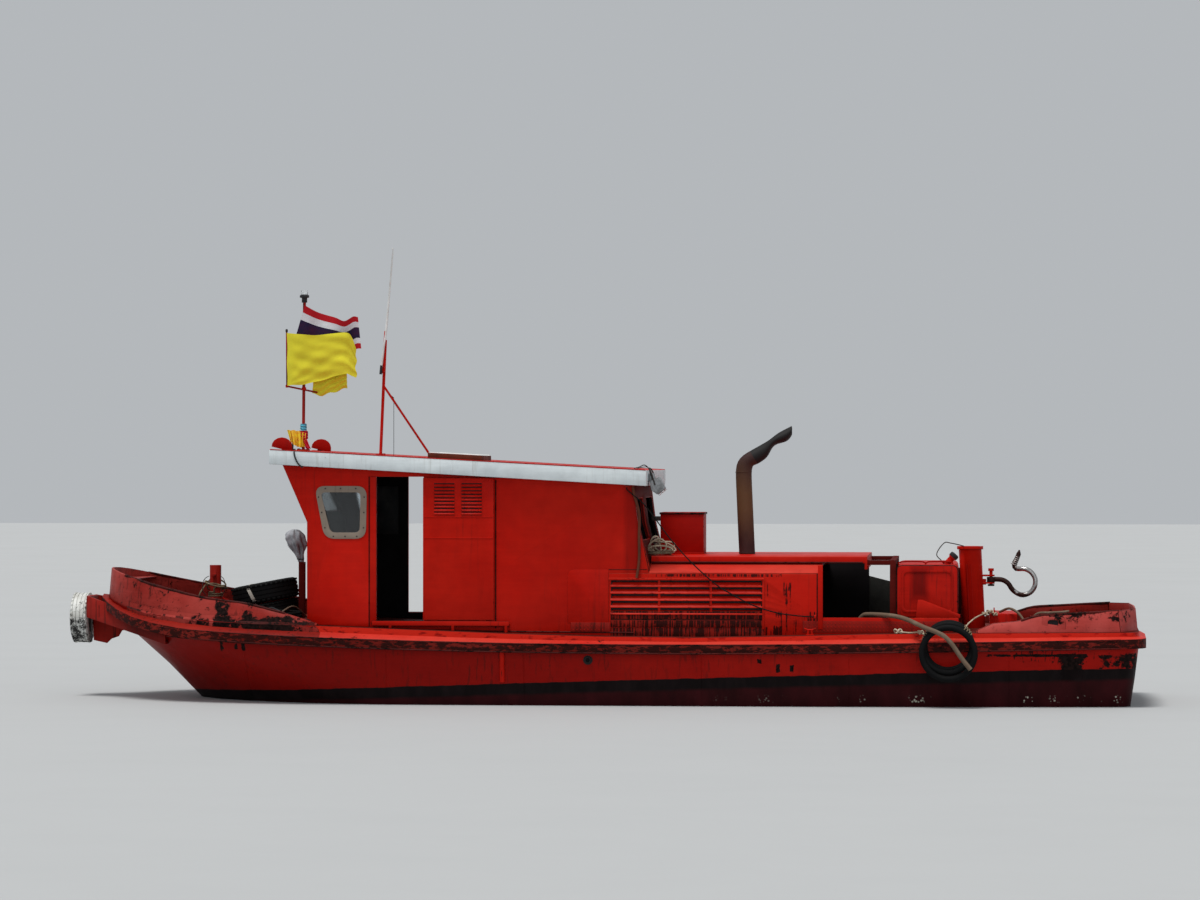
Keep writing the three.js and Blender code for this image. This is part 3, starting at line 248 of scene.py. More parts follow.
def wire(name: str, points: Sequence[Sequence[float]], closed: bool = True, filled: bool = False) -> Piece:
    """A line or face through points: a circle whose corners are moved there.

    Args:
        name: The piece's name.
        points: Its corners in order.
        closed: Whether the last corner joins the first.
        filled: Whether the loop has a face.

    Returns:
        The new piece.
    """
    clear()
    if len(points) == 2:
        points = [points[0], Vector(points[0]).lerp(Vector(points[1]), 0.5), points[1]]
    kind = "NGON" if filled else "NOTHING"
    bpy.ops.mesh.primitive_circle_add(vertices=len(points), fill_type=kind)
    piece = named(name)
    for corner, point in zip(piece.data.vertices, points):
        corner.co = point
    if not closed:
        with editing(piece):
            bpy.ops.mesh.select_all(action="DESELECT")
            work = bmesh.from_edit_mesh(piece.data)
            work.verts.ensure_lookup_table()
            for corner in (work.verts[0], work.verts[-1]):
                corner.select_set(True)
            work.select_flush(True)
            bpy.ops.mesh.delete(type="EDGE")
    return piece


def block(name: str, low: Point, high: Point, bevel: float = 0.004) -> Piece:
    """A block between two corners with rounded edges.

    Args:
        name: The piece's name.
        low: Lowest corner.
        high: Highest corner.
        bevel: Width of the rounding.

    Returns:
        The block.
    """
    clear()
    middle = [(a + b) / 2 for a, b in zip(low, high)]
    size = [b - a for a, b in zip(low, high)]
    bpy.ops.mesh.primitive_cube_add(size=1, location=middle)
    piece = named(name)
    piece.scale = size
    return soften(settle(piece), bevel)


def plate(name: str, points: Sequence[Flat], view: View, across: Flat, bevel: float = 0.002) -> Piece:
    """An outline in one view, extruded across it.

    Args:
        name: The piece's name.
        points: Corners of the outline.
        view: The view it is drawn in.
        across: Its two places on the axis across the view.
        bevel: Width of the rounded edges.

    Returns:
        The new plate.
    """
    piece = wire(name, [view.place(u, v, across[0]) for u, v in points], filled=True)
    with editing(piece):
        move = view.place(0, 0, across[1] - across[0])
        bpy.ops.mesh.extrude_region_move(TRANSFORM_OT_translate={"value": move})
    return soften(outward(piece), bevel)


def turned(
    name: str, profile: Sequence[Flat], foot: Point = (0, 0, 0), aim: Point = (0, 0, 1), steps: int = 32,
    angle: float = 38
) -> Piece:
    """A turned shape from (radius, height) pairs.

    Args:
        name: The piece's name.
        profile: Radius and height of each point. It closes on itself off the axis.
        foot: Where height 0 of the axis lies.
        aim: Direction of the axis.
        steps: Faces round it.
        angle: Sharpest turn in degrees that is still smooth.

    Returns:
        The new piece.
    """
    closed = profile[0][0] > 0 and profile[-1][0] > 0
    piece = wire(name, [(r, 0, h) for r, h in profile], closed=closed)
    with editing(piece):
        bpy.ops.mesh.spin(steps=steps, angle=math.tau, center=(0, 0, 0), axis=(0, 0, 1))
    outward(piece)
    piece.rotation_mode = "QUATERNION"
    piece.rotation_quaternion = Vector((0, 0, 1)).rotation_difference(Vector(aim))
    piece.location = foot
    return soften(settle(piece), 0, angle=angle)


def bar(
    name: str, points: Sequence[Sequence[float]], radius: float | Sequence[float], sides: int = 12, closed: bool = False
) -> Piece:
    """A round bar or pipe along a route.

    Args:
        name: The piece's name.
        points: The route.
        radius: Its radius, or one for each point.
        sides: Faces round it.
        closed: Whether the route closes on itself.

    Returns:
        The new bar.
    """
    piece = wire(name, points, closed=closed)
    hold(piece)
    bpy.ops.object.convert(target="CURVE")
    piece = bpy.context.object
    curve = piece.data
    curve.bevel_depth = 1.0
    curve.bevel_resolution = (sides - 4) // 2
    curve.use_fill_caps = True
    row = curve.splines[0].points
    radii = list(radius) if isinstance(radius, Sequence) else [radius] * len(row)
    if (row[0].co.xyz - Vector(points[0])).length > (row[-1].co.xyz - Vector(points[0])).length:
        radii.reverse()
    for spot, value in zip(row, radii):
        spot.radius = value
    bpy.ops.object.convert(target="MESH")
    return soften(outward(named(name)), 0, angle=50)


def join(name: str, pieces: Iterable[Piece]) -> Piece:
    """Make one piece of several.

    Args:
        name: Name of the whole.
        pieces: The parts, which it takes up.

    Returns:
        The joined piece.
    """
    pieces = list(pieces)
    hold(pieces[0])
    for piece in pieces[1:]:
        piece.select_set(True)
    if len(pieces) > 1:
        bpy.ops.object.join()
    return named(name)


def copy(piece: Piece, name: str, move: Point = (0, 0, 0)) -> Piece:
    """A moved copy with its own mesh.

    Args:
        piece: What is copied.
        name: The copy's name.
        move: How far the copy is moved.

    Returns:
        The copy.
    """
    hold(piece)
    bpy.ops.object.duplicate()
    twin = named(name)
    twin.location += Vector(move)
    return settle(twin)


def mirrored(piece: Piece, name: str) -> Piece:
    """The same piece on the other side of the boat.

    Args:
        piece: What is mirrored; it stays.
        name: The copy's name.

    Returns:
        The mirrored copy.
    """
    twin = copy(piece, name)
    with editing(twin):
        bpy.ops.transform.resize(value=(1, -1, 1), center_override=(0, 0, 0))
        bpy.ops.mesh.flip_normals()
    return twin


def refitted(node: Piece, name: str, bevel: float, angle: float = 38, edge_slot: int = -1) -> Piece:
    """A merged copy of a solid with clean flats, rounded edges and smooth curves.

    Args:
        node: The solid's own object, which stays as it is.
        name: The copy's name.
        bevel: Width of the rounded edges.
        angle: Sharpest turn in degrees that is still smooth.
        edge_slot: Material slot of the rounded edges.

    Returns:
        The copy.
    """
    hold(node)
    bpy.ops.object.duplicate()
    piece = named(name)
    bpy.ops.object.parent_clear(type="CLEAR_KEEP_TRANSFORM")
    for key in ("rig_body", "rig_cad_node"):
        del piece[key]
    bpy.ops.mesh.customdata_custom_splitnormals_clear()
    with editing(piece):
        bpy.ops.mesh.remove_doubles(threshold=1e-5)
        bpy.ops.mesh.dissolve_limited(angle_limit=math.radians(0.6))
    while len(piece.data.materials) <= edge_slot:
        piece.data.materials.append(None)
    return soften(settle(piece), bevel, angle=angle, edge_slot=edge_slot)


def smooth(points: Sequence[Sequence[float]], step: float = 0.04) -> list[Vector]:
    """Points at about even steps on a smooth curve through the given ones.

    Args:
        points: Corners of the line.
        step: Spacing of the new points.

    Returns:
        The points, ends included.
    """
    rows = [Vector(p) for p in points]
    rows = [2 * rows[0] - rows[1], *rows, 2 * rows[-1] - rows[-2]]
    made = []
    for a, b, c, d in zip(rows, rows[1:], rows[2:], rows[3:]):
        count = max(1, round((c - b).length / step))
        for k in range(count):
            t = k / count
            cube = 3 * b - a - 3 * c + d
            made.append(0.5 * (2 * b + (c - a) * t + (2 * a - 5 * b + 4 * c - d) * t**2 + cube * t**3))
    return [*made, rows[-2]]


def rounded(points: Sequence[Sequence[float]], steps: int = 5) -> list[Flat]:
    """An outline with round corners, where a third number is a corner's radius.

    Args:
        points: Corners, each with its radius or without.
        steps: Faces round one corner.

    Returns:
        The outline's points.
    """
    made = []
    for k, (u, v, *radius) in enumerate(points):
        here = Vector((u, v))
        if not radius:
            made.append((u, v))
            continue
        before = Vector(points[k - 1][:2])
        after = Vector(points[(k + 1) % len(points)][:2])
        start = here + (before - here).normalized() * radius[0]
        end = here + (after - here).normalized() * radius[0]
        for i in range(steps + 1):
            t = i / steps
            made.append(tuple(start * (1 - t) ** 2 + here * 2 * t * (1 - t) + end * t**2))
    return made


def ring_plate(
    name: str, outer: Sequence[Flat], inner: Sequence[Flat], view: View, across: Flat, bevel: float = 0.003
) -> Piece:
    """A frame between two outlines with as many corners, bridged and given a thickness.

    Args:
        name: The piece's name.
        outer: Outer outline.
        inner: Inner outline.
        view: View both are drawn in.
        across: Where it starts and ends across the view.
        bevel: Width of the rounding.

    Returns:
        The frame.
    """
    loops = [
        wire(f"{name}_{k}", [view.place(u, v, across[0]) for u, v in loop]) for k, loop in enumerate((outer, inner))
    ]
    piece = join(name, loops)
    with editing(piece):
        bpy.ops.mesh.bridge_edge_loops()
        move = view.place(0, 0, across[1] - across[0])
        bpy.ops.mesh.select_all(action="SELECT")
        bpy.ops.mesh.extrude_region_move(TRANSFORM_OT_translate={"value": move})
    return soften(outward(piece), bevel)


def bolts(name: str, spots: Iterable[Point], aim: Point, size: float = 0.012) -> Piece:
    """Hexagon heads with washers, modelled once and copied to each spot.

    Args:
        name: Name of the group.
        spots: Where the heads stand.
        aim: Direction of the bolts' axes.
        size: Half the width of a head.

    Returns:
        The bolts as one piece.
    """
    head = turned(
        f"{name}_head",
        [(0, 0), (size * 1.5, 0), (size * 1.5, size * 0.25), (size, size * 0.25),
         (size, size * 0.9), (size * 0.8, size), (0, size)],
        aim=aim, steps=6, angle=20,
    )
    copies = [copy(head, f"{name}_{k}", spot) for k, spot in enumerate(spots)]
    bpy.data.objects.remove(head)
    return join(name, copies)


# ---------------------------------------------------------------- finishes


def shade(tone: Colour, share: float) -> Colour:
    """A colour made darker or lighter."""
    return tuple(part * share for part in tone)


@dataclass(frozen=True)
class Scar:
    """A place where a layer of the paint is stronger than elsewhere."""

    centre: Point
    reach: Point
    weight: float = 0.12


class Signal:
    """A number or a colour on its way through a material's nodes."""

    def __init__(self, recipe: "Recipe", socket: bpy.types.NodeSocket) -> None:
        """Take the output that carries it."""
        self.recipe, self.socket = recipe, socket

    def step(self, operation: str, one: object, two: object) -> "Signal":
        """The result of one arithmetic step."""
        return self.recipe.out("ShaderNodeMath", {0: one, 1: two}, operation=operation)

    def __add__(self, other: object) -> "Signal":
        """The sum."""
        return self.step("ADD", self, other)

    def __sub__(self, other: object) -> "Signal":
        """The difference."""
        return self.step("SUBTRACT", self, other)

    def __rsub__(self, other: object) -> "Signal":
        """The difference from a number."""
        return self.step("SUBTRACT", other, self)

    def __mul__(self, other: object) -> "Signal":
        """The product."""
        return self.step("MULTIPLY", self, other)

    def most(self, other: object) -> "Signal":
        """The larger of the two."""
        return self.step("MAXIMUM", self, other)

    def span(self, low: object, high: object, to: Flat = (0, 1)) -> "Signal":
        """Its place between low and high, held inside the two numbers of to."""
        feeds = {"Value": self, "From Min": low, "From Max": high, "To Min": to[0], "To Max": to[1]}
        return self.recipe.out("ShaderNodeMapRange", feeds, clamp=True)


class Recipe:
    """A material's node tree while it is built."""

    def __init__(self, name: str) -> None:
        """Start a material with its principled shader and object coordinates.

        Args:
            name: The material's name.
        """
        self.material = bpy.data.materials.new(name)
        self.material.use_nodes = True
        self.tree = self.material.node_tree
        self.shader = self.tree.nodes["Principled BSDF"].inputs
        coordinates = self.node("ShaderNodeTexCoord").outputs
        self.spot, self.flat = coordinates["Object"], coordinates["UV"]
        self.x, self.y, self.z = self.split(self.spot)

    def node(self, kind: str, feeds: dict | None = None, **settings: object) -> bpy.types.Node:
        """Add a node, set it and feed its inputs with values or signals.

        Args:
            kind: The node's type.
            feeds: Values or signals by input.
            **settings: Values for the node.

        Returns:
            The node.
        """
        made = self.tree.nodes.new(kind)
        for key, value in settings.items():
            setattr(made, key, value)
        for key, value in (feeds or {}).items():
            self.feed(made.inputs[key], value)
        return made

    def out(self, kind: str, feeds: dict | None = None, key: int | str = 0, **settings: object) -> Signal:
        """Add a node and take one of its outputs."""
        return Signal(self, self.node(kind, feeds, **settings).outputs[key])

    def feed(self, socket: bpy.types.NodeSocket, value: object) -> None:
        """Link a signal to a socket, or set the socket's value.

        Args:
            socket: The input.
            value: A signal, an output or a plain value.
        """
        if isinstance(value, Signal):
            value = value.socket
        if isinstance(value, bpy.types.NodeSocket):
            self.tree.links.new(value, socket)
        else:
            socket.default_value = (*value, 1) if socket.type == "RGBA" else value

    def split(self, vector: object) -> list[Signal]:
        """The three parts of a vector."""
        return [Signal(self, part) for part in self.node("ShaderNodeSeparateXYZ", {0: vector}).outputs]

    def mapped(self, vector: object, place: Sequence[float], scale: Sequence[float]) -> Signal:
        """A vector scaled and then moved."""
        return self.out("ShaderNodeMapping", {0: vector, "Location": place, "Scale": scale})

    def noise(
        self, scale: float, detail: float = 4, stretch: Point = (1, 1, 1), seed: float = 0, rough: float = 0.55,
        vector: object = None
    ) -> Signal:
        """Cloudy noise, from 0 to 1.

        Args:
            scale: Blobs to a metre.
            detail: Layers of finer noise.
            stretch: Share of the scale along each axis.
            seed: Shift that makes two noises differ.
            rough: Weight of the finer layers.
            vector: Coordinates to use in place of the object's.

        Returns:
            The noise's factor.
        """
        moved = self.mapped(vector or self.spot, (seed, seed * 0.7, seed * 1.3), stretch)
        feeds = {"Vector": moved, "Scale": scale, "Detail": detail, "Roughness": rough}
        return self.out("ShaderNodeTexNoise", feeds, "Fac")

    def cells(self, scale: float, feature: str = "F1") -> Signal:
        """Distance in a pattern of cells."""
        return self.out("ShaderNodeTexVoronoi", {"Vector": self.spot, "Scale": scale}, "Distance", feature=feature)

    def mix(self, share: object, one: object, two: object) -> Signal:
        """The first colour, going to the second as share goes from 0 to 1."""
        return self.out("ShaderNodeMix", {0: share, 6: one, 7: two}, 2, data_type="RGBA")

    def blot(self, scar: Scar) -> Signal:
        """A soft-edged block, as strong as the scar's weight, that fades to nothing at its reach.

        Args:
            scar: The block and its weight.

        Returns:
            Its strength, place by place.
        """
        place = [-c / r for c, r in zip(scar.centre, scar.reach)]
        moved = self.mapped(self.spot, place, [1 / r for r in scar.reach])
        along, across, up = self.split(self.out("ShaderNodeVectorMath", {0: moved}, operation="ABSOLUTE"))
        return along.most(across).most(up).span(0.45, 1.0, (1, 0)) * scar.weight

    def finish(
        self, colour: object, roughness: object, height: Signal | None = None, depth: float = 0.002,
        strength: float = 0.6, **sockets: float
    ) -> bpy.types.Material:
        """Wire up the shader.

        Args:
            colour: Base colour.
            roughness: Roughness.
            height: Relief, from 0 to 1.
            depth: What 1 of the relief is in metres.
            strength: Share of the relief that shows.
            **sockets: Other inputs of the shader, with spaces as underscores.

        Returns:
            The material.
        """
        self.feed(self.shader["Base Color"], colour)
        self.feed(self.shader["Roughness"], roughness)
        if height is not None:
            feeds = {"Height": height, "Strength": strength, "Distance": depth}
            self.feed(self.shader["Normal"], self.out("ShaderNodeBump", feeds, "Normal"))
        for key, value in sockets.items():
            self.shader[key.replace("_", " ")].default_value = value
        return self.material


@dataclass(frozen=True)
class WeatheredPaint:
    """Brushed enamel on steel: uneven tone, drips, chips down to rust, grime, and darker blots that are stains on some
    finishes and painted shade on others.
    """

    name: str
    tone: Colour = (0.45, 0.0050, 0.0010)
    faded: Colour = (0.50, 0.0110, 0.0035)
    chips: float = 0.40
    streaks: float = 0.5
    roughness: float = 0.42
    stain: Colour = (0.036, 0.006, 0.004)
    rust: Colour = (0.014, 0.006, 0.005)
    scars: tuple[Scar, ...] = ()
    grime: tuple[Scar, ...] = ()
    stain_and_shade_blots: tuple[Scar, ...] = ()
    side_grime: float = 0.0
    scuffs: float = 0.0

    def layers(self, recipe: Recipe) -> tuple[Signal, Signal, Signal]:
        """Colour, roughness and relief of the paint, in that order.

        Args:
            recipe: The material's recipe.

        Returns:
            The three signals.
        """
        base = recipe.mix(recipe.noise(0.8, 3).span(0.36, 0.68), self.tone, self.faded)
        mottle = recipe.noise(6, 6, seed=3).span(0.30, 0.72)
        base = recipe.mix(mottle * 0.34, base, shade(self.tone, 0.55))
        brush = recipe.noise(2.2, 4, (1, 1, 16), 5).span(0.42, 0.70)
        base = recipe.mix(brush * 0.14, base, shade(self.faded, 1.25))
        # Darker blots: stains and uneven paint on the tank and walls; painted shade on the hull's bow, the belt's top
        # at the bow and the knee's aft end.
        for scar in self.stain_and_shade_blots:
            base = recipe.mix(recipe.blot(scar), base, shade(self.tone, 0.45))
        drip = recipe.noise(26, 5, (1, 1, 0.055), 8, 0.6).span(0.545, 0.64)
        where = recipe.noise(1.2, 3, (1, 1, 0.5), 11).span(0.44, 0.62)
        base = self.soil(recipe, recipe.mix(drip * where * self.streaks, base, self.stain))
        wear = recipe.noise(13, 12, (0.75, 1, 0.9), 17, 0.72) + (recipe.noise(1.3, 3, seed=21) - 0.5) * 0.30
        for scar in self.scars:
            wear += recipe.blot(scar)
        edge = 0.78 - 0.24 * self.chips
        chip = wear.span(edge, edge + 0.025)
        halo = wear.span(edge - 0.05, edge + 0.01) * 0.5
        dark = recipe.mix(recipe.noise(30, 6, seed=29).span(0.4, 0.6), self.rust, shade(self.rust, 0.22))
        colour = recipe.mix(chip, recipe.mix(halo, base, self.stain), dark)
        rough = mottle.span(0, 1, (self.roughness, self.roughness + 0.12)) + chip * 0.36
        relief = recipe.noise(55, 5, seed=31) * 0.16 + recipe.noise(2.6, 3, seed=37) - chip * 0.34
        return colour, rough, relief

    def soil(self, recipe: Recipe, base: Signal) -> Signal:
        """Soot and tar: runs and scuffs in the grimy places and over upright faces.

        Args:
            recipe: The material's recipe.
            base: The paint's colour.

        Returns:
            The soiled colour.
        """
        if not (self.grime or self.side_grime or self.scuffs):
            return base
        facing = recipe.split(recipe.out("ShaderNodeNewGeometry", key="Normal"))[2]
        upright = facing.span(0.15, 0.45, (1, 0))
        amount = upright * self.side_grime
        for scar in self.grime:
            amount = amount.most(recipe.blot(scar))
        run, patch = recipe.noise(46, 8, (1, 1, 0.055), 61, 0.60), recipe.noise(7.5, 9, (0.8, 1, 1), 67, 0.66)
        edge = 0.80 - amount * 0.36
        share = (run * 0.66 + patch * 0.34).span(edge, edge + 0.030)
        if self.scuffs:
            high = 0.66 - 0.20 * self.scuffs
            share = share.most(recipe.noise(19, 11, (0.40, 1, 1.1), 71, 0.74).span(high, high + 0.03) * upright)
        return recipe.mix(share * 0.93, base, shade(self.stain, 0.40))

    def make(self) -> bpy.types.Material:
        """The finished material."""
        recipe = Recipe(self.name)
        return recipe.finish(*self.layers(recipe), depth=0.004, strength=0.55, Specular_IOR_Level=0.07)


@dataclass(frozen=True)
class HullPaint(WeatheredPaint):
    """Red topsides over a black band, and a maroon bottom with shell growth near the water; a painted highlight along
    the sloping strip above the belt.
    """

    band: Colour = (0.0050, 0.0028, 0.0030)
    bottom: Colour = (0.020, 0.0020, 0.0028)
    shells: Colour = (0.42, 0.40, 0.33)
    highlight_tone: Colour = (0.60, 0.020, 0.008)
    band_depth: float = 0.135

    def make(self) -> bpy.types.Material:
        """The finished material, its bands rising aft as a shallow curve.

        Returns:
            The material.
        """
        recipe = Recipe(self.name)
        colour, rough, relief = self.layers(recipe)
        x, z = recipe.x, recipe.z
        above = z + (recipe.noise(5, 6, seed=41) - 0.5) * 0.035 - (x * 0.0325 + 0.299 - x * x * 0.0010)
        red = above.span(-0.004, 0.004)
        sea = recipe.noise(4, 7, (1, 1, 0.4), 43).span(0.35, 0.7)
        tar = recipe.noise(6, 7, (1, 1, 0.3), 47).span(0.45, 0.75)
        low = recipe.mix(
            (above + self.band_depth).span(-0.02, 0.02), recipe.mix(sea, self.bottom, shade(self.bottom, 2.1)),
            recipe.mix(tar, self.band, shade(self.band, 2.4))
        )
        crust = recipe.cells(30.0).span(0.30, 0.42, (1, 0)) * recipe.noise(4.6, 3, (1, 1, 0.3), 53).span(0.545, 0.60)
        crust *= z.span(0.040, 0.065) * z.span(0.120, 0.145, (1, 0)) * x.span(1.0, 4.0)
        low = recipe.mix(crust, low, self.shells)
        cube, square, slope, middle = BELT_CURVE
        sheer = ((x * cube + square) * x + slope) * x + middle
        # Painted highlight: a brighter, broken strip on the sloping face above the belt, aft of the bow.
        gunwale_highlight = (z - sheer).span(0.064, 0.070) * x.span(-3.62, -3.40)
        gunwale_highlight *= recipe.noise(17, 8, (0.4, 1, 1), 79).span(0.36, 0.46)
        colour = recipe.mix(red, low, recipe.mix(gunwale_highlight * 0.85, colour, self.highlight_tone))
        rough = rough * 0.75 + red.span(0, 1, (0.22, 0.12))
        return recipe.finish(colour, rough, relief + crust * 1.2, depth=0.004, Specular_IOR_Level=0.07)


@dataclass(frozen=True)
class WornSteel:
    """Bare steel, dark where it rusts and bright where it is rubbed."""

    name: str
    bright: Colour = (0.34, 0.33, 0.32)
    dull: Colour = (0.055, 0.045, 0.042)
    share: float = 0.5
    metal: float = 0.85
    roughness: Flat = (0.28, 0.70)
    rubbed: Scar | None = None

    def make(self) -> bpy.types.Material:
        """The finished material.

        Returns:
            The material.
        """
        recipe = Recipe(self.name)
        cloud = recipe.noise(9, 7, seed=2, rough=0.65)
        if self.rubbed:
            cloud -= recipe.blot(self.rubbed)
        dull = cloud.span(0.72 - 0.5 * self.share - 0.08, 0.72 - 0.5 * self.share + 0.08)
        pits = recipe.noise(70, 5, seed=6)
        colour = recipe.mix(dull, recipe.mix(pits.span(0.4, 0.7), self.bright, shade(self.bright, 0.6)), self.dull)
        return recipe.finish(colour, dull.span(0, 1, self.roughness), pits, 0.0012, 0.5, Metallic=self.metal)


@dataclass(frozen=True)
class HeatedSteel:
    """Exhaust pipe: scale in browns that changes up the pipe, sooty at the outlet."""

    name: str
    low: Colour = (0.026, 0.011, 0.010)
    middle: Colour = (0.105, 0.050, 0.022)
    soot: Colour = (0.010, 0.008, 0.008)

    def make(self) -> bpy.types.Material:
        """The finished material.

        Returns:
            The material.
        """
        recipe = Recipe(self.name)
        cloud = recipe.noise(3.2, 7, (1, 1, 0.5), 3, 0.62)
        height = recipe.z + cloud * 0.5
        warm = height.span(2.15, 2.55) * height.span(2.80, 3.20, (1, 0))
        scale = recipe.mix(cloud.span(0.35, 0.7), self.low, shade(self.low, 2.0))
        colour = recipe.mix(height.span(3.22, 3.44), recipe.mix(warm, scale, self.middle), self.soot)
        flakes = recipe.noise(45, 6, seed=5)
        return recipe.finish(colour, flakes.span(0.3, 0.7, (0.5, 0.8)), flakes, 0.0015, Specular_IOR_Level=0.18)


@dataclass(frozen=True)
class Rubber:
    """Old rubber with dust in its hollows and pale scuffs."""

    name: str
    tone: Colour = (0.0035, 0.0036, 0.0040)
    dust: Colour = (0.010, 0.009, 0.008)

    def make(self) -> bpy.types.Material:
        """The finished material.

        Returns:
            The material.
        """
        recipe = Recipe(self.name)
        cloud, fine = recipe.noise(5, 8, seed=4, rough=0.62), recipe.noise(60, 5, seed=9)
        colour = recipe.mix(cloud.span(0.45, 0.72) * fine.span(0.3, 0.7), self.tone, self.dust)
        rough = cloud.span(0.3, 0.7, (0.62, 0.80))
        return recipe.finish(colour, rough, fine, 0.0012, 0.5, Specular_IOR_Level=0.09)


@dataclass(frozen=True)
class PaintedRubber:
    """Rubber brushed with white paint that has cracked and rubbed off low down."""

    name: str
    paint: Colour = (0.62, 0.63, 0.60)
    rubber: Colour = (0.020, 0.019, 0.018)
    middle: float = 0.96
    spread: float = 0.30

    def make(self) -> bpy.types.Material:
        """The finished material.

        Returns:
            The material.
        """
        recipe = Recipe(self.name)
        worn = recipe.noise(9, 8, (1, 1, 0.8), 7, 0.66)
        crack = recipe.cells(14.0, "DISTANCE_TO_EDGE").span(0.0, 0.035, (0.16, 0))
        height = recipe.z.span(self.middle - self.spread, self.middle + self.spread, (0.13, -0.05))
        bare = (worn + crack + height).span(0.60, 0.66)
        grime = recipe.noise(4, 5, seed=13).span(0.42, 0.75) * 0.55
        colour = recipe.mix(bare, recipe.mix(grime, self.paint, (0.20, 0.18, 0.14)), self.rubber)
        relief = recipe.noise(50, 4, seed=15) * 0.4 - bare * 0.5
        return recipe.finish(colour, bare.span(0, 1, (0.55, 0.85)), relief)


@dataclass(frozen=True)
class Cloth:
    """Woven cloth in one colour or in stripes across its height, on its own UV map."""

    name: str
    tone: Colour = (0.70, 0.63, 0.035)
    size: Flat = (0.9, 0.6)
    bands: tuple[tuple[float, Colour], ...] = ()
    blend: Colour | None = None

    def make(self) -> bpy.types.Material:
        """The finished material, with a thread of about 2 mm and soft, uneven dye.

        Returns:
            The material.
        """
        recipe = Recipe(self.name)
        along, up, _ = recipe.split(recipe.flat)
        colour: object = self.tone
        if self.bands:
            ramp = recipe.node("ShaderNodeValToRGB", {0: up})
            ramp.color_ramp.interpolation = "CONSTANT"
            rows = ramp.color_ramp.elements
            for k, (start, tone) in enumerate(self.bands):
                row = rows[k] if k < len(rows) else rows.new(start)
                row.position, row.color = start, (*tone, 1)
            colour = ramp.outputs[0]
        uneven = recipe.noise(5, 5, seed=3, vector=recipe.flat)
        if self.blend:
            colour = recipe.mix(uneven.span(0.45, 0.6), self.tone, self.blend)
        dyed = recipe.mix(uneven.span(0.35, 0.7) * 0.18, colour, shade(self.tone, 0.5))
        waves = [
            recipe.out("ShaderNodeMath", {0: axis * (math.tau * length / 0.002)}, operation="SINE")
            for axis, length in zip((along, up), self.size)
        ]
        weave = (waves[0] * waves[1]).span(-1, 1)
        return recipe.finish(dyed, 0.88, weave, 0.0006, 0.5, Sheen_Weight=0.04, Specular_IOR_Level=0.15)


@dataclass(frozen=True)
class Fibre:
    """Rope or line: dirty fibres whose colour changes along it."""

    name: str
    tone: Colour
    dirt: Colour

    def make(self) -> bpy.types.Material:
        """The finished material.

        Returns:
            The material.
        """
        recipe = Recipe(self.name)
        cloud, hair = recipe.noise(8, 6, seed=3, rough=0.6), recipe.noise(160, 3, seed=9)
        colour = recipe.mix(cloud.span(0.38, 0.68), self.tone, self.dirt)
        colour = recipe.mix(hair.span(0.4, 0.7) * 0.35, colour, shade(self.dirt, 0.4))
        return recipe.finish(colour, 0.9, hair, 0.001, 0.7, Specular_IOR_Level=0.1)


@dataclass(frozen=True)
class Plain:
    """Moulded plastic, glass, varnish or cast metal with light soiling."""

    name: str
    tone: Colour
    soil: Colour
    roughness: Flat = (0.3, 0.55)
    amount: float = 0.35
    scale: float = 7
    metal: float = 0.0
    clear: float = 0.0
    grain: Point = (1, 1, 1)

    def make(self) -> bpy.types.Material:
        """The finished material.

        Returns:
            The material.
        """
        recipe = Recipe(self.name)
        cloud = recipe.noise(self.scale, 7, self.grain, 5, 0.6)
        colour = recipe.mix(cloud.span(0.42, 0.75) * self.amount, self.tone, self.soil)
        return recipe.finish(
            colour, cloud.span(0.3, 0.75, self.roughness), recipe.noise(80, 3, self.grain, 11), 0.0006, 0.25,
            Metallic=self.metal, Transmission_Weight=self.clear,
            Specular_IOR_Level=0.5 if self.metal or self.clear else 0.2
        )


BOW_SCARS = (
    Scar((-4.40, -1.6, 0.93), (1.15, 0.6, 0.12), 0.15), Scar((-4.62, -1.5, 1.06), (0.12, 0.6, 0.24), 0.19),
    Scar((-4.30, -1.5, 1.02), (0.07, 0.6, 0.18), 0.18), Scar((-3.80, -1.5, 0.96), (0.06, 0.6, 0.14), 0.18),
    Scar((-4.60, 1.6, 0.95), (0.9, 0.6, 0.11), 0.15), Scar((-4.05, -1.5, 0.96), (0.30, 0.6, 0.10), 0.10),
    Scar((-5.2, 0.0, 1.30), (0.4, 1.2, 0.05), 0.10)
)
STERN_SCARS = (
    Scar((5.75, -1.6, 1.08), (0.5, 0.5, 0.10), 0.10), Scar((5.25, -1.6, 1.05), (0.12, 0.5, 0.10), 0.12),
    Scar((6.2, 0.0, 1.05), (0.2, 1.6, 0.09), 0.08)
)
HULL_SCARS = (
    Scar((5.46, -1.6, 0.47), (0.20, 0.5, 0.22), 0.36), Scar((6.02, -1.6, 0.54), (0.36, 0.6, 0.15), 0.29),
    Scar((5.00, -1.7, 0.612), (0.75, 0.4, 0.022), 0.36), Scar((2.02, -1.7, 0.455), (0.032, 0.4, 0.065), 0.36),
    Scar((2.18, -1.7, 0.45), (0.030, 0.4, 0.055), 0.36), Scar((1.80, -1.7, 0.54), (0.04, 0.4, 0.045), 0.30),
    Scar((-4.62, -1.5, 0.70), (0.035, 0.5, 0.09), 0.34), Scar((-4.44, -1.5, 0.69), (0.030, 0.5, 0.07), 0.34),
    Scar((-4.35, -1.5, 0.68), (0.035, 0.5, 0.08), 0.34), Scar((6.25, 0.4, 0.45), (0.2, 1.4, 0.25), 0.12)
)
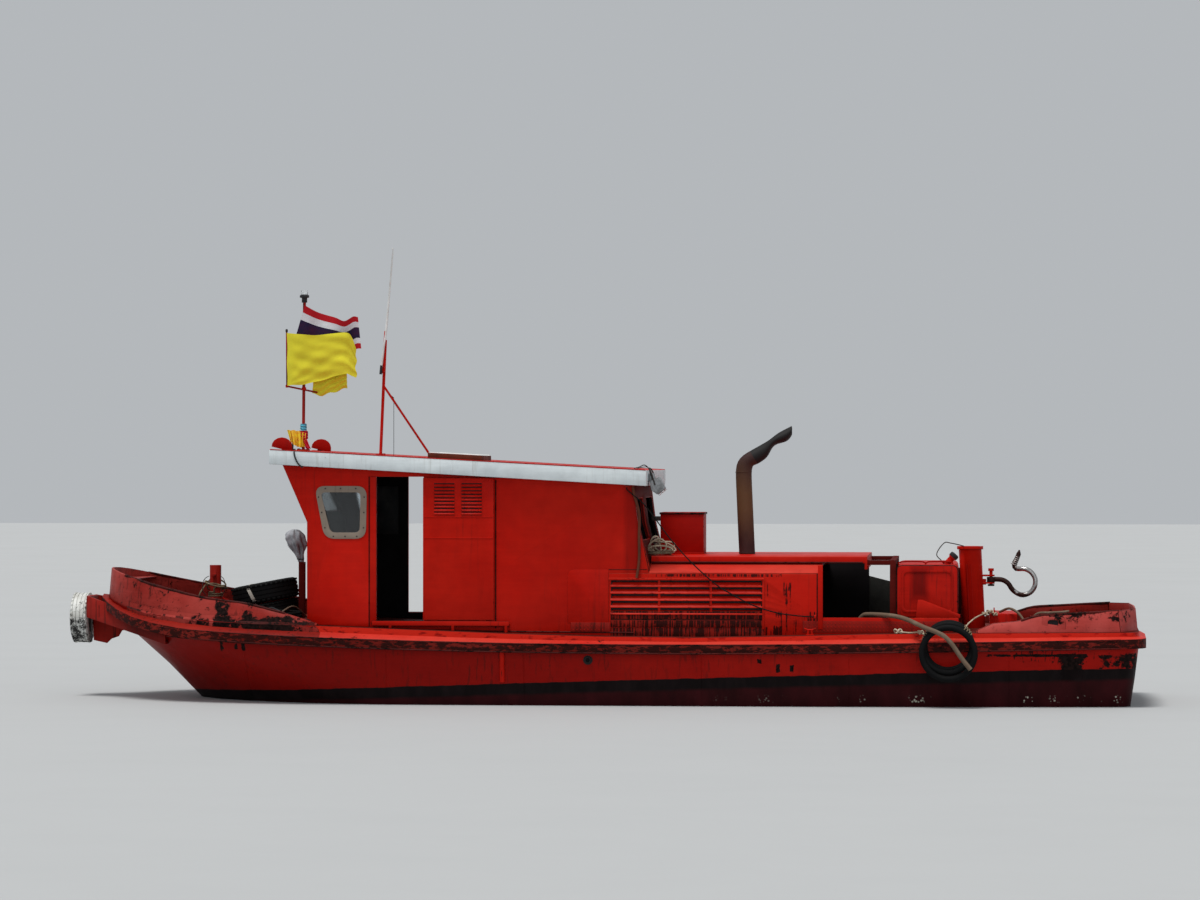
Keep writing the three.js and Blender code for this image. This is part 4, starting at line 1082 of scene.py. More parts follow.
UNDER_BELT = (
    Scar((-2.6, -1.75, 0.62), (1.2, 0.4, 0.16), 0.55), Scar((-5.2, -1.2, 0.80), (0.7, 0.8, 0.22), 0.6),
    Scar((2.2, -1.75, 0.60), (0.7, 0.4, 0.12), 0.55), Scar((5.2, -1.7, 0.60), (1.0, 0.5, 0.14), 0.7),
    Scar((5.2, 1.7, 0.60), (1.0, 0.5, 0.14), 0.7), Scar((-2.6, 1.75, 0.62), (1.4, 0.4, 0.16), 0.55)
)
FOOT_GRIME = tuple(
    Scar((x, WALL_FACE * side.value, z), reach, weight) for side in Side for x, z, reach, weight in (
        (1.2, 0.88, (1.9, 0.4, 0.12), 0.84), (-2.0, 0.87, (2.2, 0.4, 0.07), 0.60),
        (2.25, 0.98, (0.55, 0.4, 0.24), 0.76), (2.12, 1.28, (0.09, 0.4, 0.34), 0.80),
        (1.86, 1.30, (0.10, 0.4, 0.30), 0.70), (1.3, 1.545, (1.30, 0.4, 0.05), 0.90),
        (0.40, 1.70, (0.25, 0.3, 0.50), 0.55)
    )
)
TANK_MARKS = (Scar((3.67, -1.25, 1.44), (0.13, 0.2, 0.26), 1.0), Scar((3.67, 1.25, 1.44), (0.13, 0.2, 0.26), 1.0))
WALL_SHADES = (
    Scar((-0.55, -1.45, 1.7), (0.80, 0.5, 1.2), 0.16), Scar((-0.55, 1.45, 1.7), (0.80, 0.5, 1.2), 0.16),
    Scar((0.28, -1.45, 2.1), (0.12, 0.5, 0.8), 0.55)
)
FLAG_RED, FLAG_WHITE, FLAG_BLUE = (0.40, 0.008, 0.014), (0.60, 0.60, 0.63), (0.007, 0.009, 0.038)


class Finish(Enum):
    """Every finish on the boat, with the record's slot that it stands in."""

    # The hull's blot darkens its forward half: painted shade on the flared bow, whose sides face downwards.
    HULL = HullPaint(
        "hull_paint", tone=(0.315, 0.0045, 0.0020), faded=(0.38, 0.0070, 0.0030), chips=0.30, streaks=0.5,
        roughness=0.36, scars=HULL_SCARS, grime=UNDER_BELT, stain_and_shade_blots=(Scar((-7.5, 0.0, 0.5), (9.5, 4.0, 3.0), 0.60),)
    ), "hull_paint"
    # The belt's upright face: dark for grime and scuffs, and darker still as painted shade.
    BELT = WeatheredPaint(
        "belt_paint", tone=(0.130, 0.0065, 0.0035), faded=(0.190, 0.0150, 0.0100), chips=0.66, streaks=0.2,
        roughness=0.5, scuffs=1.0
    ), "hull_paint"
    # Brighter red for upward faces: a painted highlight. Its blot darkens it at the bow as painted shade.
    BELT_TOP = WeatheredPaint(
        "belt_top_paint", tone=(0.50, 0.020, 0.012), faded=(0.54, 0.045, 0.028), chips=0.50, streaks=0.0,
        stain_and_shade_blots=(Scar((-5.2, 0.0, 1.0), (2.2, 3.0, 0.9), 0.85),)
    ), "red_paint"
    EDGE = WeatheredPaint(
        "worn_edge_paint", tone=(0.045, 0.0050, 0.0040), faded=(0.090, 0.008, 0.006), chips=1.0, streaks=0.0,
        rust=(0.014, 0.007, 0.006)
    ), "red_paint"
    RED_EDGE = WeatheredPaint(
        "rubbed_edge_paint", tone=(0.26, 0.0060, 0.0030), faded=(0.60, 0.030, 0.012), chips=0.75, streaks=0.0
    ), "red_paint"
    BOW = WeatheredPaint(
        "bulwark_paint", tone=(0.220, 0.012, 0.008), faded=(0.36, 0.048, 0.038), chips=0.62, streaks=0.8,
        scars=BOW_SCARS, side_grime=0.50, scuffs=0.35
    ), "red_paint"
    STERN = WeatheredPaint(
        "stern_paint", tone=(0.34, 0.022, 0.015), faded=(0.44, 0.072, 0.062), chips=0.62, streaks=0.8,
        scars=STERN_SCARS, side_grime=0.45, scuffs=0.2
    ), "red_paint"
    RED = WeatheredPaint(
        "red_paint", chips=0.12, streaks=0.30, roughness=0.34, grime=FOOT_GRIME, stain_and_shade_blots=WALL_SHADES
    ), "red_paint"
    WORN_RED = WeatheredPaint("worn_red_paint", chips=0.38, streaks=0.8, side_grime=0.40), "red_paint"
    KICK = WeatheredPaint(
        "kick_paint", tone=(0.18, 0.006, 0.003), faded=(0.26, 0.012, 0.006), chips=0.50, streaks=0.9, side_grime=0.93,
        roughness=0.5
    ), "red_paint"
    TANK = WeatheredPaint(
        "tank_paint", tone=(0.38, 0.0050, 0.0020), chips=0.30, streaks=0.5, stain_and_shade_blots=TANK_MARKS
    ), "red_paint"
    # Near-black red: soot on the casing's aft frame and the bow stand, and painted shade on the wheelhouse's aft wall.
    SOOTY = WeatheredPaint(
        "sooty_paint", tone=(0.070, 0.004, 0.003), faded=(0.130, 0.008, 0.005), chips=0.45, roughness=0.75
    ), "red_paint"
    BOX = WeatheredPaint(
        "box_paint", tone=(0.30, 0.003, 0.001), faded=(0.36, 0.006, 0.002), chips=0.34, streaks=0.4, side_grime=0.3
    ), "red_paint"
    # The knee's blot darkens its aft end, where it meets the hull's bow: painted shade.
    KNEE = WeatheredPaint(
        "knee_paint", tone=(0.24, 0.009, 0.005), faded=(0.30, 0.016, 0.011), chips=0.40, streaks=0.9, side_grime=0.5,
        stain_and_shade_blots=(Scar((-5.55, 0.0, 0.95), (0.55, 2.0, 0.8), 1.0),)
    ), "red_paint"
    DECK = WeatheredPaint(
        "deck_paint", tone=(0.075, 0.006, 0.004), faded=(0.125, 0.015, 0.010), chips=0.45, roughness=0.6
    ), "red_paint"
    WHITE = WeatheredPaint(
        "white_paint", tone=(0.60, 0.65, 0.67), faded=(0.72, 0.77, 0.78), chips=0.24, streaks=0.45,
        stain=(0.30, 0.27, 0.23), rust=(0.10, 0.05, 0.035), roughness=0.45
    ), "white_paint"
    FRAME = WeatheredPaint(
        "window_frame_paint", tone=(0.24, 0.19, 0.15), faded=(0.30, 0.25, 0.20), chips=0.3, stain=(0.10, 0.07, 0.05)
    ), "white_paint"
    # Near-black for the insides of the hull, wheelhouse and casing, the engine in there, and sheets and strips behind
    # openings: painted shade.
    INNER = WeatheredPaint(
        "engine_room_paint", tone=(0.010, 0.009, 0.010), faded=(0.018, 0.016, 0.017), chips=0.3,
        stain=(0.006, 0.005, 0.005), roughness=0.6
    ), "dark_steel"
    STEEL = WornSteel("dark_steel", share=0.9), "dark_steel"
    HOOK = WornSteel(
        "hook_steel", bright=(0.42, 0.41, 0.40), dull=(0.034, 0.015, 0.012), share=0.95, roughness=(0.22, 0.6),
        rubbed=Scar((4.99, 0.0, 1.46), (0.21, 0.2, 0.21), 0.75)
    ), "hook_steel"
    EXHAUST = HeatedSteel("heated_steel"), "rusty_steel"
    BURNT = WornSteel(
        "burnt_steel", bright=(0.030, 0.026, 0.020), dull=(0.007, 0.006, 0.006), share=0.9, metal=0.3
    ), "dark_steel"
    TYRE = Rubber("tyre_rubber"), "tyre_rubber"
    HOSE = Rubber("hose_rubber", tone=(0.135, 0.090, 0.062), dust=(0.26, 0.20, 0.15)), "hose_rubber"
    PAINTED_TYRE = PaintedRubber("painted_tyre"), "painted_tyre"
    PALE_ROPE = Fibre("pale_rope", (0.56, 0.46, 0.34), (0.30, 0.23, 0.16)), "pale_rope"
    OLD_ROPE = Fibre("old_rope", (0.22, 0.165, 0.10), (0.10, 0.075, 0.05)), "pale_rope"
    BLACK_ROPE = Fibre("black_rope", (0.006, 0.006, 0.006), (0.014, 0.012, 0.011)), "black_rope"
    STRAP = Fibre("white_strap", (0.60, 0.57, 0.50), (0.34, 0.31, 0.26)), "pale_rope"
    WRAP = Plain("wrap_plastic", (0.40, 0.41, 0.44), (0.060, 0.050, 0.050), (0.35, 0.7), 0.95, 9), "wrap_plastic"
    GLASS = Plain("window_glass", (0.72, 0.77, 0.79), (0.45, 0.46, 0.44), (0.02, 0.06), 0.12, 5, clear=1.0), "glass"
    LENS = Plain("lamp_lens", (0.90, 0.93, 0.95), (0.70, 0.72, 0.70), (0.05, 0.15), 0.4, 9, clear=0.9), "glass"
    WOOD = Plain(
        "varnished_wood", (0.22, 0.10, 0.045), (0.080, 0.034, 0.015), (0.25, 0.45), 0.9, 5, grain=(1, 9, 1)
    ), "wood"
    BRONZE = Plain("bronze", (0.42, 0.25, 0.09), (0.10, 0.13, 0.08), (0.3, 0.6), 0.6, 8, 0.9), "bronze"
    GREY = Plain("grey_metal", (0.26, 0.27, 0.28), (0.045, 0.042, 0.040), (0.3, 0.55), 0.9, 14, 0.4), "grey_metal"
    BLACK = Plain("black_plastic", (0.018, 0.018, 0.020), (0.075, 0.070, 0.065), (0.35, 0.6), 0.5), "dark_steel"
    PALE = Plain("pale_plastic", (0.66, 0.67, 0.66), (0.30, 0.28, 0.25), (0.35, 0.6), 0.5), "grey_metal"
    PIPE = Plain("brown_pipe", (0.115, 0.028, 0.012), (0.045, 0.016, 0.010), (0.5, 0.8), 0.9, 6), "hose_rubber"
    SLATE = Plain("slate_board", (0.030, 0.031, 0.027), (0.010, 0.010, 0.009), (0.6, 0.85), 0.9, 4), "red_paint"
    BRIGHT = WornSteel("bright_steel", bright=(0.50, 0.47, 0.45), dull=(0.09, 0.05, 0.05), share=0.0), "hook_steel"
    GUSSET = WeatheredPaint("gusset_paint", tone=(0.50, 0.012, 0.006), chips=0.10, streaks=0.1), "red_paint"
    CHEQUER = WeatheredPaint("chequer_paint", tone=(0.48, 0.010, 0.005), chips=0.20, side_grime=0.25), "red_paint"
    CELLS = Plain("solar_glass", (0.012, 0.018, 0.040), (0.060, 0.062, 0.070), (0.10, 0.25), 0.5, 6), "solar_glass"
    FLAG = Cloth(
        "flag_cloth", tone=FLAG_RED, size=(0.82, 0.56),
        bands=((0.0, FLAG_RED), (1 / 6, FLAG_WHITE), (2 / 6, FLAG_BLUE), (4 / 6, FLAG_WHITE), (5 / 6, FLAG_RED))
    ), "flag_cloth"
    YELLOW = Cloth("yellow_cloth", size=(0.9, 0.6)), "yellow_cloth"
    GOLD = Cloth("gold_cloth", size=(0.5, 0.4), tone=(0.90, 0.74, 0.04), blend=(0.88, 0.50, 0.06)), "yellow_cloth"
    SCARLET = Cloth("scarlet_cloth", size=(0.5, 0.3), tone=(0.50, 0.012, 0.030)), "yellow_cloth"
    SKY = Cloth("sky_cloth", size=(0.5, 0.1), tone=(0.10, 0.42, 0.55)), "yellow_cloth"

    @property
    def slot(self) -> str:
        """The record's material slot."""
        return self.value[1]

    @property
    def material(self) -> bpy.types.Material:
        """The material, made when it is first asked for.

        Returns:
            The material.
        """
        if self not in MADE:
            MADE[self] = self.value[0].make()
        return MADE[self]


MADE: dict[Finish, bpy.types.Material] = {}


# ---------------------------------------------------------------- lines, hoses and cloth


@dataclass(frozen=True)
class Line:
    """A rope, cable or hose on its route.

    Strands above 0 give it the twisted surface of laid rope, with one turn in each lay.
    """

    name: str
    points: Sequence[Point]
    diameter: float
    step: float = 0.02
    strands: int = 0
    lay: float = 0.09
    sides: int = 12

    def route(self) -> list[Vector]:
        """The smooth route in even steps."""
        return smooth(self.points, self.step)

    def length(self) -> float:
        """The route's length."""
        rows = self.route()
        return sum((b - a).length for a, b in zip(rows, rows[1:]))

    def radius(self, turn: float) -> float:
        """Distance of the surface from the centre line at an angle round it.

        Args:
            turn: The angle in radians.

        Returns:
            The distance.
        """
        if not self.strands:
            return self.diameter / 2
        lobe = abs(math.cos(self.strands * turn / 2))
        return self.diameter / 2 * (0.78 + 0.22 * lobe**0.7)

    def build(self) -> Piece:
        """The line's closed mesh, ring by ring along its route.

        Returns:
            The mesh.
        """
        rows = self.route()
        sides = 18 if self.strands else self.sides
        made = bmesh.new()
        across, run, before, loops = None, 0.0, rows[0], []
        for k, row in enumerate(rows):
            ahead = (rows[min(k + 1, len(rows) - 1)] - rows[max(k - 1, 0)]).normalized()
            if across is None:
                across = ahead.cross(Vector((0, 0, 1)) if abs(ahead.z) < 0.9 else Vector((1, 0, 0)))
            across = (across - ahead * across.dot(ahead)).normalized()
            other = ahead.cross(across)
            run += (row - before).length
            before = row
            spin = math.tau * run / self.lay if self.strands else 0.0
            loop = []
            for i in range(sides):
                turn = math.tau * i / sides
                far = self.radius(turn - spin)
                loop.append(made.verts.new(row + far * (math.cos(turn) * across + math.sin(turn) * other)))
            loops.append(loop)
        for one, two in zip(loops, loops[1:]):
            for i in range(sides):
                made.faces.new((one[i], one[(i + 1) % sides], two[(i + 1) % sides], two[i]))
        made.faces.new(loops[0])
        made.faces.new(reversed(loops[-1]))
        bmesh.ops.recalc_face_normals(made, faces=made.faces)
        data = bpy.data.meshes.new(self.name)
        made.to_mesh(data)
        made.free()
        piece = bpy.data.objects.new(self.name, data)
        bpy.context.scene.collection.objects.link(piece)
        return soften(piece, 0, angle=60)


@dataclass(frozen=True)
class Fabric:
    """A cloth between two edges, with folds that swell away from where it is held."""

    name: str
    top: Sequence[Point]
    bottom: Sequence[Point]
    folds: Callable[[float, float], Vector]
    across: int = 70
    down: int = 40

    @staticmethod
    def along(edge: Sequence[Point], share: float) -> Vector:
        """The point at a share of an edge's length.

        Args:
            edge: Points of the edge.
            share: Share, from 0 to 1.

        Returns:
            The point.
        """
        rows = smooth(edge, 0.02)
        runs = [0.0]
        for a, b in zip(rows, rows[1:]):
            runs.append(runs[-1] + (b - a).length)
        goal = share * runs[-1]
        for k in range(len(rows) - 1):
            if runs[k + 1] >= goal:
                part = (goal - runs[k]) / max(runs[k + 1] - runs[k], 1e-9)
                return rows[k].lerp(rows[k + 1], part)
        return rows[-1]

    def build(self) -> Piece:
        """The cloth's mesh: a grid whose corners are laid along the two edges, 1.2 mm thick.

        Returns:
            The mesh.
        """
        clear()
        bpy.ops.mesh.primitive_grid_add(x_subdivisions=self.across, y_subdivisions=self.down, size=2)
        piece = named(self.name)
        high = [self.along(self.top, k / self.across) for k in range(self.across + 1)]
        low = [self.along(self.bottom, k / self.across) for k in range(self.across + 1)]
        for corner in piece.data.vertices:
            u, v = (corner.co.x + 1) / 2, (corner.co.y + 1) / 2
            k = round(u * self.across)
            corner.co = low[k].lerp(high[k], v) + self.folds(u, v)
        apply(piece, "SOLIDIFY", thickness=0.0012, offset=0)
        return soften(piece, 0, angle=60)


def level(table: Sequence[Flat], x: float) -> float:
    """The value at x between the points of a table.

    Args:
        table: Pairs of x and value, in order.
        x: Where it is read.

    Returns:
        The value.
    """
    for (a, low), (b, high) in zip(table, table[1:]):
        if x <= b:
            return low + (high - low) * max(0.0, x - a) / (b - a)
    return table[-1][1]


def loop_rows(middle: Point, radius: float, turns: float, pitch: Point, view: View, start: float = 0.0) -> list[Point]:
    """Points of a coil.

    Args:
        middle: Middle of its first turn.
        radius: Radius of its turns.
        turns: How many turns it has.
        pitch: How far the middle moves in one turn.
        view: View in which it looks round.
        start: Angle in degrees at which it starts.

    Returns:
        The coil's points, 16 a turn.
    """
    rows = []
    for k in range(round(turns * 16) + 1):
        share = k / 16
        angle = math.radians(start) + math.tau * share
        swell = 1 + 0.035 * math.sin(2.3 * angle)
        flat = view.place(radius * swell * math.cos(angle), radius * math.sin(angle), 0)
        rows.append(tuple(Vector(middle) + flat + Vector(pitch) * share))
    return rows


# ---------------------------------------------------------------- sub-assemblies


@dataclass
class Assembly:
    """One part of the boat. It builds, dresses and hangs its own pieces."""

    nodes: dict[str, Piece]

    def put(self, piece: Piece, finish: Finish, body: str = HULL, slot: str = "") -> Piece:
        """Give a piece its finish and hang it on a body.

        Args:
            piece: The piece.
            finish: Its finish.
            body: The body it moves with.
            slot: The record's material slot, if not the finish's own; not used.

        Returns:
            The piece.
        """
        piece.data.materials.clear()
        piece.data.materials.append(finish.material)
        LOG.info("%s: %s on %s, %d faces", type(self).__name__, piece.name, body, len(piece.data.polygons))
        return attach(piece, body)

    def refit(
        self, node: str, finish: Finish, bevel: float = 0.004, body: str = HULL, angle: float = 38,
        edge: Finish | None = None, slot: str = ""
    ) -> Piece:
        """Show a refitted copy in a solid's place.

        Args:
            node: The solid's name.
            finish: Its finish.
            bevel: Width of its rounded edges.
            body: The body it moves with.
            angle: Sharpest turn in degrees that is still smooth.
            edge: Finish of its worn edges.
            slot: The record's material slot, if not the finish's own.

        Returns:
            The copy.
        """
        piece = refitted(self.nodes[node], f"{node}_shell", bevel, angle, 1 if edge else -1)
        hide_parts(node)
        marks = [face.material_index for face in piece.data.polygons]
        self.put(piece, finish, body, slot)
        if edge:
            piece.data.materials.append(edge.material)
            for face, mark in zip(piece.data.polygons, marks):
                face.material_index = mark
        return piece

    def line(
        self, line: Line, finish: Finish, far_end: str = "object", stiffness: str = "medium", lay: str = "loose",
        replaces: str = "", slot: str = ""
    ) -> None:
        """Args:
            line: The line.
            finish: Its finish.
            far_end: What its far end is; not used.
            stiffness: How stiff it is; not used.
            lay: How it lies; not used.
            replaces: The solid it stands for.
            slot: The record's material slot, if not the finish's own.
        """
        piece = self.put(line.build(), finish, slot=slot)
        if replaces:
            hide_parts(replaces)
        line.length()
        line.route()
        LOG.info("%s: %.3f m of line", line.name, line.length())

    def repaint(self, piece: Piece, finish: Finish, where: Callable[[Vector, Vector], bool]) -> None:
        """Give another finish to the faces whose centre and normal pass a test.

        Args:
            piece: The mesh.
            finish: The other finish.
            where: The test.
        """
        piece.data.materials.append(finish.material)
        index = len(piece.data.materials) - 1
        for face in piece.data.polygons:
            if where(face.center, face.normal):
                face.material_index = index

    def outline(self, piece: Piece) -> Piece:
        """Tarry edges round plates that lie on the boat's sides."""
        self.repaint(piece, Finish.EDGE, lambda centre, normal: abs(normal.y) < 0.65)
        return piece

    def touch(self, node: str, start: Point, aim: Point) -> Vector:
        """The point where a ray first meets a solid.

        Args:
            node: The solid's name.
            start: Start of the ray.
            aim: Its direction.

        Returns:
            The point.
        """
        if node not in TREES:
            data = self.nodes[node].data
            TREES[node] = BVHTree.FromPolygons([v.co for v in data.vertices], [list(f.vertices) for f in data.polygons])
        spot = TREES[node].ray_cast(Vector(start), Vector(aim))[0]
        return spot if spot is not None else Vector(start)

    def skin(self, x: float, z: float, side: Side = Side.PORT, node: str = "hull", lift: float = 0.0) -> Vector:
        """The point on a solid's outer side at x and z, raised a little off it."""
        spot = self.touch(node, (x, side.value * RAY_START, z), (0, -side.value, 0))
        return spot + Vector((0, side.value * lift, 0))


@dataclass
class Lines(Assembly):
    """The slack black line, the discharge hose and the coil of pale rope."""

    def build(self) -> None:
        """Lay the lines whose routes the solids also follow."""
        slack = [
            (0.222, -1.48, 2.5777), (0.222, -1.48, 2.548), (0.27, -1.484, 2.505), (0.419, -1.486, 2.38),
            (0.56, -1.487, 2.2), (0.745, -1.488, 1.954), (0.978, -1.488, 1.696), (1.263, -1.489, 1.439),
            (1.47, -1.489, 1.31), (1.655, -1.489, 1.211), (1.833, -1.488, 1.141), (2.033, -1.486, 1.089),
            (2.24, -1.482, 1.062), (2.4, -1.479, 1.05), (2.4337, -1.479, 1.05)
        ]
        self.line(
            Line("slack_black_line", slack, 0.015, 0.012, strands=3, lay=0.055), Finish.BLACK_ROPE, lay="hanging",
            replaces="slack_line"
        )
        bend = [
            (2.94 + 0.158 * (1 - math.cos(t)) * 0.72, -1.15 - 0.158 * (1 - math.cos(t)) * 0.694,
             0.9143 + 0.158 * math.sin(t))
            for t in (math.radians(22.5 * k) for k in range(5))
        ]
        hose = [
            (2.94, -1.15, 0.8723), *bend, (3.23, -1.43, 1.074), (3.4, -1.56, 1.06), (3.54, -1.69, 1.025),
            (3.64, -1.83, 0.985), (3.74, -1.96, 0.945), (3.85, -2.0, 0.905), (3.96, -2.0, 0.85), (4.05, -2.0, 0.76),
            (4.167, -2.0, 0.59), (4.27, -2.0, 0.461)
        ]
        self.line(
            Line("discharge_hose_line", hose, 0.054, 0.02, sides=20), Finish.HOSE, far_end="bare", lay="hanging",
            replaces="discharge_hose"
        )
        self.rope_heap()
        neck = self.skin(-3.74, 2.9, node="wheelhouse_roof")
        roof = self.touch("wheelhouse_roof", (-3.74, -1.5, 4), (0, 0, -1))
        sag = [
            tuple(roof + Vector((-0.02, 0.06, 0.006))), tuple(roof + Vector((0.0, -0.04, 0.014))),
            (-3.738, neck.y - 0.018, neck.z + 0.08), (-3.715, neck.y - 0.022, neck.z + 0.005),
            (-3.680, neck.y - 0.020, neck.z - 0.055), (-3.640, neck.y + 0.004, neck.z - 0.088)
        ]
        self.line(
            Line("roof_cable", sag, 0.019, 0.008), Finish.BLACK, far_end="bare", stiffness="stiff", slot="black_rope"
        )

    def rope_heap(self) -> None:
        """The tangle of pale rope on the casing's shoulder, and the older rope under it."""
        bights = (
            (0.155, 0.034, 0.05, 0.575, 1.812), (0.128, 0.098, 0.95, 0.540, 1.875), (0.165, 0.055, -0.22, 0.600, 1.845),
            (0.062, 0.118, 0.22, 0.505, 1.888), (0.142, 0.070, 0.32, 0.610, 1.862), (0.105, 0.048, -0.55, 0.650, 1.838),
            (0.150, 0.032, 0.12, 0.580, 1.806)
        )
        heap = []
        for k in range(6 * 18 + 1):
            turn, part = divmod(k / 18, 1)
            pair = zip(bights[int(turn)], bights[min(int(turn) + 1, len(bights) - 1)])
            wide, tall, lean, x, z = (a + (b - a) * part for a, b in pair)
            angle = math.tau * part
            u, v = wide * math.cos(angle), tall * math.sin(angle)
            heap.append((
                x + u * math.cos(lean) - v * math.sin(lean), -0.985 + 0.0012 * k + 0.016 * math.sin(2 * angle + 1),
                z + u * math.sin(lean) * 0.6 + v * math.cos(lean)
            ))
        self.line(
            Line("pale_rope_coil", heap, 0.020, 0.008, strands=3, lay=0.062), Finish.PALE_ROPE, far_end="bare",
            stiffness="limp", lay="coiled", replaces="rope_coil"
        )
        under = loop_rows((0.560, -0.99, 1.772), 0.150, 2.2, (0.012, 0.012, 0.0215), View.TOP, 20)
        self.line(
            Line("old_rope_coil", under, 0.020, 0.008, strands=3, lay=0.06), Finish.OLD_ROPE, far_end="bare",
            stiffness="limp", lay="coiled"
        )


@dataclass
class Hull(Assembly):
    """Hull, belt and bulwarks, with their seams, mouldings, stiffeners and fittings."""

    seams: tuple[float, ...] = (-4.35, -2.62, -0.98, 1.12, 2.85, 4.72)
    bead: float = 0.004
    well: tuple[float, float, float] = (0.15, 2.85, 0.9)
    cheek_foot: tuple[Flat, ...] = ((-5.90, 1.075), (-5.40, 0.965), (-4.83, 0.885), (-4.25, 0.862), (-3.42, 0.853))
    cheek_head: tuple[Flat, ...] = (
        (-5.90, 1.19), (-5.40, 1.10), (-4.83, 1.05), (-4.25, 1.04), (-3.636, 1.022), (-3.465, 0.954), (-3.42, 0.885)
    )

    def shells(self) -> None:
        """The refitted solids of the hull and its rails."""
        hull = self.refit("hull", Finish.HULL, 0.0, angle=32)
        self.repaint(hull, Finish.DECK, lambda c, n: n.z > 0.7 and c.z > 0.6)
        low, high, half = self.well
        # Faces inside the engine room's well take the near-black painted shade.
        self.repaint(
            hull, Finish.INNER,
            lambda c, n: low < c.x < high and abs(c.y) < half + 0.02 and -0.5 < c.z < 0.82 and (n.z < 0.7 or c.z < 0.6)
        )
        belt = self.refit("fender_belt", Finish.BELT, 0.015, angle=40, edge=Finish.EDGE)
        # The belt's upward faces take the painted highlight.
        self.repaint(belt, Finish.BELT_TOP, lambda c, n: n.z > 0.8)
        # Upward faces of the belt at the bow take the dark kick paint: painted shade.
        self.repaint(belt, Finish.KICK, lambda c, n: n.z > 0.55 and c.x < -3.43)
        self.refit("bow_bulwark", Finish.BOW, 0.009, angle=30, edge=Finish.EDGE)
        self.refit("stern_bulwark", Finish.STERN, 0.009, angle=30, edge=Finish.EDGE)

    def welds(self) -> None:
        """Plate seams down the topsides, as low beads."""
        beads = []
        for k, x in enumerate(self.seams):
            for side in Side:
                rows = [self.skin(x, 0.60 - 0.03 * i, side, lift=-0.001) for i in range(19)]
                beads.append(bar(f"seam_{k}_{side.name}", rows, self.bead, 6))
        self.put(join("hull_seams", beads), Finish.HULL)

    def belt_lines(self) -> None:
        """Rounded dark lips along the belt's upper and lower edges: tarry wear, and along the lower edge also painted
        shadow under the belt.
        """
        cube, square, slope, middle = BELT_MIDDLE
        bars = []
        for side in Side:
            for step in (1, -1):
                rows = []
                for k in range(43):
                    x = -5.90 + 0.2905 * k
                    z = middle + slope * x + square * x * x + cube * x**3
                    spot = self.skin(x, z + step * 0.035, side, "fender_belt")
                    if abs(spot.y) < HIT_LIMIT:
                        rows.append((x, spot.y - side.value * 0.004, z + step * 0.050))
                bars.append(bar(f"belt_lip_{side.name}_{step}", smooth(rows, 0.1), 0.0085, 8))
        # The dark lips are tarry wear, and the lower one also paints the shadow under the belt.
        self.put(join("belt_lips", bars), Finish.EDGE, slot="hull_paint")

    def rim(self, name: str, node: str, tops: Sequence[Flat], radius: float = 0.017) -> None:
        """Round bars along both top edges of a bulwark.

        Args:
            name: The bars' name.
            node: The bulwark's solid.
            tops: Points of the edge as x and z.
            radius: Radius of the bar.
        """
        bars = []
        for side in Side:
            rows = []
            for x, z in tops:
                outer = self.skin(x, z - 0.012, side, node)
                rows.append((x, outer.y - side.value * 0.013, z - 0.004))
            bars.append(bar(f"{name}_{side.name}", smooth(rows, 0.08), radius, 10))
        self.put(join(name, bars), Finish.EDGE)

    def stiffeners(self) -> None:
        """Triangular brackets between the deck and the inside of the bulwarks."""
        plates = []
        runs = (
            ("bow_bulwark", [-5.55, -5.15, -4.75, -4.35, -3.95, -3.60], 1.02),
            ("stern_bulwark", [4.62, 5.02, 5.42, 5.82], 0.96)
        )
        for node, places, mid in runs:
            for x in places:
                top = self.touch(node, (x, self.skin(x, mid + 0.02, Side.PORT, node).y + 0.013, 3), (0, 0, -1)).z
                floor = self.touch("hull", (x, -0.9, 2.2), (0, 0, -1)).z
                for side in Side:
                    wall = self.touch(node, (x, 0, (floor + top) / 2), (0, side.value, 0)).y
                    if abs(wall) < 0.3:
                        continue
                    rows = [
                        (wall, top - 0.05), (wall, floor - 0.002), (wall - side.value * 0.15, floor - 0.002),
                        (wall - side.value * 0.15, floor + 0.04), (wall - side.value * 0.03, top - 0.05)
                    ]
                    plates.append(plate(f"bracket_{x:.0f}", rows, View.FRONT, (x - 0.005, x + 0.005)))
        self.put(join("bulwark_brackets", plates), Finish.BOW)

    def cheek(self, side: Side) -> Piece:
        """The plate that laps the bow bulwark over the hull's side, blunt at its aft end.

        Args:
            side: Side of the boat.

        Returns:
            The plate.
        """
        clear()
        bpy.ops.mesh.primitive_grid_add(x_subdivisions=72, y_subdivisions=6, size=2)
        piece = named("bow_cheek")
        for corner in piece.data.vertices:
            x = -5.90 + 2.48 * (corner.co.x + 1) / 2
            low, high = level(self.cheek_foot, x), level(self.cheek_head, x)
            z = low + (high - low) * (corner.co.y + 1) / 2
            walls = [abs(self.skin(x, z, side, node).y) for node in ("hull", "bow_bulwark")]
            corner.co = (x, side.value * (max([w for w in walls if w < HIT_LIMIT] or [1.5]) + 0.003), z)
        apply(piece, "SOLIDIFY", thickness=0.007, offset=0)
        return outward(piece)

    def fittings(self) -> None:
        """Overboard pipe, guard bar and the doubler plates aft."""
        spot = self.skin(-0.218, 0.543)
        profile = [(0.026, -0.02), (0.026, 0.03), (0.034, 0.03), (0.036, 0.008), (0.055, 0.006), (0.055, -0.02)]
        self.put(turned("overboard_pipe", profile, spot, (0, -1, 0), 24), Finish.BURNT)
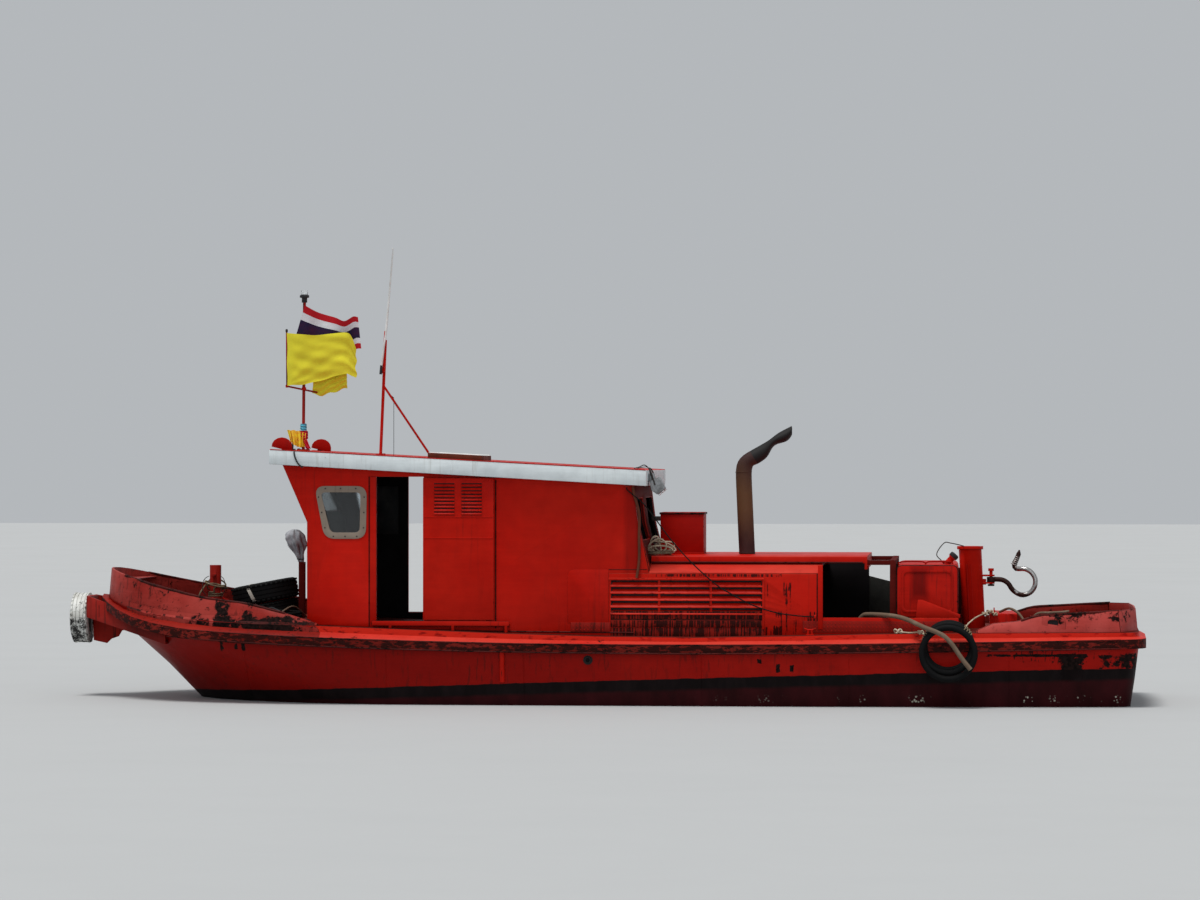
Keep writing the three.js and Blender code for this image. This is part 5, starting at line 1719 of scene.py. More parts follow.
        # A near-black disc inside the overboard pipe: painted shade in its mouth.
        plug = [(0, 0.002), (0.027, 0.002), (0.027, -0.01), (0, -0.01)]
        self.put(turned("overboard_dark", plug, spot, (0, -1, 0), 24), Finish.INNER)
        rows = [self.skin(-1.237, 0.660 - 0.038 * k, lift=0.004) for k in range(11)]
        self.put(bar("pipe_guard", rows, 0.030, 12), Finish.WORN_RED, slot="hull_paint")
        cap = [self.skin(-1.237, z, lift=0.006) for z in (0.715, 0.69, 0.655)]
        self.put(bar("pipe_guard_cap", cap, 0.034, 12), Finish.EDGE, slot="hull_paint")
        plates, holes = [], []
        for side in Side:
            wall = self.skin(5.24, 0.98, side, "stern_bulwark").y
            outer = rounded([(5.10, 0.875, 0.06), (5.375, 0.875, 0.06), (5.375, 1.060, 0.05), (5.10, 1.060, 0.08)])
            inner = rounded([(5.17, 0.945, 0.03), (5.29, 0.945, 0.03), (5.29, 1.025, 0.03), (5.17, 1.025, 0.03)])
            across = (wall + side.value * 0.010, wall - side.value * 0.004)
            plates.append(ring_plate("doubler", outer, inner, View.SIDE, across))
            holes.append(plate("hole", inner, View.SIDE, (wall + side.value * 0.0025, wall), 0))
        self.outline(self.put(join("fairlead_doublers", plates), Finish.STERN))
        self.put(join("fairlead_shadows", holes), Finish.INNER)
        cheeks = self.put(join("bow_cheeks", [self.cheek(side) for side in Side]), Finish.BOW)
        self.outline(cheeks)

    def build(self) -> None:
        """Build the hull."""
        self.shells()
        self.welds()
        bow = [
            (-5.95, 1.50), (-5.60, 1.412), (-5.25, 1.334), (-4.90, 1.262), (-4.60, 1.222), (-4.30, 1.186),
            (-4.08, 1.135), (-3.85, 1.08)
        ]
        self.rim("bow_rail_bar", "bow_bulwark", bow)
        stern = [(4.86, 1.018), (5.06, 1.076), (5.4, 1.0972), (5.75, 1.118), (6.0, 1.132)]
        self.rim("stern_rail_bar", "stern_bulwark", stern)
        self.belt_lines()
        self.stiffeners()
        self.fittings()


@dataclass(frozen=True)
class Tyre:
    """A road tyre: hollow, with grooves round its tread and cross cuts in its shoulders."""

    name: str
    centre: Point
    aim: Point
    middle: float
    radial: float
    axial: float
    lugs: int = 40

    def build(self) -> Piece:
        """The turned casing with its tread blocks.

        Returns:
            The tyre.
        """
        far, near, half = self.middle + self.radial, self.middle - self.radial, self.axial
        tread = []
        for share in (-0.62, -0.22, 0.22, 0.62):
            tread += [
                (far, (share - 0.05) * half), (far - 0.010, (share - 0.04) * half),
                (far - 0.010, (share + 0.04) * half), (far, (share + 0.05) * half)
            ]
        profile = [
            (near + 0.006, -0.70 * half), (near + self.radial * 0.55, -0.97 * half), (near + self.radial, -half),
            (far - self.radial * 0.42, -0.97 * half), (far - 0.02, -0.88 * half), (far - 0.006, -0.78 * half), *tread,
            (far - 0.006, 0.78 * half), (far - 0.02, 0.88 * half), (far - self.radial * 0.42, 0.97 * half),
            (near + self.radial, half), (near + self.radial * 0.55, 0.97 * half), (near + 0.006, 0.70 * half),
            (near, 0.55 * half), (near + 0.012, 0.48 * half), (near + self.radial, 0.80 * half),
            (far - 0.032, 0.72 * half), (far - 0.022, 0), (far - 0.032, -0.72 * half),
            (near + self.radial, -0.80 * half), (near + 0.012, -0.48 * half), (near, -0.55 * half)
        ]
        casing = turned(self.name, profile, steps=72, angle=30)
        size = math.tau * far / self.lugs
        lug = block("lug", (far - 0.016, -size * 0.30, half * 0.66), (far + 0.004, size * 0.30, half * 0.86), 0.003)
        lugs = []
        for k in range(self.lugs):
            for flip in (1, -1):
                twin = copy(lug, f"lug_{k}_{flip}")
                with editing(twin):
                    if flip < 0:
                        bpy.ops.transform.resize(value=(1, 1, -1), center_override=(0, 0, 0))
                        bpy.ops.mesh.flip_normals()
                    bpy.ops.transform.rotate(
                        value=math.tau * (k + (0.5 if flip < 0 else 0)) / self.lugs, orient_axis="Z",
                        center_override=(0, 0, 0)
                    )
                lugs.append(twin)
        bpy.data.objects.remove(lug)
        tyre = join(self.name, [casing, *lugs])
        tyre.rotation_mode = "QUATERNION"
        tyre.rotation_quaternion = Vector((0, 0, 1)).rotation_difference(Vector(self.aim))
        tyre.location = self.centre
        return settle(tyre)


@dataclass
class BowFender(Assembly):
    """The knee at the stem with its white-brushed tyre."""

    tyre: Tyre = Tyre("bow_tyre", (-6.6303, 0, 0.96), (1, 0, 0), 0.222, 0.083, 0.110, 30)

    def build(self) -> None:
        """Build the knee's shell, its seams, the tyre and a strap."""
        self.refit("bow_knee", Finish.KNEE, 0.008, angle=30, edge=Finish.EDGE)
        tyre = self.put(self.tyre.build(), Finish.PAINTED_TYRE)
        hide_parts("bow_fender_tyre")
        beads = []
        for x in (-6.33, -6.13, -5.80):
            for side in Side:
                rows = [self.skin(x, z, side, "bow_knee", -0.001) for z in (1.13, 1.05, 0.98, 0.92, 0.88)]
                if all(abs(row.y) < HIT_LIMIT for row in rows):
                    beads.append(bar("knee_seam", rows, 0.005, 6))
        if beads:
            self.put(join("knee_seams", beads), Finish.EDGE)
        strap = block("tyre_strap", (-6.555, -0.05, 0.66), (-6.520, 0.05, 1.24), 0.006)
        self.put(strap, Finish.STEEL)


@dataclass
class Foredeck(Assembly):
    """Bitt with its rope, spare tyres, covered stand and loose gear."""

    bitt: Flat = (-4.975, 0.0)
    spares: tuple[Tyre, ...] = (
        Tyre("lower_spare_tyre", (-4.285, -0.30, 1.062), (-0.186, 0, 0.983), 0.30, 0.105, 0.100),
        Tyre("upper_spare_tyre", (-4.305, -0.30, 1.288), (-0.186, 0, 0.983), 0.30, 0.105, 0.124)
    )

    def bitt_gear(self) -> None:
        """Bitt, its gussets and the rope round it."""
        x, y = self.bitt
        self.refit("bow_bitt", Finish.KNEE, 0.004)
        gussets = []
        for k in range(4):
            edge = [(0.066, 1.05), (0.225, 1.05), (0.215, 1.13), (0.16, 1.215), (0.10, 1.235), (0.066, 1.235)]
            web = plate("gusset", edge, View.SIDE, (-0.006, 0.006))
            with editing(web):
                bpy.ops.transform.rotate(value=math.radians(90 * k + 8), orient_axis="Z", center_override=(0, 0, 0))
                bpy.ops.transform.translate(value=(x, y, -0.02))
            gussets.append(web)
        self.put(join("bitt_gussets", gussets), Finish.WORN_RED)
        snug = loop_rows((x, y, 1.228), 0.0835, 2.2, (0, 0, 0.024), View.TOP, 200)
        wild = []
        for k in range(40):
            angle = math.radians(272) + math.tau * k / 15
            far = 0.100 + 0.034 * math.sin(1.3 * k / 5) ** 2 + 0.014 * (k > 18)
            tip = 0.040 * math.sin(angle + 1.9 + 0.11 * k)
            wild.append((x + far * math.cos(angle), y + far * math.sin(angle), 1.315 + 0.0022 * k + tip))
        tail = [
            (x + dx, y + dy, z) for dx, dy, z in ((-0.155, -0.10, 1.30), (-0.185, -0.12, 1.22), (-0.205, -0.11, 1.15))
        ]
        self.line(
            Line("bitt_rope", [*snug, *wild, *tail], 0.020, 0.009, strands=3, lay=0.062), Finish.OLD_ROPE,
            far_end="bare", stiffness="limp", lay="coiled"
        )
        for k, side in enumerate((-1, 1)):
            places = (
                (0.074, 0.05, 1.475), (0.115, 0.09, 1.445), (0.140, 0.12, 1.38), (0.135, 0.13, 1.30), (0.10, 0.11, 1.24)
            )
            hang = [(x + u * side, y - v, z) for u, v, z in places]
            self.line(
                Line(f"bitt_wire_{k}", hang, 0.009, 0.01, strands=6, lay=0.05), Finish.STEEL, far_end="bare",
                stiffness="stiff", slot="black_rope"
            )

    def spares_and_gear(self) -> None:
        """The stacked tyres with their strap, the stand and the cables on deck."""
        for tyre in self.spares:
            self.put(tyre.build(), Finish.TYRE)
        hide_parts("deck_tyres")
        top = self.spares[1]
        ring = []
        for k in range(28):
            turn = math.tau * k / 28
            power = [math.copysign(abs(c) ** 0.62, c) for c in (math.cos(turn), math.sin(turn))]
            ring.append((top.middle + (top.radial + 0.004) * power[0], (top.axial + 0.004) * power[1]))
        inner = [(top.middle + (u - top.middle) * 0.96, v * 0.96) for u, v in ring]
        strap = ring_plate("tyre_band", ring, inner, View.SIDE, (-0.021, 0.021), 0)
        strap.matrix_world = (
            Matrix.Translation(top.centre) @ Vector((0, 0, 1)).rotation_difference(Vector(top.aim)).to_matrix().to_4x4()
            @ Matrix.Rotation(math.radians(-106), 4, "Z") @ Matrix.Rotation(0.32, 4, "X")
        )
        self.put(settle(strap), Finish.STRAP)
        self.refit("bow_stand", Finish.SOOTY, 0.004)
        deck = self.touch("hull", (-3.95, -0.75, 2), (0, 0, -1)).z
        hawser = loop_rows((-3.975, -0.72, deck + 0.024), 0.165, 2.6, (0.012, 0.008, 0.042), View.TOP, 40)
        self.line(
            Line("deck_hawser", hawser, 0.034, 0.012, strands=3, lay=0.10), Finish.BLACK_ROPE, far_end="bare",
            stiffness="limp", lay="coiled"
        )
        cables = (
            [
                (-3.80, -1.06, 0.018), (-3.93, -1.10, 0.10), (-4.10, -1.00, 0.17), (-4.20, -0.80, 0.14),
                (-4.22, -0.68, 0.07)
            ],
            [
                (-3.72, -0.62, 0.018), (-3.78, -0.78, 0.12), (-3.86, -0.96, 0.19), (-3.98, -1.08, 0.12),
                (-4.10, -1.14, 0.018)
            ]
        )
        for k, rows in enumerate(cables):
            route = [(x, y, deck + z) for x, y, z in rows]
            finish = Finish.HOSE if k else Finish.BLACK
            self.line(Line(f"deck_cable_{k}", route, 0.018, 0.012), finish, "bare", "stiff", slot="hose_rubber")

    def bundle(self) -> None:
        """The plastic and cloth tied over the stand's head."""
        rows = [
            (0.030, 0.0), (0.034, 0.04), (0.052, 0.10), (0.086, 0.17), (0.108, 0.24), (0.112, 0.30), (0.094, 0.35),
            (0.050, 0.385), (0.012, 0.396)
        ]
        edge = smooth([(r, 0, h) for r, h in rows], 0.014)
        clear()
        count, steps = len(edge) - 1, 96
        bpy.ops.mesh.primitive_grid_add(x_subdivisions=steps, y_subdivisions=count, size=2)
        cover = named("stand_bundle")
        for corner in cover.data.vertices:
            u, k = (corner.co.x + 1) / 2, round((corner.co.y + 1) / 2 * count)
            angle = math.tau * u
            neck = edge[k]
            share = neck.z / 0.40
            fold = 0.014 * math.sin(8 * angle + 3 * share) + 0.010 * math.sin(5 * angle - 7 * share)
            bump = 0.014 * noise.noise(Vector((math.cos(angle) * 2, math.sin(angle) * 2, share * 5)))
            far = max(0.004, neck.x + (fold + bump) * min(1, neck.x / 0.08))
            middle = -3.853 - 0.070 * min(1, 1.4 * share) ** 1.5
            corner.co = (middle + far * math.cos(angle), -0.40 + far * math.sin(angle), 1.6603 + neck.z)
        outward(cover, 0.0004)
        apply(cover, "SOLIDIFY", thickness=0.0012, offset=0)
        soften(cover, 0, angle=60)
        self.put(cover, Finish.WRAP)
        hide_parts("stand_cover")
        tie = turned(
            "bundle_tie", [(0.030, -0.006), (0.046, -0.004), (0.046, 0.004), (0.030, 0.006)], (-3.855, -0.40, 1.695),
            (0, 0, 1), 24
        )
        self.put(tie, Finish.BLACK_ROPE)

    def build(self) -> None:
        """Build the gear of the foredeck."""
        self.bitt_gear()
        self.spares_and_gear()
        self.bundle()


@dataclass
class Wheelhouse(Assembly):
    """Roof, walls, windows, doors and steering stand."""

    window: tuple[tuple[float, float, float], ...] = (
        (-3.45, 2.52, 0.06), (-3.33, 2.03, 0.06), (-2.97, 2.03, 0.06), (-2.958, 2.52, 0.06)
    )
    rim: float = 0.070
    louvre_columns: Flat = (-1.9535, -1.627)
    louvre_rows: int = 9
    louvre_top: float = 2.246
    louvre_pitch: float = 0.042

    def frame_of(self, name: str, corners: Sequence[Sequence[float]], view: View, across: Flat) -> Piece:
        """A round-cornered frame round an opening.

        Args:
            name: The frame's name.
            corners: The opening's corners with their radii.
            view: View the corners are drawn in.
            across: The frame's two faces.

        Returns:
            The frame.
        """
        middle = Vector((sum(c[0] for c in corners), sum(c[1] for c in corners))) / len(corners)
        outer = []
        for u, v, radius in corners:
            away = Vector((u, v)) - middle
            outer.append((u + math.copysign(self.rim, away.x), v + math.copysign(self.rim, away.y), radius + 0.07))
        inner = [
            (u - math.copysign(0.006, u - middle.x), v - math.copysign(0.006, v - middle.y), radius)
            for u, v, radius in corners
        ]
        return ring_plate(name, rounded(outer, 6), rounded(inner, 6), view, across, 0.004)

    def windows(self) -> None:
        """Glass and frames of the side and front windows, with the side frames' screws."""
        for node in ("port_side_glass", "starboard_side_glass", "front_port_glass", "front_starboard_glass"):
            self.refit(node, Finish.GLASS, 0.0)
        frames, screws = [], []
        for side in Side:
            face = side.value * WALL_FACE
            frames.append(
                self.frame_of(
                    "side_frame", self.window, View.SIDE, (face - side.value * 0.004, face + side.value * 0.009)
                )
            )
            corners = [
                (c[0] + math.copysign(0.04, c[0] + 3.18), c[1] + math.copysign(0.04, c[1] - 2.27)) for c in self.window
            ]
            for (u, v), (p, q) in zip(corners, corners[1:] + corners[:1]):
                for share in (0.18, 0.5, 0.82):
                    screws.append((u + (p - u) * share, face + side.value * 0.009, v + (q - v) * share))
        self.put(join("side_window_frames", frames), Finish.FRAME)
        for side in Side:
            spots = [s for s in screws if s[1] * side.value > 0]
            self.put(bolts(f"frame_screws_{side.name}", spots, (0, side.value, 0), 0.0065), Finish.STEEL)
        front = []
        foot, sill = -3.609, 2.16
        lean = (3.905 + foot) / (2.85 - sill)
        for side in Side:
            corners = [
                (side.value * 0.09, 2.27, 0.05), (side.value * 1.23, 2.27, 0.05), (side.value * 1.23, 2.73, 0.05),
                (side.value * 0.09, 2.73, 0.05)
            ]
            piece = self.frame_of("front_frame", corners, View.FRONT, (0.004, -0.010))
            for corner in piece.data.vertices:
                corner.co.x += foot - (corner.co.z - sill) * lean
            front.append(piece)
        self.put(join("front_window_frames", front), Finish.FRAME)

    def walls(self) -> None:
        """Roof and walls, with seams, patches and the posts of the doors."""
        roof = self.refit("wheelhouse_roof", Finish.WHITE, 0.008)
        self.repaint(roof, Finish.RED, lambda c, n: n.z > 0.8)
        for node in ("wheelhouse_port_side", "wheelhouse_starboard_side", "wheelhouse_front", "wheelhouse_aft"):
            # The aft wall takes the near-black red as painted shade.
            finish = Finish.SOOTY if node == "wheelhouse_aft" else Finish.RED
            wall = self.refit(node, finish, 0.006, angle=30, edge=Finish.RED_EDGE)
            # Inner faces of the walls take the near-black painted shade of the inside.
            self.repaint(wall, Finish.INNER, lambda c, n: n.y * c.y < -0.1 and abs(n.y) > 0.8 or n.x > 0.5 and c.x < -3)
        trims, laps = [], []
        for side in Side:
            face = side.value * WALL_FACE
            proud = {size: (face - side.value * 0.003, face + side.value * size) for size in (0.005, 0.014)}
            trims.append(
                plate(
                    "door_post", [(-2.85, 0.96), (-2.775, 0.96), (-2.775, 2.70), (-2.85, 2.70)], View.SIDE,
                    proud[0.014], 0.005
                )
            )
            patch = rounded([(-0.49, 0.967), (0.0, 0.967), (0.0, 1.605), (-0.49, 1.605, 0.09)])
            trims.append(plate("patch", patch, View.SIDE, proud[0.005], 0.003))
            laps.append(bar("patch_top", [(0.0, face, 1.603), (0.455, face, 1.603)], 0.004, 8))
            laps.append(bar("wall_seam", [(-1.345, face, 0.90), (-1.345, face, 2.66)], 0.0075, 8))
            laps.append(bar("post_seam", [(-2.862, face, 0.92), (-2.862, face, 2.70)], 0.0065, 8))
            foot = [(-3.58, face, 0.905), (-2.30, face, 0.880), (-1.00, face, 0.862), (0.30, face, 0.855)]
            laps.append(bar("foot_bead", foot, 0.009, 8))
        self.outline(self.put(join("wheelhouse_trims", trims), Finish.RED))
        self.put(join("wheelhouse_seams", laps), Finish.EDGE)
        gutter = [
            bar(f"eave_{side.name}", [(-4.03, side.value * 1.596, 3.024), (0.45, side.value * 1.596, 2.780)], 0.007, 8)
            for side in Side
        ]
        self.put(join("roof_edges", gutter), Finish.BOX)
        pipe = [
            (0.294, -1.472, 2.586), (0.297, -1.472, 2.52), (0.364, -1.474, 2.26), (0.364, -1.474, 1.99),
            (0.364, -1.474, 1.715), (0.336, -1.478, 1.505)
        ]
        self.put(bar("drain_pipe", smooth(pipe, 0.03), 0.017, 12), Finish.PIPE)
        blind = block("window_blind", (-3.20, 1.384, 1.97), (-2.90, 1.396, 2.57))
        self.put(blind, Finish.BLACK)

    def doors(self) -> None:
        """Sliding doors with louvres and laps, and their rails."""
        fin = plate(
            "louvre", [(0.0, 0.0), (-0.015, 0.002), (-0.018, 0.008), (-0.006, 0.024), (0.0, 0.026)], View.FRONT,
            (-0.121, 0.121), 0.0015
        )
        for side in Side:
            body = f"{side.name.lower()}_door_body"
            self.refit(f"{side.name.lower()}_door", Finish.RED, 0.005, body, edge=Finish.RED_EDGE)
            fins = []
            for column in self.louvre_columns:
                for row in range(self.louvre_rows):
                    fins.append(
                        copy(fin, f"fin_{row}", (column, -1.4995, self.louvre_top + 0.004 + row * self.louvre_pitch))
                    )
            laps = [
                plate(
                    "lap", [(-2.200, z), (-1.372, z), (-1.372, z + 0.016), (-2.200, z + 0.016)], View.SIDE,
                    (-1.497, -1.506)
                ) for z in (2.218, 1.967)
            ]
            laps.append(block("edge_strip", (-2.209, -1.503, 1.02), (-2.190, -1.496, 2.66), 0.002))
            joined = join(f"door_fittings_{side.name.lower()}", fins + laps)
            # Near-black plates behind the door louvres: painted shade between the blades.
            shade_backs = join(
                f"louvre_backs_{side.name.lower()}",
                [
                    block("back", (x - 0.121, -1.5015, 2.246), (x + 0.121, -1.4985, 2.624), 0)
                    for x in self.louvre_columns
                ]
            )
            if side is Side.STARBOARD:
                twins = [mirrored(piece, f"{piece.name}_mirrored") for piece in (joined, shade_backs)]
                for piece in (joined, shade_backs):
                    bpy.data.objects.remove(piece)
                joined, shade_backs = twins
            self.put(joined, Finish.RED, body)
            self.put(shade_backs, Finish.INNER, body, slot="red_paint")
            self.refit(f"{side.name.lower()}_door_rail", Finish.WORN_RED, 0.004, edge=Finish.EDGE)
        bpy.data.objects.remove(fin)

    def inside(self) -> None:
        """Console, wheel, its instruments, a throttle lever and the wheel's cap."""
        self.refit("helm_console", Finish.WOOD, 0.006)
        self.refit("helm_wheel", Finish.WOOD, 0.004, "helm_wheel_body")
        dials = []
        for y in (-0.26, -0.13, 0.13, 0.26):
            dials.append(
                turned(
                    "dial",
                    [(0.0, 0.002), (0.040, 0.002), (0.043, 0.012), (0.048, 0.012), (0.050, -0.02), (0.0, -0.02)],
                    (-3.262, y, 1.58), (1, 0, 0), 28
                )
            )
        self.put(join("dials", dials), Finish.BLACK)
        lever = bar("throttle", [(-3.40, 0.30, 1.70), (-3.40, 0.30, 1.84), (-3.37, 0.30, 1.90)], 0.009, 12)
        knob = turned(
            "throttle_knob", [(0, -0.02), (0.018, -0.012), (0.020, 0.008), (0.010, 0.022), (0, 0.024)],
            (-3.365, 0.30, 1.905), (0.4, 0, 1), 20
        )
        self.put(join("throttle_lever", [lever, knob]), Finish.BLACK)
        hub = turned("wheel_cap", [(0, 0.03), (0.03, 0.026), (0.038, 0.0), (0, 0.0)], (-3.105, 0, 1.62), (1, 0, 0), 28)
        self.put(hub, Finish.BRONZE, "helm_wheel_body")

    def build(self) -> None:
        """Build the wheelhouse."""
        self.walls()
        self.windows()
        self.doors()
        self.inside()


@dataclass
class Casing(Assembly):
    """Engine casing: sides, louvre bank, slab hatch, frame and deck-edge plates."""

    lug_pitch: float = 0.044
    lug_size: float = 0.030

    def chequer(self, name: str, low: Flat, high: Flat, side: Side, face: float) -> Piece:
        """A deck plate with raised diamonds, fixed to a side.

        Args:
            name: The plate's name.
            low: Its lower corner as x and z.
            high: Its upper corner.
            side: The side of the boat.
            face: Distance of the surface below it from the centre line.

        Returns:
            The plate.
        """
        near = side.value * face
        base = plate(
            name, [low, (high[0], low[1]), high, (low[0], high[1])], View.SIDE,
            (near - side.value * 0.002, near + side.value * 0.005)
        )
        size = self.lug_size / 2
        lug = plate(
            "diamond", [(-size, 0), (0, -size * 0.32), (size, 0), (0, size * 0.32)], View.SIDE,
            (near + side.value * 0.004, near + side.value * 0.0075), 0
        )
        with editing(lug):
            bpy.ops.transform.rotate(value=math.radians(45 * side.value), orient_axis="Y", center_override=(0, 0, 0))
            bpy.ops.transform.translate(value=(low[0] + 0.03, 0, low[1] + 0.025))
        across = int((high[0] - low[0] - 0.05) / self.lug_pitch)
        up = max(1, int((high[1] - low[1] - 0.03) / self.lug_pitch) + 1)
        for axis, count in ((0, across), (2, up)):
            shift = [0.0, 0.0, 0.0]
            shift[axis] = self.lug_pitch
            apply(
                lug, "ARRAY", count=count, use_relative_offset=False, use_constant_offset=True,
                constant_offset_displace=shift
            )
        return join(name, [base, lug])

    def shells(self) -> None:
        """The refitted solids."""
        for node in ("casing_port_side", "casing_starboard_side", "casing_top", "casing_hatch"):
            shell = self.refit(node, Finish.RED, 0.010, angle=30, edge=Finish.RED_EDGE)
            # Inward faces low on the casing take the near-black painted shade.
            self.repaint(shell, Finish.INNER, lambda c, n: n.y * c.y < -0.5 and c.z < 1.7)
            # Sloping upward outer faces of the casing take the painted highlight of a sheen.
            self.repaint(shell, Finish.BELT_TOP, lambda c, n: 0.25 < n.z < 0.99 and c.z > 1.5 and n.y * c.y > 0)
        frame = self.refit("casing_aft_frame", Finish.SOOTY, 0.006, edge=Finish.EDGE)
        self.repaint(frame, Finish.SLATE, lambda c, n: c.y > 1.0 and abs(n.y) > 0.5 and c.z < 1.66)
        # The engine block takes the near-black painted shade of the engine room.
        self.refit("engine_block", Finish.INNER, 0.012)
        # Near-black sheets behind the louvre bank and across the casing's open starboard side: painted shade of the
        # engine room.
        screens = [block("inner_wall", (2.43, 1.280, 0.86), (3.02, 1.288, 1.655))]
        for side in Side:
            for low, high in ((1.04, 1.318), (1.343, 1.50)):
                edges = sorted((side.value * 1.296, side.value * 1.304))
                screens.append(block("baffle", (0.03, edges[0], low), (1.83, edges[1], high), 0.002))
        self.put(join("casing_screens", screens), Finish.INNER)

    def plates(self) -> None:
        """Chequer plates, kick plates, straps and mullion laps on both sides."""
        for side in Side:
            near = side.value * WALL_FACE
            plates = [
                self.chequer("kick_chequer", (2.30, 0.862), (4.12, 1.0), side, WALL_FACE),
                self.chequer("door_chequer", (-0.45, 0.865), (0.015, 0.975), side, 1.455)
            ]
            plates = self.put(join(f"chequer_plates_{side.name.lower()}", plates), Finish.KNEE)
            self.repaint(
                plates, Finish.CHEQUER, lambda c, n: abs(c.y) > 1.4562 and abs(c.y) < 1.4580 or abs(c.y) > 1.4612
            )

            def flat(name: str, low: Flat, high: Flat, proud: float, near: float = near, side: Side = side) -> Piece:
                """A thin plate on the wall that stands proud of it."""
                corners = [low, (high[0], low[1]), high, (low[0], high[1])]
                return plate(name, corners, View.SIDE, (near - side.value * 0.002, near + side.value * proud), 0.002)

            kicks = [
                flat("bank_plate", (0.024, 1.018), (1.837, 1.114), 0.005),
                flat("bank_strip", (0.024, 0.922), (1.837, 1.003), 0.009),
                flat("kick_zone", (0.024, 0.80), (1.837, 0.918), 0.003)
            ]
            self.outline(self.put(join(f"kick_plates_{side.name.lower()}", kicks), Finish.KICK))
            strips = [flat("mullion_lap", (x - 0.014, 1.10), (x + 0.014, 1.47), 0.006) for x in (0.60, 1.212)]
            strips.append(flat("bank_end", (1.822, 0.90), (1.842, 1.49), 0.016))
            strips.append(flat("corner_post", (2.478, 0.90), (2.535, 1.655), 0.012))
            self.put(join(f"casing_strips_{side.name.lower()}", strips), Finish.WORN_RED)
            seams = [
                flat("post_line", (2.462, 0.90), (2.476, 1.56), 0.004),
                flat("bank_line", (1.806, 1.00), (1.820, 1.48), 0.006)
            ]
            seams.append(flat("strip_line", (0.024, 1.003), (1.837, 1.018), 0.003))
            self.put(join(f"casing_lines_{side.name.lower()}", seams), Finish.EDGE)
        # Near-black strips under each louvre blade's lip and down the bank's forward edge: painted shadow lines.
        lips = []
        for side in Side:
            near, far = sorted((side.value * 1.438, side.value * 1.447))
            for k in range(1, 6):
                lips.append(
                    block("blade_lip", (0.031, near, 1.046 + 0.082 * k), (1.819, far, 1.066 + 0.082 * k), 0.002)
                )
            lips.append(block("bank_lip", (0.030, near, 1.066), (0.044, far, 1.474), 0.002))
        self.put(join("louvre_lips", lips), Finish.INNER)
        spots = [(0.08 + 0.2175 * k, -1.4726, 1.488) for k in range(9)]
        self.put(bolts("flange_bolts", spots, (0, -1, 0), 0.008), Finish.WORN_RED)

    def hatch_gear(self) -> None:
        """Dark lips under the slab hatch's edges, painted as the shadow line under its overhang, and the bar abaft it.
        """
        bars = []
        for side in Side:
            # Near-black bars along the slab's lower edges: painted shadow line under its overhang.
            bars.append(bar("hatch_lip", [(0.49, side.value * 1.2, 1.684), (3.0, side.value * 1.2, 1.684)], 0.009, 8))
        self.put(join("hatch_lips", bars), Finish.EDGE)
        rail = block("frame_bar_lip", (3.10, -1.17, 1.655), (3.32, -1.155, 1.70), 0.004)
        self.put(rail, Finish.BOX)

    def engine_gear(self) -> None:
        """Heads, manifold and pipes on the engine, seen through the casing."""
        rows = []
        for k in range(6):
            x = 0.68 + 0.27 * k
            rows.append(block(f"head_{k}", (x - 0.10, -0.22, 0.758), (x + 0.10, 0.22, 0.90), 0.015))
            rows.append(bar(f"riser_{k}", [(x, -0.20, 0.86), (x, -0.34, 0.88), (x, -0.36, 0.80)], 0.028, 12))
        rows.append(bar("manifold", [(0.62, -0.36, 0.80), (2.10, -0.36, 0.80)], 0.05, 16))
        # The engine's heads and pipes take the near-black painted shade of the engine room.
        self.put(join("engine_heads", rows), Finish.INNER)

    def build(self) -> None:
        """Build the casing."""
        self.shells()
        self.plates()
        self.hatch_gear()
        self.engine_gear()


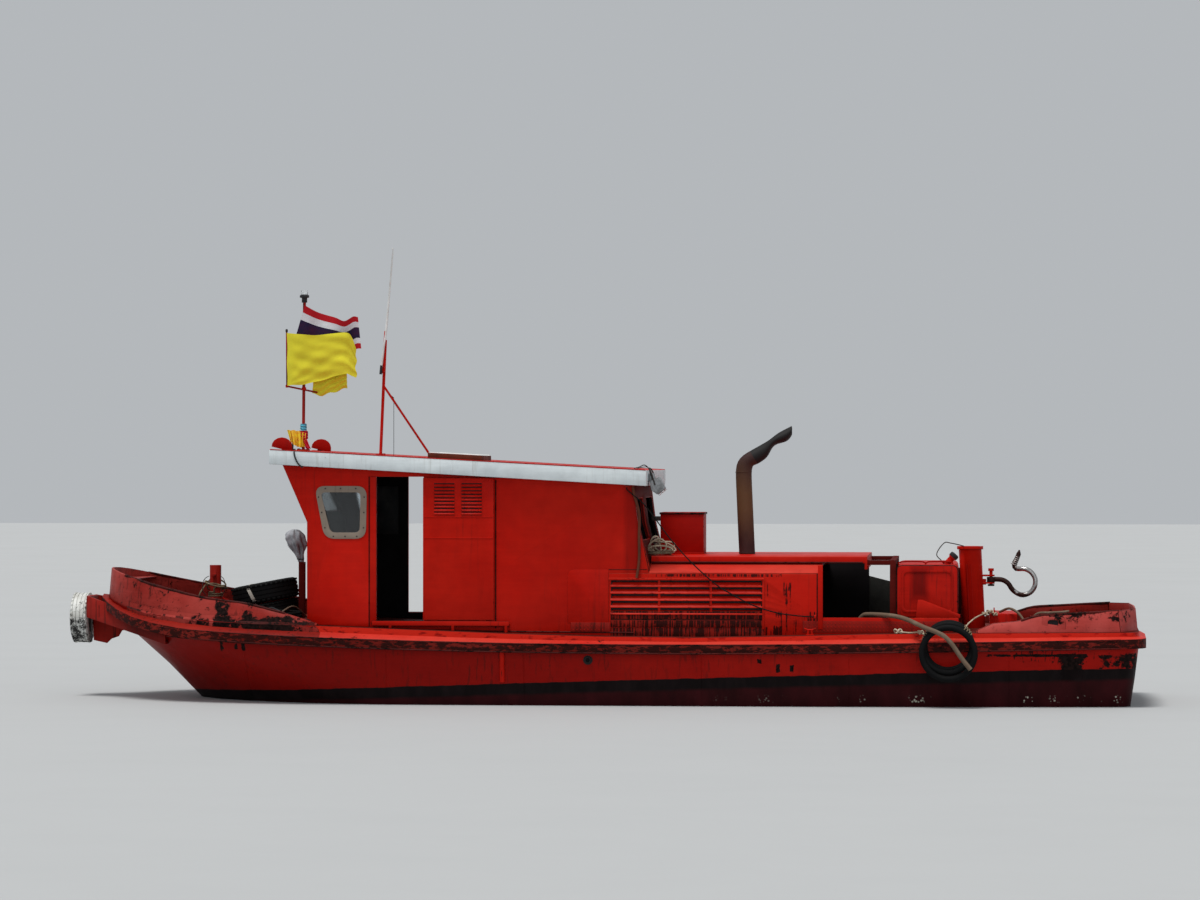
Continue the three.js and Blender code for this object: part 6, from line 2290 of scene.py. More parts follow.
@dataclass
class HatchTop(Assembly):
    """Exhaust pipe and ventilator box that stand on the casing.

    Each ring of the pipe has its forward or upper point, its aft or lower point and its half width.
    """

    rings: tuple[tuple[float, float, float, float, float], ...] = (
        (1.470, 1.738, 1.666, 1.738, 0.098), (1.453, 2.10, 1.650, 2.10, 0.098), (1.437, 2.478, 1.633, 2.478, 0.098),
        (1.427, 2.70, 1.623, 2.70, 0.098), (1.428, 2.79, 1.624, 2.775, 0.098), (1.446, 2.885, 1.636, 2.825, 0.098),
        (1.515, 2.962, 1.650, 2.838, 0.098), (1.60, 3.010, 1.695, 2.850, 0.098), (1.70, 3.066, 1.757, 2.890, 0.099),
        (1.778, 3.110, 1.808, 2.928, 0.100), (1.818, 3.134, 1.842, 2.985, 0.104), (1.862, 3.165, 1.872, 3.055, 0.110),
        (1.930, 3.222, 1.930, 3.100, 0.114), (2.01, 3.266, 2.030, 3.112, 0.114), (2.075, 3.298, 2.086, 3.155, 0.112),
        (2.107, 3.315, 2.112, 3.205, 0.108)
    )

    def stack(self) -> Piece:
        """The pipe as a hollow loft through its rings, pinched above the bend and flared at the mouth.

        Returns:
            The pipe.
        """
        clear()
        bpy.ops.mesh.primitive_grid_add(x_subdivisions=28, y_subdivisions=len(self.rings) - 1, size=2)
        pipe = named("exhaust_stack_pipe")
        for corner in pipe.data.vertices:
            ring = self.rings[round((corner.co.y + 1) / 2 * (len(self.rings) - 1))]
            angle = math.tau * (corner.co.x + 1) / 2
            one, two = Vector((ring[0], 0, ring[1])), Vector((ring[2], 0, ring[3]))
            corner.co = one.lerp(two, 0.5 - 0.5 * math.cos(angle)) + Vector((0, ring[4] * math.sin(angle), 0))
        outward(pipe, 0.0004)
        apply(pipe, "SUBSURF", levels=1, render_levels=1)
        apply(pipe, "SOLIDIFY", thickness=0.007, offset=-1)
        return soften(pipe, 0, angle=50)

    def build(self) -> None:
        """Build the pipe with its weld rings and the box with its lid."""
        pipe = self.put(self.stack(), Finish.EXHAUST)
        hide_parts("exhaust_stack")
        self.repaint(pipe, Finish.BURNT, lambda c, n: c.x + 0.62 * (c.z - 2.90) > 1.655 and c.z > 2.80)
        rings = []
        for foot, aim in (((1.5665, 0, 1.775), (0, 0, 1)), ((1.525, 0, 2.755), (-0.02, 0, 1))):
            rings.append(
                turned(
                    "ring", [(0.090, -0.007), (0.1005, -0.004), (0.1015, 0.0), (0.1005, 0.004), (0.090, 0.007)], foot,
                    aim, 40
                )
            )
        self.put(join("exhaust_rings", rings), Finish.EXHAUST)
        self.refit("vent_box", Finish.BOX, 0.006, edge=Finish.RED_EDGE)
        lid = block("box_lid_lip", (0.496, 0.018, 2.238), (1.047, 0.572, 2.262), 0.004)
        self.put(lid, Finish.EDGE)
        foot = block("box_foot", (0.498, 0.018, 1.757), (1.045, 0.030, 1.778), 0.003)
        self.put(foot, Finish.BOX)
        bracket = block("dark_bracket", (0.400, 0.03, 2.160), (0.515, 0.09, 2.215), 0.006)
        self.put(bracket, Finish.STEEL)


@dataclass
class FuelTank(Assembly):
    """Fuel tank with pressed ribs, its filler, wire and gusset."""

    near: float = -1.25

    def build(self) -> None:
        """Build the tank and what is fixed to it."""
        self.refit("fuel_tank", Finish.TANK, 0.012, edge=Finish.EDGE)
        ribs = []
        outer = [(3.455, 1.095, 0.07), (4.070, 1.095, 0.07), (4.070, 1.600, 0.07), (3.455, 1.600, 0.07)]
        inner = [(3.487, 1.127, 0.05), (4.038, 1.127, 0.05), (4.038, 1.568, 0.05), (3.487, 1.568, 0.05)]
        for side in Side:
            near = side.value * -self.near
            ribs.append(
                ring_plate(
                    "rib", rounded(outer), rounded(inner), View.SIDE,
                    (near - side.value * 0.003, near + side.value * 0.007)
                )
            )
        self.outline(self.put(join("tank_ribs", ribs), Finish.TANK))
        grips = [
            bar(
                "grip",
                smooth(
                    [
                        (x - 0.16, -0.95, 1.656), (x - 0.13, -0.95, 1.690), (x + 0.13, -0.95, 1.690),
                        (x + 0.16, -0.95, 1.656)
                    ],
                    0.02
                ),
                0.010, 10
            ) for x in (3.58, 3.90)
        ]
        self.put(join("tank_grips", grips), Finish.BOX)
        self.refit("filler_neck", Finish.WORN_RED, 0.004)
        aim = (0.66, 0, 0.75)
        cap = turned(
            "filler_cap", [(0, 0.034), (0.040, 0.032), (0.053, 0.022), (0.055, -0.012), (0.050, -0.020), (0.0, -0.020)],
            (4.073, -0.90, 1.757), aim, 32
        )
        self.put(cap, Finish.BLACK)
        wire = [
            (3.955, -0.90, 1.665), (3.925, -0.91, 1.705), (3.872, -0.88, 1.765), (3.895, -0.80, 1.835),
            (3.965, -0.66, 1.912), (4.03, -0.50, 1.905), (4.13, -0.28, 1.880), (4.19, -0.13, 1.8605)
        ]
        self.line(Line("filler_wire", wire, 0.012, 0.012), Finish.STEEL, stiffness="stiff", slot="black_rope")
        corners = [(3.625, 1.035), (3.650, 1.248), (3.703, 1.248), (4.15, 1.075), (4.15, 1.035)]
        gussets = [
            plate("gusset", corners, View.SIDE, (side.value * 1.262, side.value * 1.272), 0.004) for side in Side
        ]
        self.put(join("tank_gussets", gussets), Finish.GUSSET)


@dataclass
class TowGear(Assembly):
    """Tow post and the swinging hook."""

    def build(self) -> None:
        """Build the post with its seam and the hook with its sprung tip."""
        self.refit("tow_post", Finish.WORN_RED, 0.006, edge=Finish.EDGE)
        rows = [(4.317 - 0.0489 * (z - 0.72) - 0.045, -0.130, z) for z in (0.93, 1.1, 1.3, 1.5, 1.64)]
        seams = [bar("post_seam", [(x + shift, y, z) for x, y, z in rows], 0.009, 8) for shift in (0.0, 0.05)]
        self.put(join("post_seams", seams), Finish.BOX)
        web = block("post_web", (4.122, -0.032, 0.92), (4.205, -0.020, 1.60), 0.003)
        self.put(web, Finish.KICK)
        chock = block("clevis_chock", (4.400, -0.028, 1.392), (4.462, 0.028, 1.462), 0.006)
        self.put(chock, Finish.WORN_RED)
        self.refit("tow_hook", Finish.HOOK, 0.005, "tow_hook_body", angle=50)
        coil = []
        aim, turns, steps = Vector((0.40, -0.18, 0.9)).normalized(), 6, 16
        one = aim.cross(Vector((0, 1, 0))).normalized()
        two = aim.cross(one)
        for k in range(turns * steps + 1):
            share, angle = k / (turns * steps), math.tau * k / steps
            spot = Vector((4.798, 0.097, 1.636)).lerp(Vector((4.857, 0.070, 1.768)), share)
            coil.append(spot + (0.036 - 0.016 * share) * (math.cos(angle) * one + math.sin(angle) * two))
        spring = bar("tip_spring", coil, 0.0062, 8)
        self.put(spring, Finish.BRIGHT, "tow_hook_body")
        nut = turned(
            "pin_nut", [(0.019, -0.022), (0.040, -0.022), (0.040, 0.0), (0.019, 0.0)], (4.520, 0, 1.398), (0, 0, 1), 6,
            20
        )
        self.put(nut, Finish.STEEL)


@dataclass
class AftDeck(Assembly):
    """Box, cleats and hoses on the aft deck."""

    def cleat(self, x: float, side: Side) -> Piece:
        """A horn cleat on the deck edge.

        Args:
            x: Its place along the boat.
            side: Side of the boat.

        Returns:
            The cleat.
        """
        y = side.value * 1.60
        floor = self.touch("hull", (x, y, 2.0), (0, 0, -1)).z
        horn = [
            (x - 0.07, y, floor + 0.082), (x - 0.03, y, floor + 0.066), (x + 0.03, y, floor + 0.066),
            (x + 0.07, y, floor + 0.082)
        ]
        legs = [
            bar("leg", [(x + s, y, floor - 0.005), (x + s * 0.8, y, floor + 0.06)], 0.014, 12) for s in (-0.025, 0.025)
        ]
        foot = block("foot", (x - 0.05, y - 0.03, floor - 0.004), (x + 0.05, y + 0.03, floor + 0.010), 0.004)
        return join(f"cleat_{x:.1f}_{side.name}", [bar("horn", smooth(horn, 0.02), 0.010, 12), *legs, foot])

    def build(self) -> None:
        """Build the aft deck's gear."""
        self.refit("aft_deck_box", Finish.WORN_RED, 0.006)
        handle = [
            bar(
                "box_grip",
                [(4.56, y - 0.06, 1.058), (4.56, y - 0.06, 1.095), (4.56, y + 0.06, 1.095), (4.56, y + 0.06, 1.058)],
                0.007, 10
            ) for y in (-0.45, 0.45)
        ]
        self.put(join("box_grips", handle), Finish.WORN_RED)
        cleats = [self.cleat(2.39, side) for side in Side]
        self.put(join("deck_cleats", cleats), Finish.WORN_RED)
        box = 1.061
        hoop = [
            (4.62, -0.50, box + 0.02), (4.73, -0.62, box + 0.065), (4.83, -0.70, box + 0.020),
            (4.90, -0.78, box - 0.07), (4.91, -0.86, 0.925), (4.84, -0.92, 0.900), (4.74, -0.95, 0.895)
        ]
        self.line(Line("aft_hose_loop", hoop, 0.030, 0.012, sides=16), Finish.HOSE, far_end="bare")
        rows = []
        for x, z in ((4.99, 0.93), (5.00, 1.04), (5.06, 1.105), (5.20, 1.113), (5.36, 1.122), (5.42, 1.13)):
            wall = self.skin(x, min(z, 1.03), node="stern_bulwark").y
            rows.append((x, wall + (0.026 if z > 1.05 else 0.055), z))
        self.line(Line("rail_hose", rows, 0.024, 0.012), Finish.HOSE, far_end="bare")


@dataclass
class QuarterFender(Assembly):
    """Three worn tyre hoops hung on the port quarter by ropes."""

    hoops: tuple[tuple[Point, float, float, float], ...] = (
        ((4.012, -1.852, 0.728), 0.274, 0.032, 0.02), ((4.008, -1.886, 0.700), 0.284, 0.034, 0.02),
        ((4.012, -1.920, 0.643), 0.303, 0.0375, -0.01)
    )

    def wraps(self, name: str, middle: Point, along: Point, radius: float, turns: float, pitch: float) -> Piece:
        """Turns of thin rope round a hoop's bar.

        Args:
            name: The piece's name.
            middle: Middle of the turns.
            along: Direction of the bar.
            radius: Radius of a turn.
            turns: Their number.
            pitch: Spacing of the turns.

        Returns:
            The rope.
        """
        ahead = Vector(along).normalized()
        one = ahead.cross(Vector((0, 1, 0))).normalized()
        two = ahead.cross(one)
        rows = []
        for k in range(round(turns * 14) + 1):
            angle, run = math.tau * k / 14, (k / 14 - turns / 2) * pitch
            rows.append(Vector(middle) + run * ahead + radius * (math.cos(angle) * one + math.sin(angle) * two))
        return bar(name, rows, 0.0075, 8)

    def knot(self, spot: Point, size: float) -> Piece:
        """A tight knot of rope.

        Args:
            spot: Its middle.
            size: Half its height.

        Returns:
            The knot.
        """
        rows = []
        for k in range(64):
            t = math.tau * k / 64
            rows.append(
                Vector(spot) + size * Vector((
                    0.5 * (math.sin(t) + 1.4 * math.sin(2 * t)), 0.5 * (math.cos(t) - 1.4 * math.cos(2 * t)),
                    -0.55 * math.sin(3 * t)
                ))
            )
        return bar("knot", rows, 0.0095, 10, closed=True)

    def build(self) -> None:
        """Build the hoops and their lashings."""
        made = []
        for k, (middle, far, tube, tilt) in enumerate(self.hoops):
            rows = []
            for i in range(96):
                turn = math.tau * i / 96
                swell = far * (1 + 0.012 * math.sin(2 * turn + k))
                rows.append(
                    Vector(middle) + Vector((
                        swell * math.cos(turn), tilt * math.sin(turn) * 0.3, swell * math.sin(turn)
                    ))
                )
            made.append(bar(f"hoop_{k}", rows, tube, 16, closed=True))
        fender = self.put(join("fender_hoops", made), Finish.TYRE)
        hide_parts("quarter_fender")
        aft = [
            (4.500, -0.625, 1.085), (4.475, -0.70, 1.085), (4.43, -0.88, 1.072), (4.335, -1.25, 1.040),
            (4.265, -1.60, 1.000), (4.225, -1.80, 0.965), (4.205, -1.875, 0.925)
        ]
        self.line(
            Line("fender_lashing_aft", aft, 0.018, 0.009, strands=3, lay=0.055), Finish.PALE_ROPE, stiffness="limp"
        )
        wall = self.touch("hull", (3.43, -1.66, 2.0), (0, 0, -1)).z
        fore = [
            (3.40, -1.655, wall + 0.012), (3.46, -1.67, wall + 0.020), (3.56, -1.71, wall + 0.014),
            (3.66, -1.78, 0.885), (3.735, -1.835, 0.86)
        ]
        self.line(
            Line("fender_lashing_fore", fore, 0.020, 0.009, strands=3, lay=0.06), Finish.PALE_ROPE, stiffness="limp"
        )
        self.put(
            join(
                "lashing_knots",
                [
                    self.knot((3.425, -1.665, wall + 0.030), 0.042), self.knot((4.505, -0.645, 1.085), 0.034),
                    self.knot((4.440, -0.86, 1.070), 0.026), self.knot((4.560, -0.655, 1.060), 0.026),
                    self.knot((3.69, -1.80, 0.885), 0.030)
                ]
            ),
            Finish.PALE_ROPE
        )
        bands = []
        for turn, count, span in ((152, 3.4, 0.026), (45, 3.2, 0.034), (33, 1.3, 0.03)):
            angle = math.radians(turn)
            for middle, far, tube, _ in self.hoops[:2]:
                spot = Vector(middle) + far * Vector((math.cos(angle), 0, math.sin(angle)))
                bands.append(
                    self.wraps("band", spot, (-math.sin(angle), 0, math.cos(angle)), tube + 0.006, count, span)
                )
        self.put(join("hoop_bands", bands), Finish.OLD_ROPE)


@dataclass
class FlagMast(Assembly):
    """Mast with its lamp, yard and cloths."""

    def mast(self) -> None:
        """Mast, lamp, base bolts and finials."""
        mast = self.refit("flag_mast", Finish.WORN_RED, 0.002, angle=45)
        self.repaint(mast, Finish.BLACK, lambda c, n: c.z > 4.815)
        self.repaint(mast, Finish.LENS, lambda c, n: c.z > 4.927)
        self.repaint(mast, Finish.KNEE, lambda c, n: c.z < 4.815)
        collar = turned(
            "lamp_collar", [(0.030, -0.03), (0.057, -0.022), (0.0585, 0.0), (0.052, 0.006), (0.030, 0.006)],
            (-3.871, 0, 4.917), (0, 0, 1), 36
        )
        self.put(collar, Finish.BLACK)
        spots = [
            (-3.885 + 0.055 * u, 0.055 * v, self.touch("flag_mast", (-3.885 + 0.055 * u, 0.055 * v, 4), (0, 0, -1)).z)
            for u in (-1, 1) for v in (-1, 1)
        ]
        self.put(bolts("mast_bolts", spots, (0, 0, 1), 0.009), Finish.STEEL)
        tops = turned(
            "finial", [(0, 0.03), (0.012, 0.024), (0.016, 0.008), (0.013, -0.01), (0, -0.01)], (-4.092, 0, 4.482),
            (0, 0, 1), 20
        )
        self.put(tops, Finish.STEEL)
        clamps = [
            turned(
                "clamp", [(0.018, -0.018), (0.027, -0.018), (0.027, 0.018), (0.018, 0.018)], (-3.8765, 0, 3.776),
                (0, 0, 1), 24
            ),
            turned(
                "clamp", [(0.009, -0.015), (0.018, -0.015), (0.018, 0.015), (0.009, 0.015)], (-4.088, 0, 3.808),
                (0, 0, 1), 24
            )
        ]
        self.put(join("yard_clamps", clamps), Finish.WORN_RED)

    def cloth(
        self, fabric: Fabric, finish: Finish, flat: Flat, node: str = "", held: str = "gathered",
        rests: str = "flag_mast_shell"
    ) -> None:
        """Args:
            fabric: The cloth.
            finish: Its finish.
            flat: Width and length of the cut; not used.
            node: The solid it stands for, if any.
            held: How it is held; not used.
            rests: What it hangs from; not used.
        """
        piece = self.put(fabric.build(), finish)
        if node:
            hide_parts(node)

    def flags(self) -> None:
        """The striped flag and the two yellow ones."""

        def fly(u: float, v: float) -> Vector:
            """Waves that grow towards the free end.

            Args:
                u: Share of the way from the hoist to the free end.
                v: Share of the way up.

            Returns:
                The shift of the cloth there.
            """
            swell = 0.034 * min(1, 2.2 * max(0.0, u - 0.12))
            return Vector((
                0.006 * math.sin(9 * u + 2 * v), swell * math.sin(9.5 * u - 1.8 * v + 0.4), 0.010 * u * math.sin(7 * u)
            ))

        def hang(u: float, v: float) -> Vector:
            """Fine creases at the hoist and one broad billow.

            Args:
                u: Share of the way from the hoist to the free end.
                v: Share of the way up.

            Returns:
                The shift of the cloth there.
            """
            low = 1 - v
            crease = 0.003 * math.sin(24 * (v + 0.5 * u)) + 0.004 * min(1, 4 * u) * math.sin(
                13 * math.atan2(v + 0.03, u + 0.06)
            )
            billow = 0.020 * u * math.sin(6.0 * u + 3 * v) + 0.010 * noise.noise(Vector((4 * u, 5 * v, 2)))
            return Vector((
                0.004 * math.sin(11 * v) + 0.008 * u * math.sin(14 * v), min(1, 6 * u) * (crease + billow) - 0.010,
                0.004 * low * math.sin(21 * u)
            ))

        def droop(u: float, v: float) -> Vector:
            """Soft folds that run down to the free end."""
            fold = 0.014 * math.sin(10 * u + 3 * v) * min(1, 3 * u) + 0.007 * math.sin(21 * (v - 0.6 * u))
            return Vector((0, fold, 0.010 * (1 - v) * math.sin(16 * u)))

        self.cloth(
            Fabric(
                "striped_flag",
                [
                    (-3.871, -0.026, 4.803), (-3.80, -0.018, 4.762), (-3.70, 0, 4.712), (-3.60, 0.006, 4.680),
                    (-3.48, 0.008, 4.650), (-3.38, 0.01, 4.612), (-3.27, 0.01, 4.662), (-3.21, 0.02, 4.648)
                ],
                [
                    (-4.020, -0.034, 4.265), (-3.90, -0.038, 4.245), (-3.75, -0.020, 4.215), (-3.60, 0, 4.195),
                    (-3.45, 0.01, 4.190), (-3.33, 0.02, 4.212), (-3.235, 0.02, 4.262), (-3.172, 0.03, 4.262)
                ],
                fly, 84, 40
            ),
            Finish.FLAG, (0.48, 0.78), "national_flag", "hung"
        )
        self.cloth(
            Fabric(
                "upper_yellow_cloth",
                [
                    (-4.084, -0.003, 4.462), (-4.0, -0.050, 4.452), (-3.86, -0.082, 4.440), (-3.72, -0.082, 4.430),
                    (-3.52, -0.080, 4.450), (-3.34, -0.074, 4.462), (-3.28, -0.05, 4.405), (-3.228, -0.03, 4.26)
                ],
                [
                    (-4.082, -0.003, 3.812), (-4.0, -0.048, 3.818), (-3.86, -0.070, 3.830), (-3.72, -0.074, 3.858),
                    (-3.50, -0.072, 3.918), (-3.345, -0.066, 3.962), (-3.28, -0.05, 3.93), (-3.226, -0.03, 3.905)
                ],
                hang, 90, 64
            ),
            Finish.YELLOW, (0.60, 0.90), "upper_yellow_flag", "hung"
        )
        self.cloth(
            Fabric(
                "lower_yellow_cloth",
                [
                    (-3.752, -0.01, 3.962), (-3.66, -0.01, 3.972), (-3.55, -0.01, 3.985), (-3.44, -0.01, 3.995),
                    (-3.345, -0.01, 3.985)
                ],
                [
                    (-3.775, 0, 3.722), (-3.70, 0, 3.690), (-3.62, 0, 3.704), (-3.52, 0, 3.728), (-3.42, 0, 3.762),
                    (-3.338, 0, 3.782)
                ],
                droop, 60, 26
            ),
            Finish.YELLOW, (0.27, 0.44), "lower_yellow_flag", "hung"
        )

    def sash(self) -> None:
        """The cloths tied round the foot of the mast."""
        x = -3.884

        def round_mast(radius: float, wave: float, count: float) -> Callable[[float, float], Vector]:
            """How a strip of cloth lies round the mast.

            Args:
                radius: Distance from the mast's axis.
                wave: Depth of the folds.
                count: Their number.

            Returns:
                The function that moves each point.
            """
            def fold(u: float, v: float) -> Vector:
                """The cloth's place round the mast.

                Args:
                    u: Share of the way round.
                    v: Share of the way up.

                Returns:
                    The shift of the cloth there.
                """
                far = radius + wave * math.sin(count * math.tau * u + 2.5 * v) + 0.006 * math.sin(17 * v + 3 * u)
                angle = math.tau * u
                return Vector((far * math.cos(angle), far * math.sin(angle), 0.004 * math.sin(9 * angle)))
            return fold

        self.cloth(
            Fabric("sky_wrap", [(x, 0, 3.345)] * 2, [(x, 0, 3.262)] * 2, round_mast(0.034, 0.003, 6), 48, 10),
            Finish.SKY, (0.09, 0.23)
        )
        fold = round_mast(0.046, 0.008, 7)
        self.cloth(
            Fabric("scarlet_knot", [(x, 0, 3.258)] * 2, [(x, 0, 3.160)] * 2, fold, 72, 14), Finish.SCARLET,
            (0.11, 0.36), "mast_cloth"
        )

        def pleats(u: float, v: float) -> Vector:
            """Close pleats that open downwards.

            Args:
                u: Share of the way along the cloth.
                v: Share of the way up.

            Returns:
                The shift of the cloth there.
            """
            low = 1 - v
            return Vector((
                0.006 * math.sin(19 * u), (0.012 + 0.018 * low) * math.sin(34 * u + 1.5 * v) - 0.048,
                0.004 * math.sin(23 * u)
            ))

        self.cloth(
            Fabric(
                "gold_sash", [(-4.080, 0, 3.268), (-3.97, 0, 3.262), (-3.845, 0, 3.232)],
                [(-4.035, 0, 3.115), (-3.95, 0, 3.062), (-3.862, 0, 3.060)], pleats, 80, 26
            ),
            Finish.GOLD, (0.30, 0.34), rests="scarlet_knot"
        )
        self.cloth(
            Fabric(
                "scarlet_tail", [(-3.880, -0.045, 3.17), (-3.840, -0.045, 3.17)],
                [(-3.850, -0.05, 3.045), (-3.785, -0.05, 3.040)],
                lambda u, v: Vector((0, 0.008 * math.sin(9 * u + 6 * v), 0)), 16, 24
            ),
            Finish.SCARLET, (0.045, 0.16), rests="scarlet_knot"
        )

    def build(self) -> None:
        """Build the mast and its cloths."""
        self.mast()
        self.flags()
        self.sash()


@dataclass
class RoofGear(Assembly):
    """Radio mast, lamp screens, solar panel and floodlight."""

    def aerial(self) -> None:
        """Radio mast with its whip, stay line and foot."""
        mast = self.refit("radio_mast", Finish.WORN_RED, 0.002, angle=45)
        self.repaint(mast, Finish.PALE, lambda c, n: c.z > 4.40)
        foot = self.touch("wheelhouse_roof", (-2.765, 0, 4), (0, 0, -1)).z
        stay = bar("stay_line", [(-2.765, 0, 3.655), (-2.765, 0, foot + 0.002)], 0.003, 8)
        self.put(stay, Finish.BLACK_ROPE)
        clip = bar("stay_clip", [(-2.80, 0, 3.69), (-2.765, 0, 3.66)], 0.006, 8)
        self.put(clip, Finish.STEEL)
        rod = [
            (-2.915, -0.034, 4.02), (-2.902, -0.034, 4.14), (-2.885, -0.033, 4.28), (-2.868, -0.026, 4.40),
            (-2.855, -0.008, 4.50), (-2.8415, 0, 4.65), (-2.8285, 0, 4.80), (-2.807, 0, 5.05), (-2.786, 0, 5.29),
            (-2.770, 0, 5.47)
        ]
        radii = [0.013, 0.013, 0.012, 0.011, 0.010, 0.009, 0.008, 0.0065, 0.005, 0.004]
        self.put(bar("whip_base", rod, radii, 12), Finish.PALE)
        grip = bar("whip_grip", [(-2.924, -0.034, 3.95), (-2.914, -0.034, 4.06)], 0.016, 12)
        clamp = bar("whip_clamp", [(-2.920, -0.036, 3.985), (-2.890, 0, 3.985)], 0.009, 10)
        self.put(join("whip_mount", [grip, clamp]), Finish.BLACK)

    def lamps(self) -> None:
        """Side light screens with their lamps, and the small forward lamp."""
        for node, x, side in (
            ("port_light_screen", -3.92, Side.PORT), ("starboard_light_screen", -3.865, Side.STARBOARD)
        ):
            self.refit(node, Finish.BOX, 0.004)
            x, y = (-3.795, -1.37) if side is Side.PORT else (x, 1.36)
            roof = self.touch("wheelhouse_roof", (x - 0.02, y, 4), (0, 0, -1)).z
            lamp = turned(
                "side_lamp",
                [(0, 0), (0.036, 0), (0.038, 0.018), (0.030, 0.022), (0.032, 0.066), (0.020, 0.082), (0, 0.084)],
                (x - 0.02, y, roof), (0, 0, 1), 28
            )
            self.put(join(f"side_lamp_{side.name.lower()}", [lamp]), Finish.BLACK)
        roof = self.touch("wheelhouse_roof", (-3.99, -0.9, 4), (0, 0, -1)).z
        shell = turned(
            "fore_lamp",
            [(0, 0.03), (0.024, 0.026), (0.032, 0.006), (0.032, -0.024), (0.026, -0.03), (0.022, -0.024), (0, -0.022)],
            (-3.995, -0.9, roof + 0.042), (1, 0, 0), 28
        )
        leg = block("fore_lamp_leg", (-4.003, -0.912, roof - 0.002), (-3.985, -0.888, roof + 0.022), 0.002)
        self.put(join("fore_lamp_shell", [shell, leg]), Finish.BLACK)
        lens = turned(
            "fore_lamp_lens", [(0, -0.021), (0.024, -0.023), (0.018, -0.032), (0, -0.036)],
            (-3.995, -0.9, roof + 0.042), (1, 0, 0), 28
        )
        self.put(lens, Finish.LENS)

    def panel(self) -> None:
        """Solar panel with its frame and cells."""
        low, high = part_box("solar_panel")
        shell = self.refit("solar_panel", Finish.PALE, 0.003)
        self.repaint(shell, Finish.PIPE, lambda c, n: n.z < 0.5)
        z = [self.touch("solar_panel", (x, low.y + 0.02, 5), (0, 0, -1)).z for x in (low.x + 0.02, high.x - 0.02)]
        lips = [
            bar("lip", [(low.x + 0.02, y, z[0] - 0.001), (high.x - 0.02, y, z[1] - 0.001)], 0.009, 8)
            for y in (low.y + 0.010, high.y - 0.010)
        ]
        self.put(join("panel_lips", lips), Finish.PALE)
        corner = [self.touch("solar_panel", (x, 0, 5), (0, 0, -1)).z for x in (low.x + 0.02, high.x - 0.02)]
        slope = (corner[1] - corner[0]) / (high.x - low.x - 0.04)
        cells = []
        across, deep = (high.x - low.x - 0.05) / 4, (high.y - low.y - 0.05) / 6
        cell = block("cell", (0.006, 0.006, -0.002), (across - 0.006, deep - 0.006, 0.0012), 0.0008)
        for i in range(4):
            for k in range(6):
                twin = copy(cell, "cell_copy", (low.x + 0.025 + i * across, low.y + 0.025 + k * deep, 0))
                for spot in twin.data.vertices:
                    spot.co.z += corner[0] + (spot.co.x - low.x - 0.02) * slope
                cells.append(twin)
        bpy.data.objects.remove(cell)
        self.put(join("solar_cells", cells), Finish.CELLS)

    def flood(self) -> None:
        """Floodlight at the roof's aft edge with its stirrup and lens."""
        self.refit("floodlight", Finish.GREY, 0.004)
        stirrup = [
            (0.545, -1.372, 2.60), (0.52, -1.372, 2.69), (0.49, -1.345, 2.775), (0.47, -1.28, 2.80),
            (0.47, -1.16, 2.80), (0.49, -1.095, 2.775), (0.52, -1.068, 2.69), (0.545, -1.068, 2.60)
        ]
        self.put(bar("flood_stirrup", smooth(stirrup, 0.02), 0.008, 10), Finish.STEEL)
        tail = [
            (0.50, -1.22, 2.655), (0.48, -1.25, 2.74), (0.455, -1.30, 2.81), (0.40, -1.32, 2.815), (0.33, -1.30, 2.797)
        ]
        self.line(Line("flood_cable", tail, 0.009, 0.008), Finish.BLACK, stiffness="stiff", slot="black_rope")
        loop = [
            (0.51, -1.30, 2.64), (0.50, -1.36, 2.72), (0.47, -1.38, 2.80), (0.42, -1.40, 2.84), (0.36, -1.42, 2.815),
            (0.30, -1.43, 2.80)
        ]
        self.line(Line("flood_loop", loop, 0.012, 0.008), Finish.BLACK, stiffness="stiff", slot="black_rope")
        lens = plate(
            "flood_lens", [(0.590, 2.478), (0.672, 2.548), (0.664, 2.556), (0.582, 2.486)], View.SIDE, (-1.345, -1.095),
            0.001
        )
        self.put(lens, Finish.LENS)

    def build(self) -> None:
        """Build what stands on the roof."""
        self.aerial()
        self.lamps()
        self.panel()
        self.flood()


@dataclass
class SternGear(Assembly):
    """Propeller and rudder."""

    def build(self) -> None:
        """Refit both under the water."""
        self.refit("propeller", Finish.BRONZE, 0.003, "propeller_body", angle=45)
        self.refit("rudder", Finish.WORN_RED, 0.004, "rudder_body", slot="rusty_steel")


# ---------------------------------------------------------------- studio


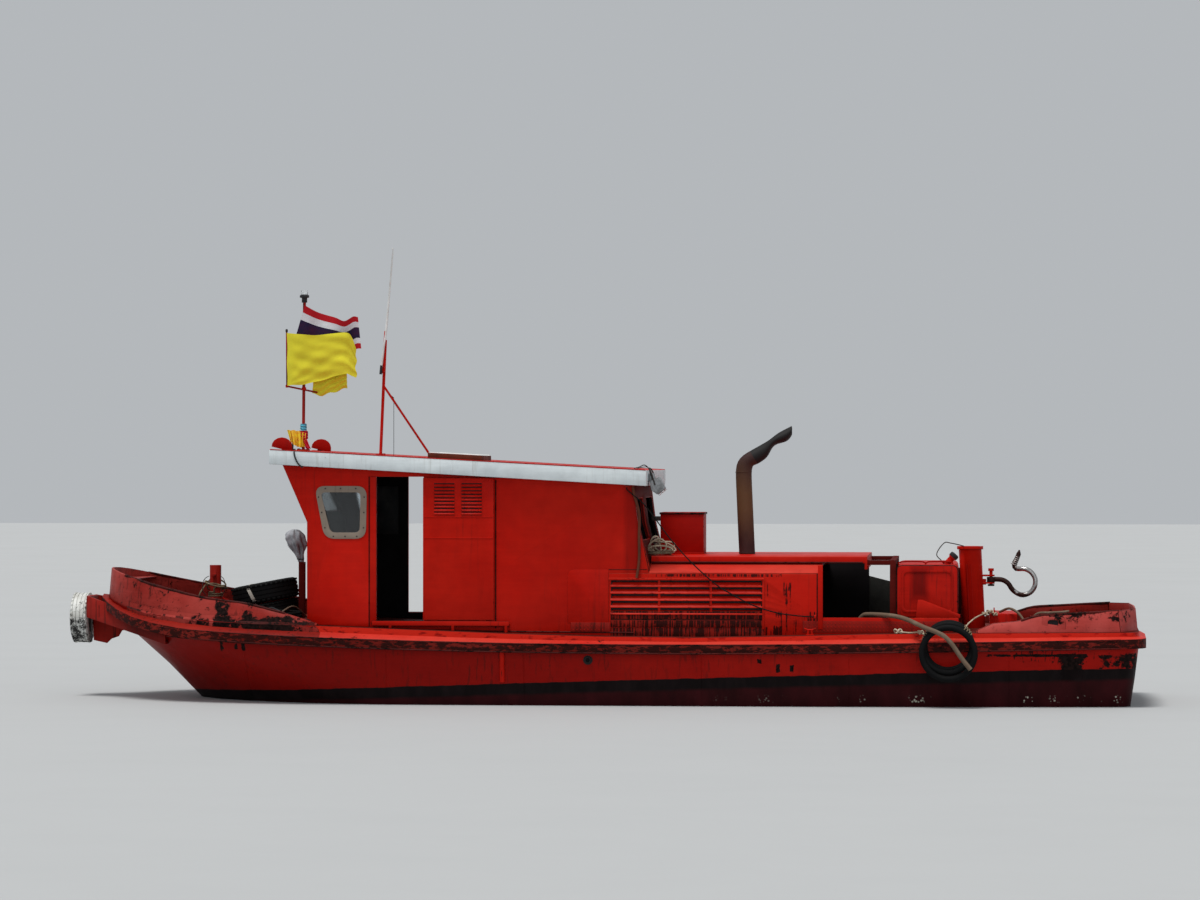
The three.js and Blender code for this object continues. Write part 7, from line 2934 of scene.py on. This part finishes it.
@dataclass(frozen=True)
class Studio:
    """Camera, lights and floor.

    The camera's place and lens come from the picture's own measures.
    """

    target: float = -0.229
    distance: float = 50.75
    height: float = 2.84
    azimuth: float = 5.0
    pitch: float = 0.2066
    lens: float = 124.8
    floor_size: float = 300.0

    def camera(self) -> None:
        """The camera, level with the wheelhouse, to port and slightly abaft."""
        turn = math.radians(self.azimuth)
        place = (self.target + self.distance * math.sin(turn), -self.distance * math.cos(turn), self.height)
        bpy.ops.object.camera_add(location=place, rotation=(math.radians(90 + self.pitch), 0, turn))
        camera = bpy.context.object
        camera.name = "camera"
        camera.data.sensor_width, camera.data.sensor_fit = 36, "HORIZONTAL"
        camera.data.lens = self.lens
        camera.data.clip_end = 600
        bpy.context.scene.camera = camera

    def lamp(self, name: str, aim: Point, energy: float, spread: float, tone: Colour) -> None:
        """A distant lamp that shines along aim, with soft shadows.

        Args:
            name: The lamp's name.
            aim: Where its light goes.
            energy: Its strength.
            spread: Angle in degrees of its disc.
            tone: Its colour.
        """
        bpy.ops.object.light_add(type="SUN")
        light = bpy.context.object
        light.name = name
        light.rotation_mode = "QUATERNION"
        light.rotation_quaternion = Vector((0, 0, -1)).rotation_difference(Vector(aim))
        light.data.energy, light.data.angle, light.data.color = energy, math.radians(spread), tone

    def build(self) -> None:
        """Floor, sky and lamps."""
        bpy.ops.mesh.primitive_plane_add(size=self.floor_size, location=(0, 0, 0))
        floor = named("floor")
        settle(floor)
        floor.data.materials.append(
            Plain("floor_paint", (0.42, 0.43, 0.435), (0.40, 0.41, 0.415), (0.7, 0.8), 0.5, 0.4).make()
        )
        world = bpy.data.worlds.new("studio_sky")
        bpy.context.scene.world = world
        world.use_nodes = True
        sky = world.node_tree.nodes["Background"].inputs
        sky["Color"].default_value, sky["Strength"].default_value = (0.88, 0.92, 0.96, 1), 0.52
        self.lamp("key_lamp", (0.16, 0.22, -0.94), 2.7, 22, (1.0, 0.98, 0.95))
        self.lamp("fill_lamp", (-0.30, 0.80, -0.40), 0.35, 50, (0.92, 0.96, 1.0))
        bpy.context.scene.view_settings.view_transform = "Standard"


def main() -> None:
    """Build the boat piece by piece, in order."""
    logging.basicConfig(level=logging.INFO, format="%(name)s %(message)s")
    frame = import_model()
    clear()
    studio = Studio()
    studio.camera()
    parts = (
        Lines, Hull, BowFender, Foredeck, Wheelhouse, Casing, HatchTop, FuelTank, TowGear, AftDeck, QuarterFender,
        FlagMast, RoofGear, SternGear
    )
    for part in parts:
        part(frame["nodes"]).build()
        LOG.info("%s is built", part.__name__)
    studio.build()
    clear()


if __name__ == "__main__":
    main()
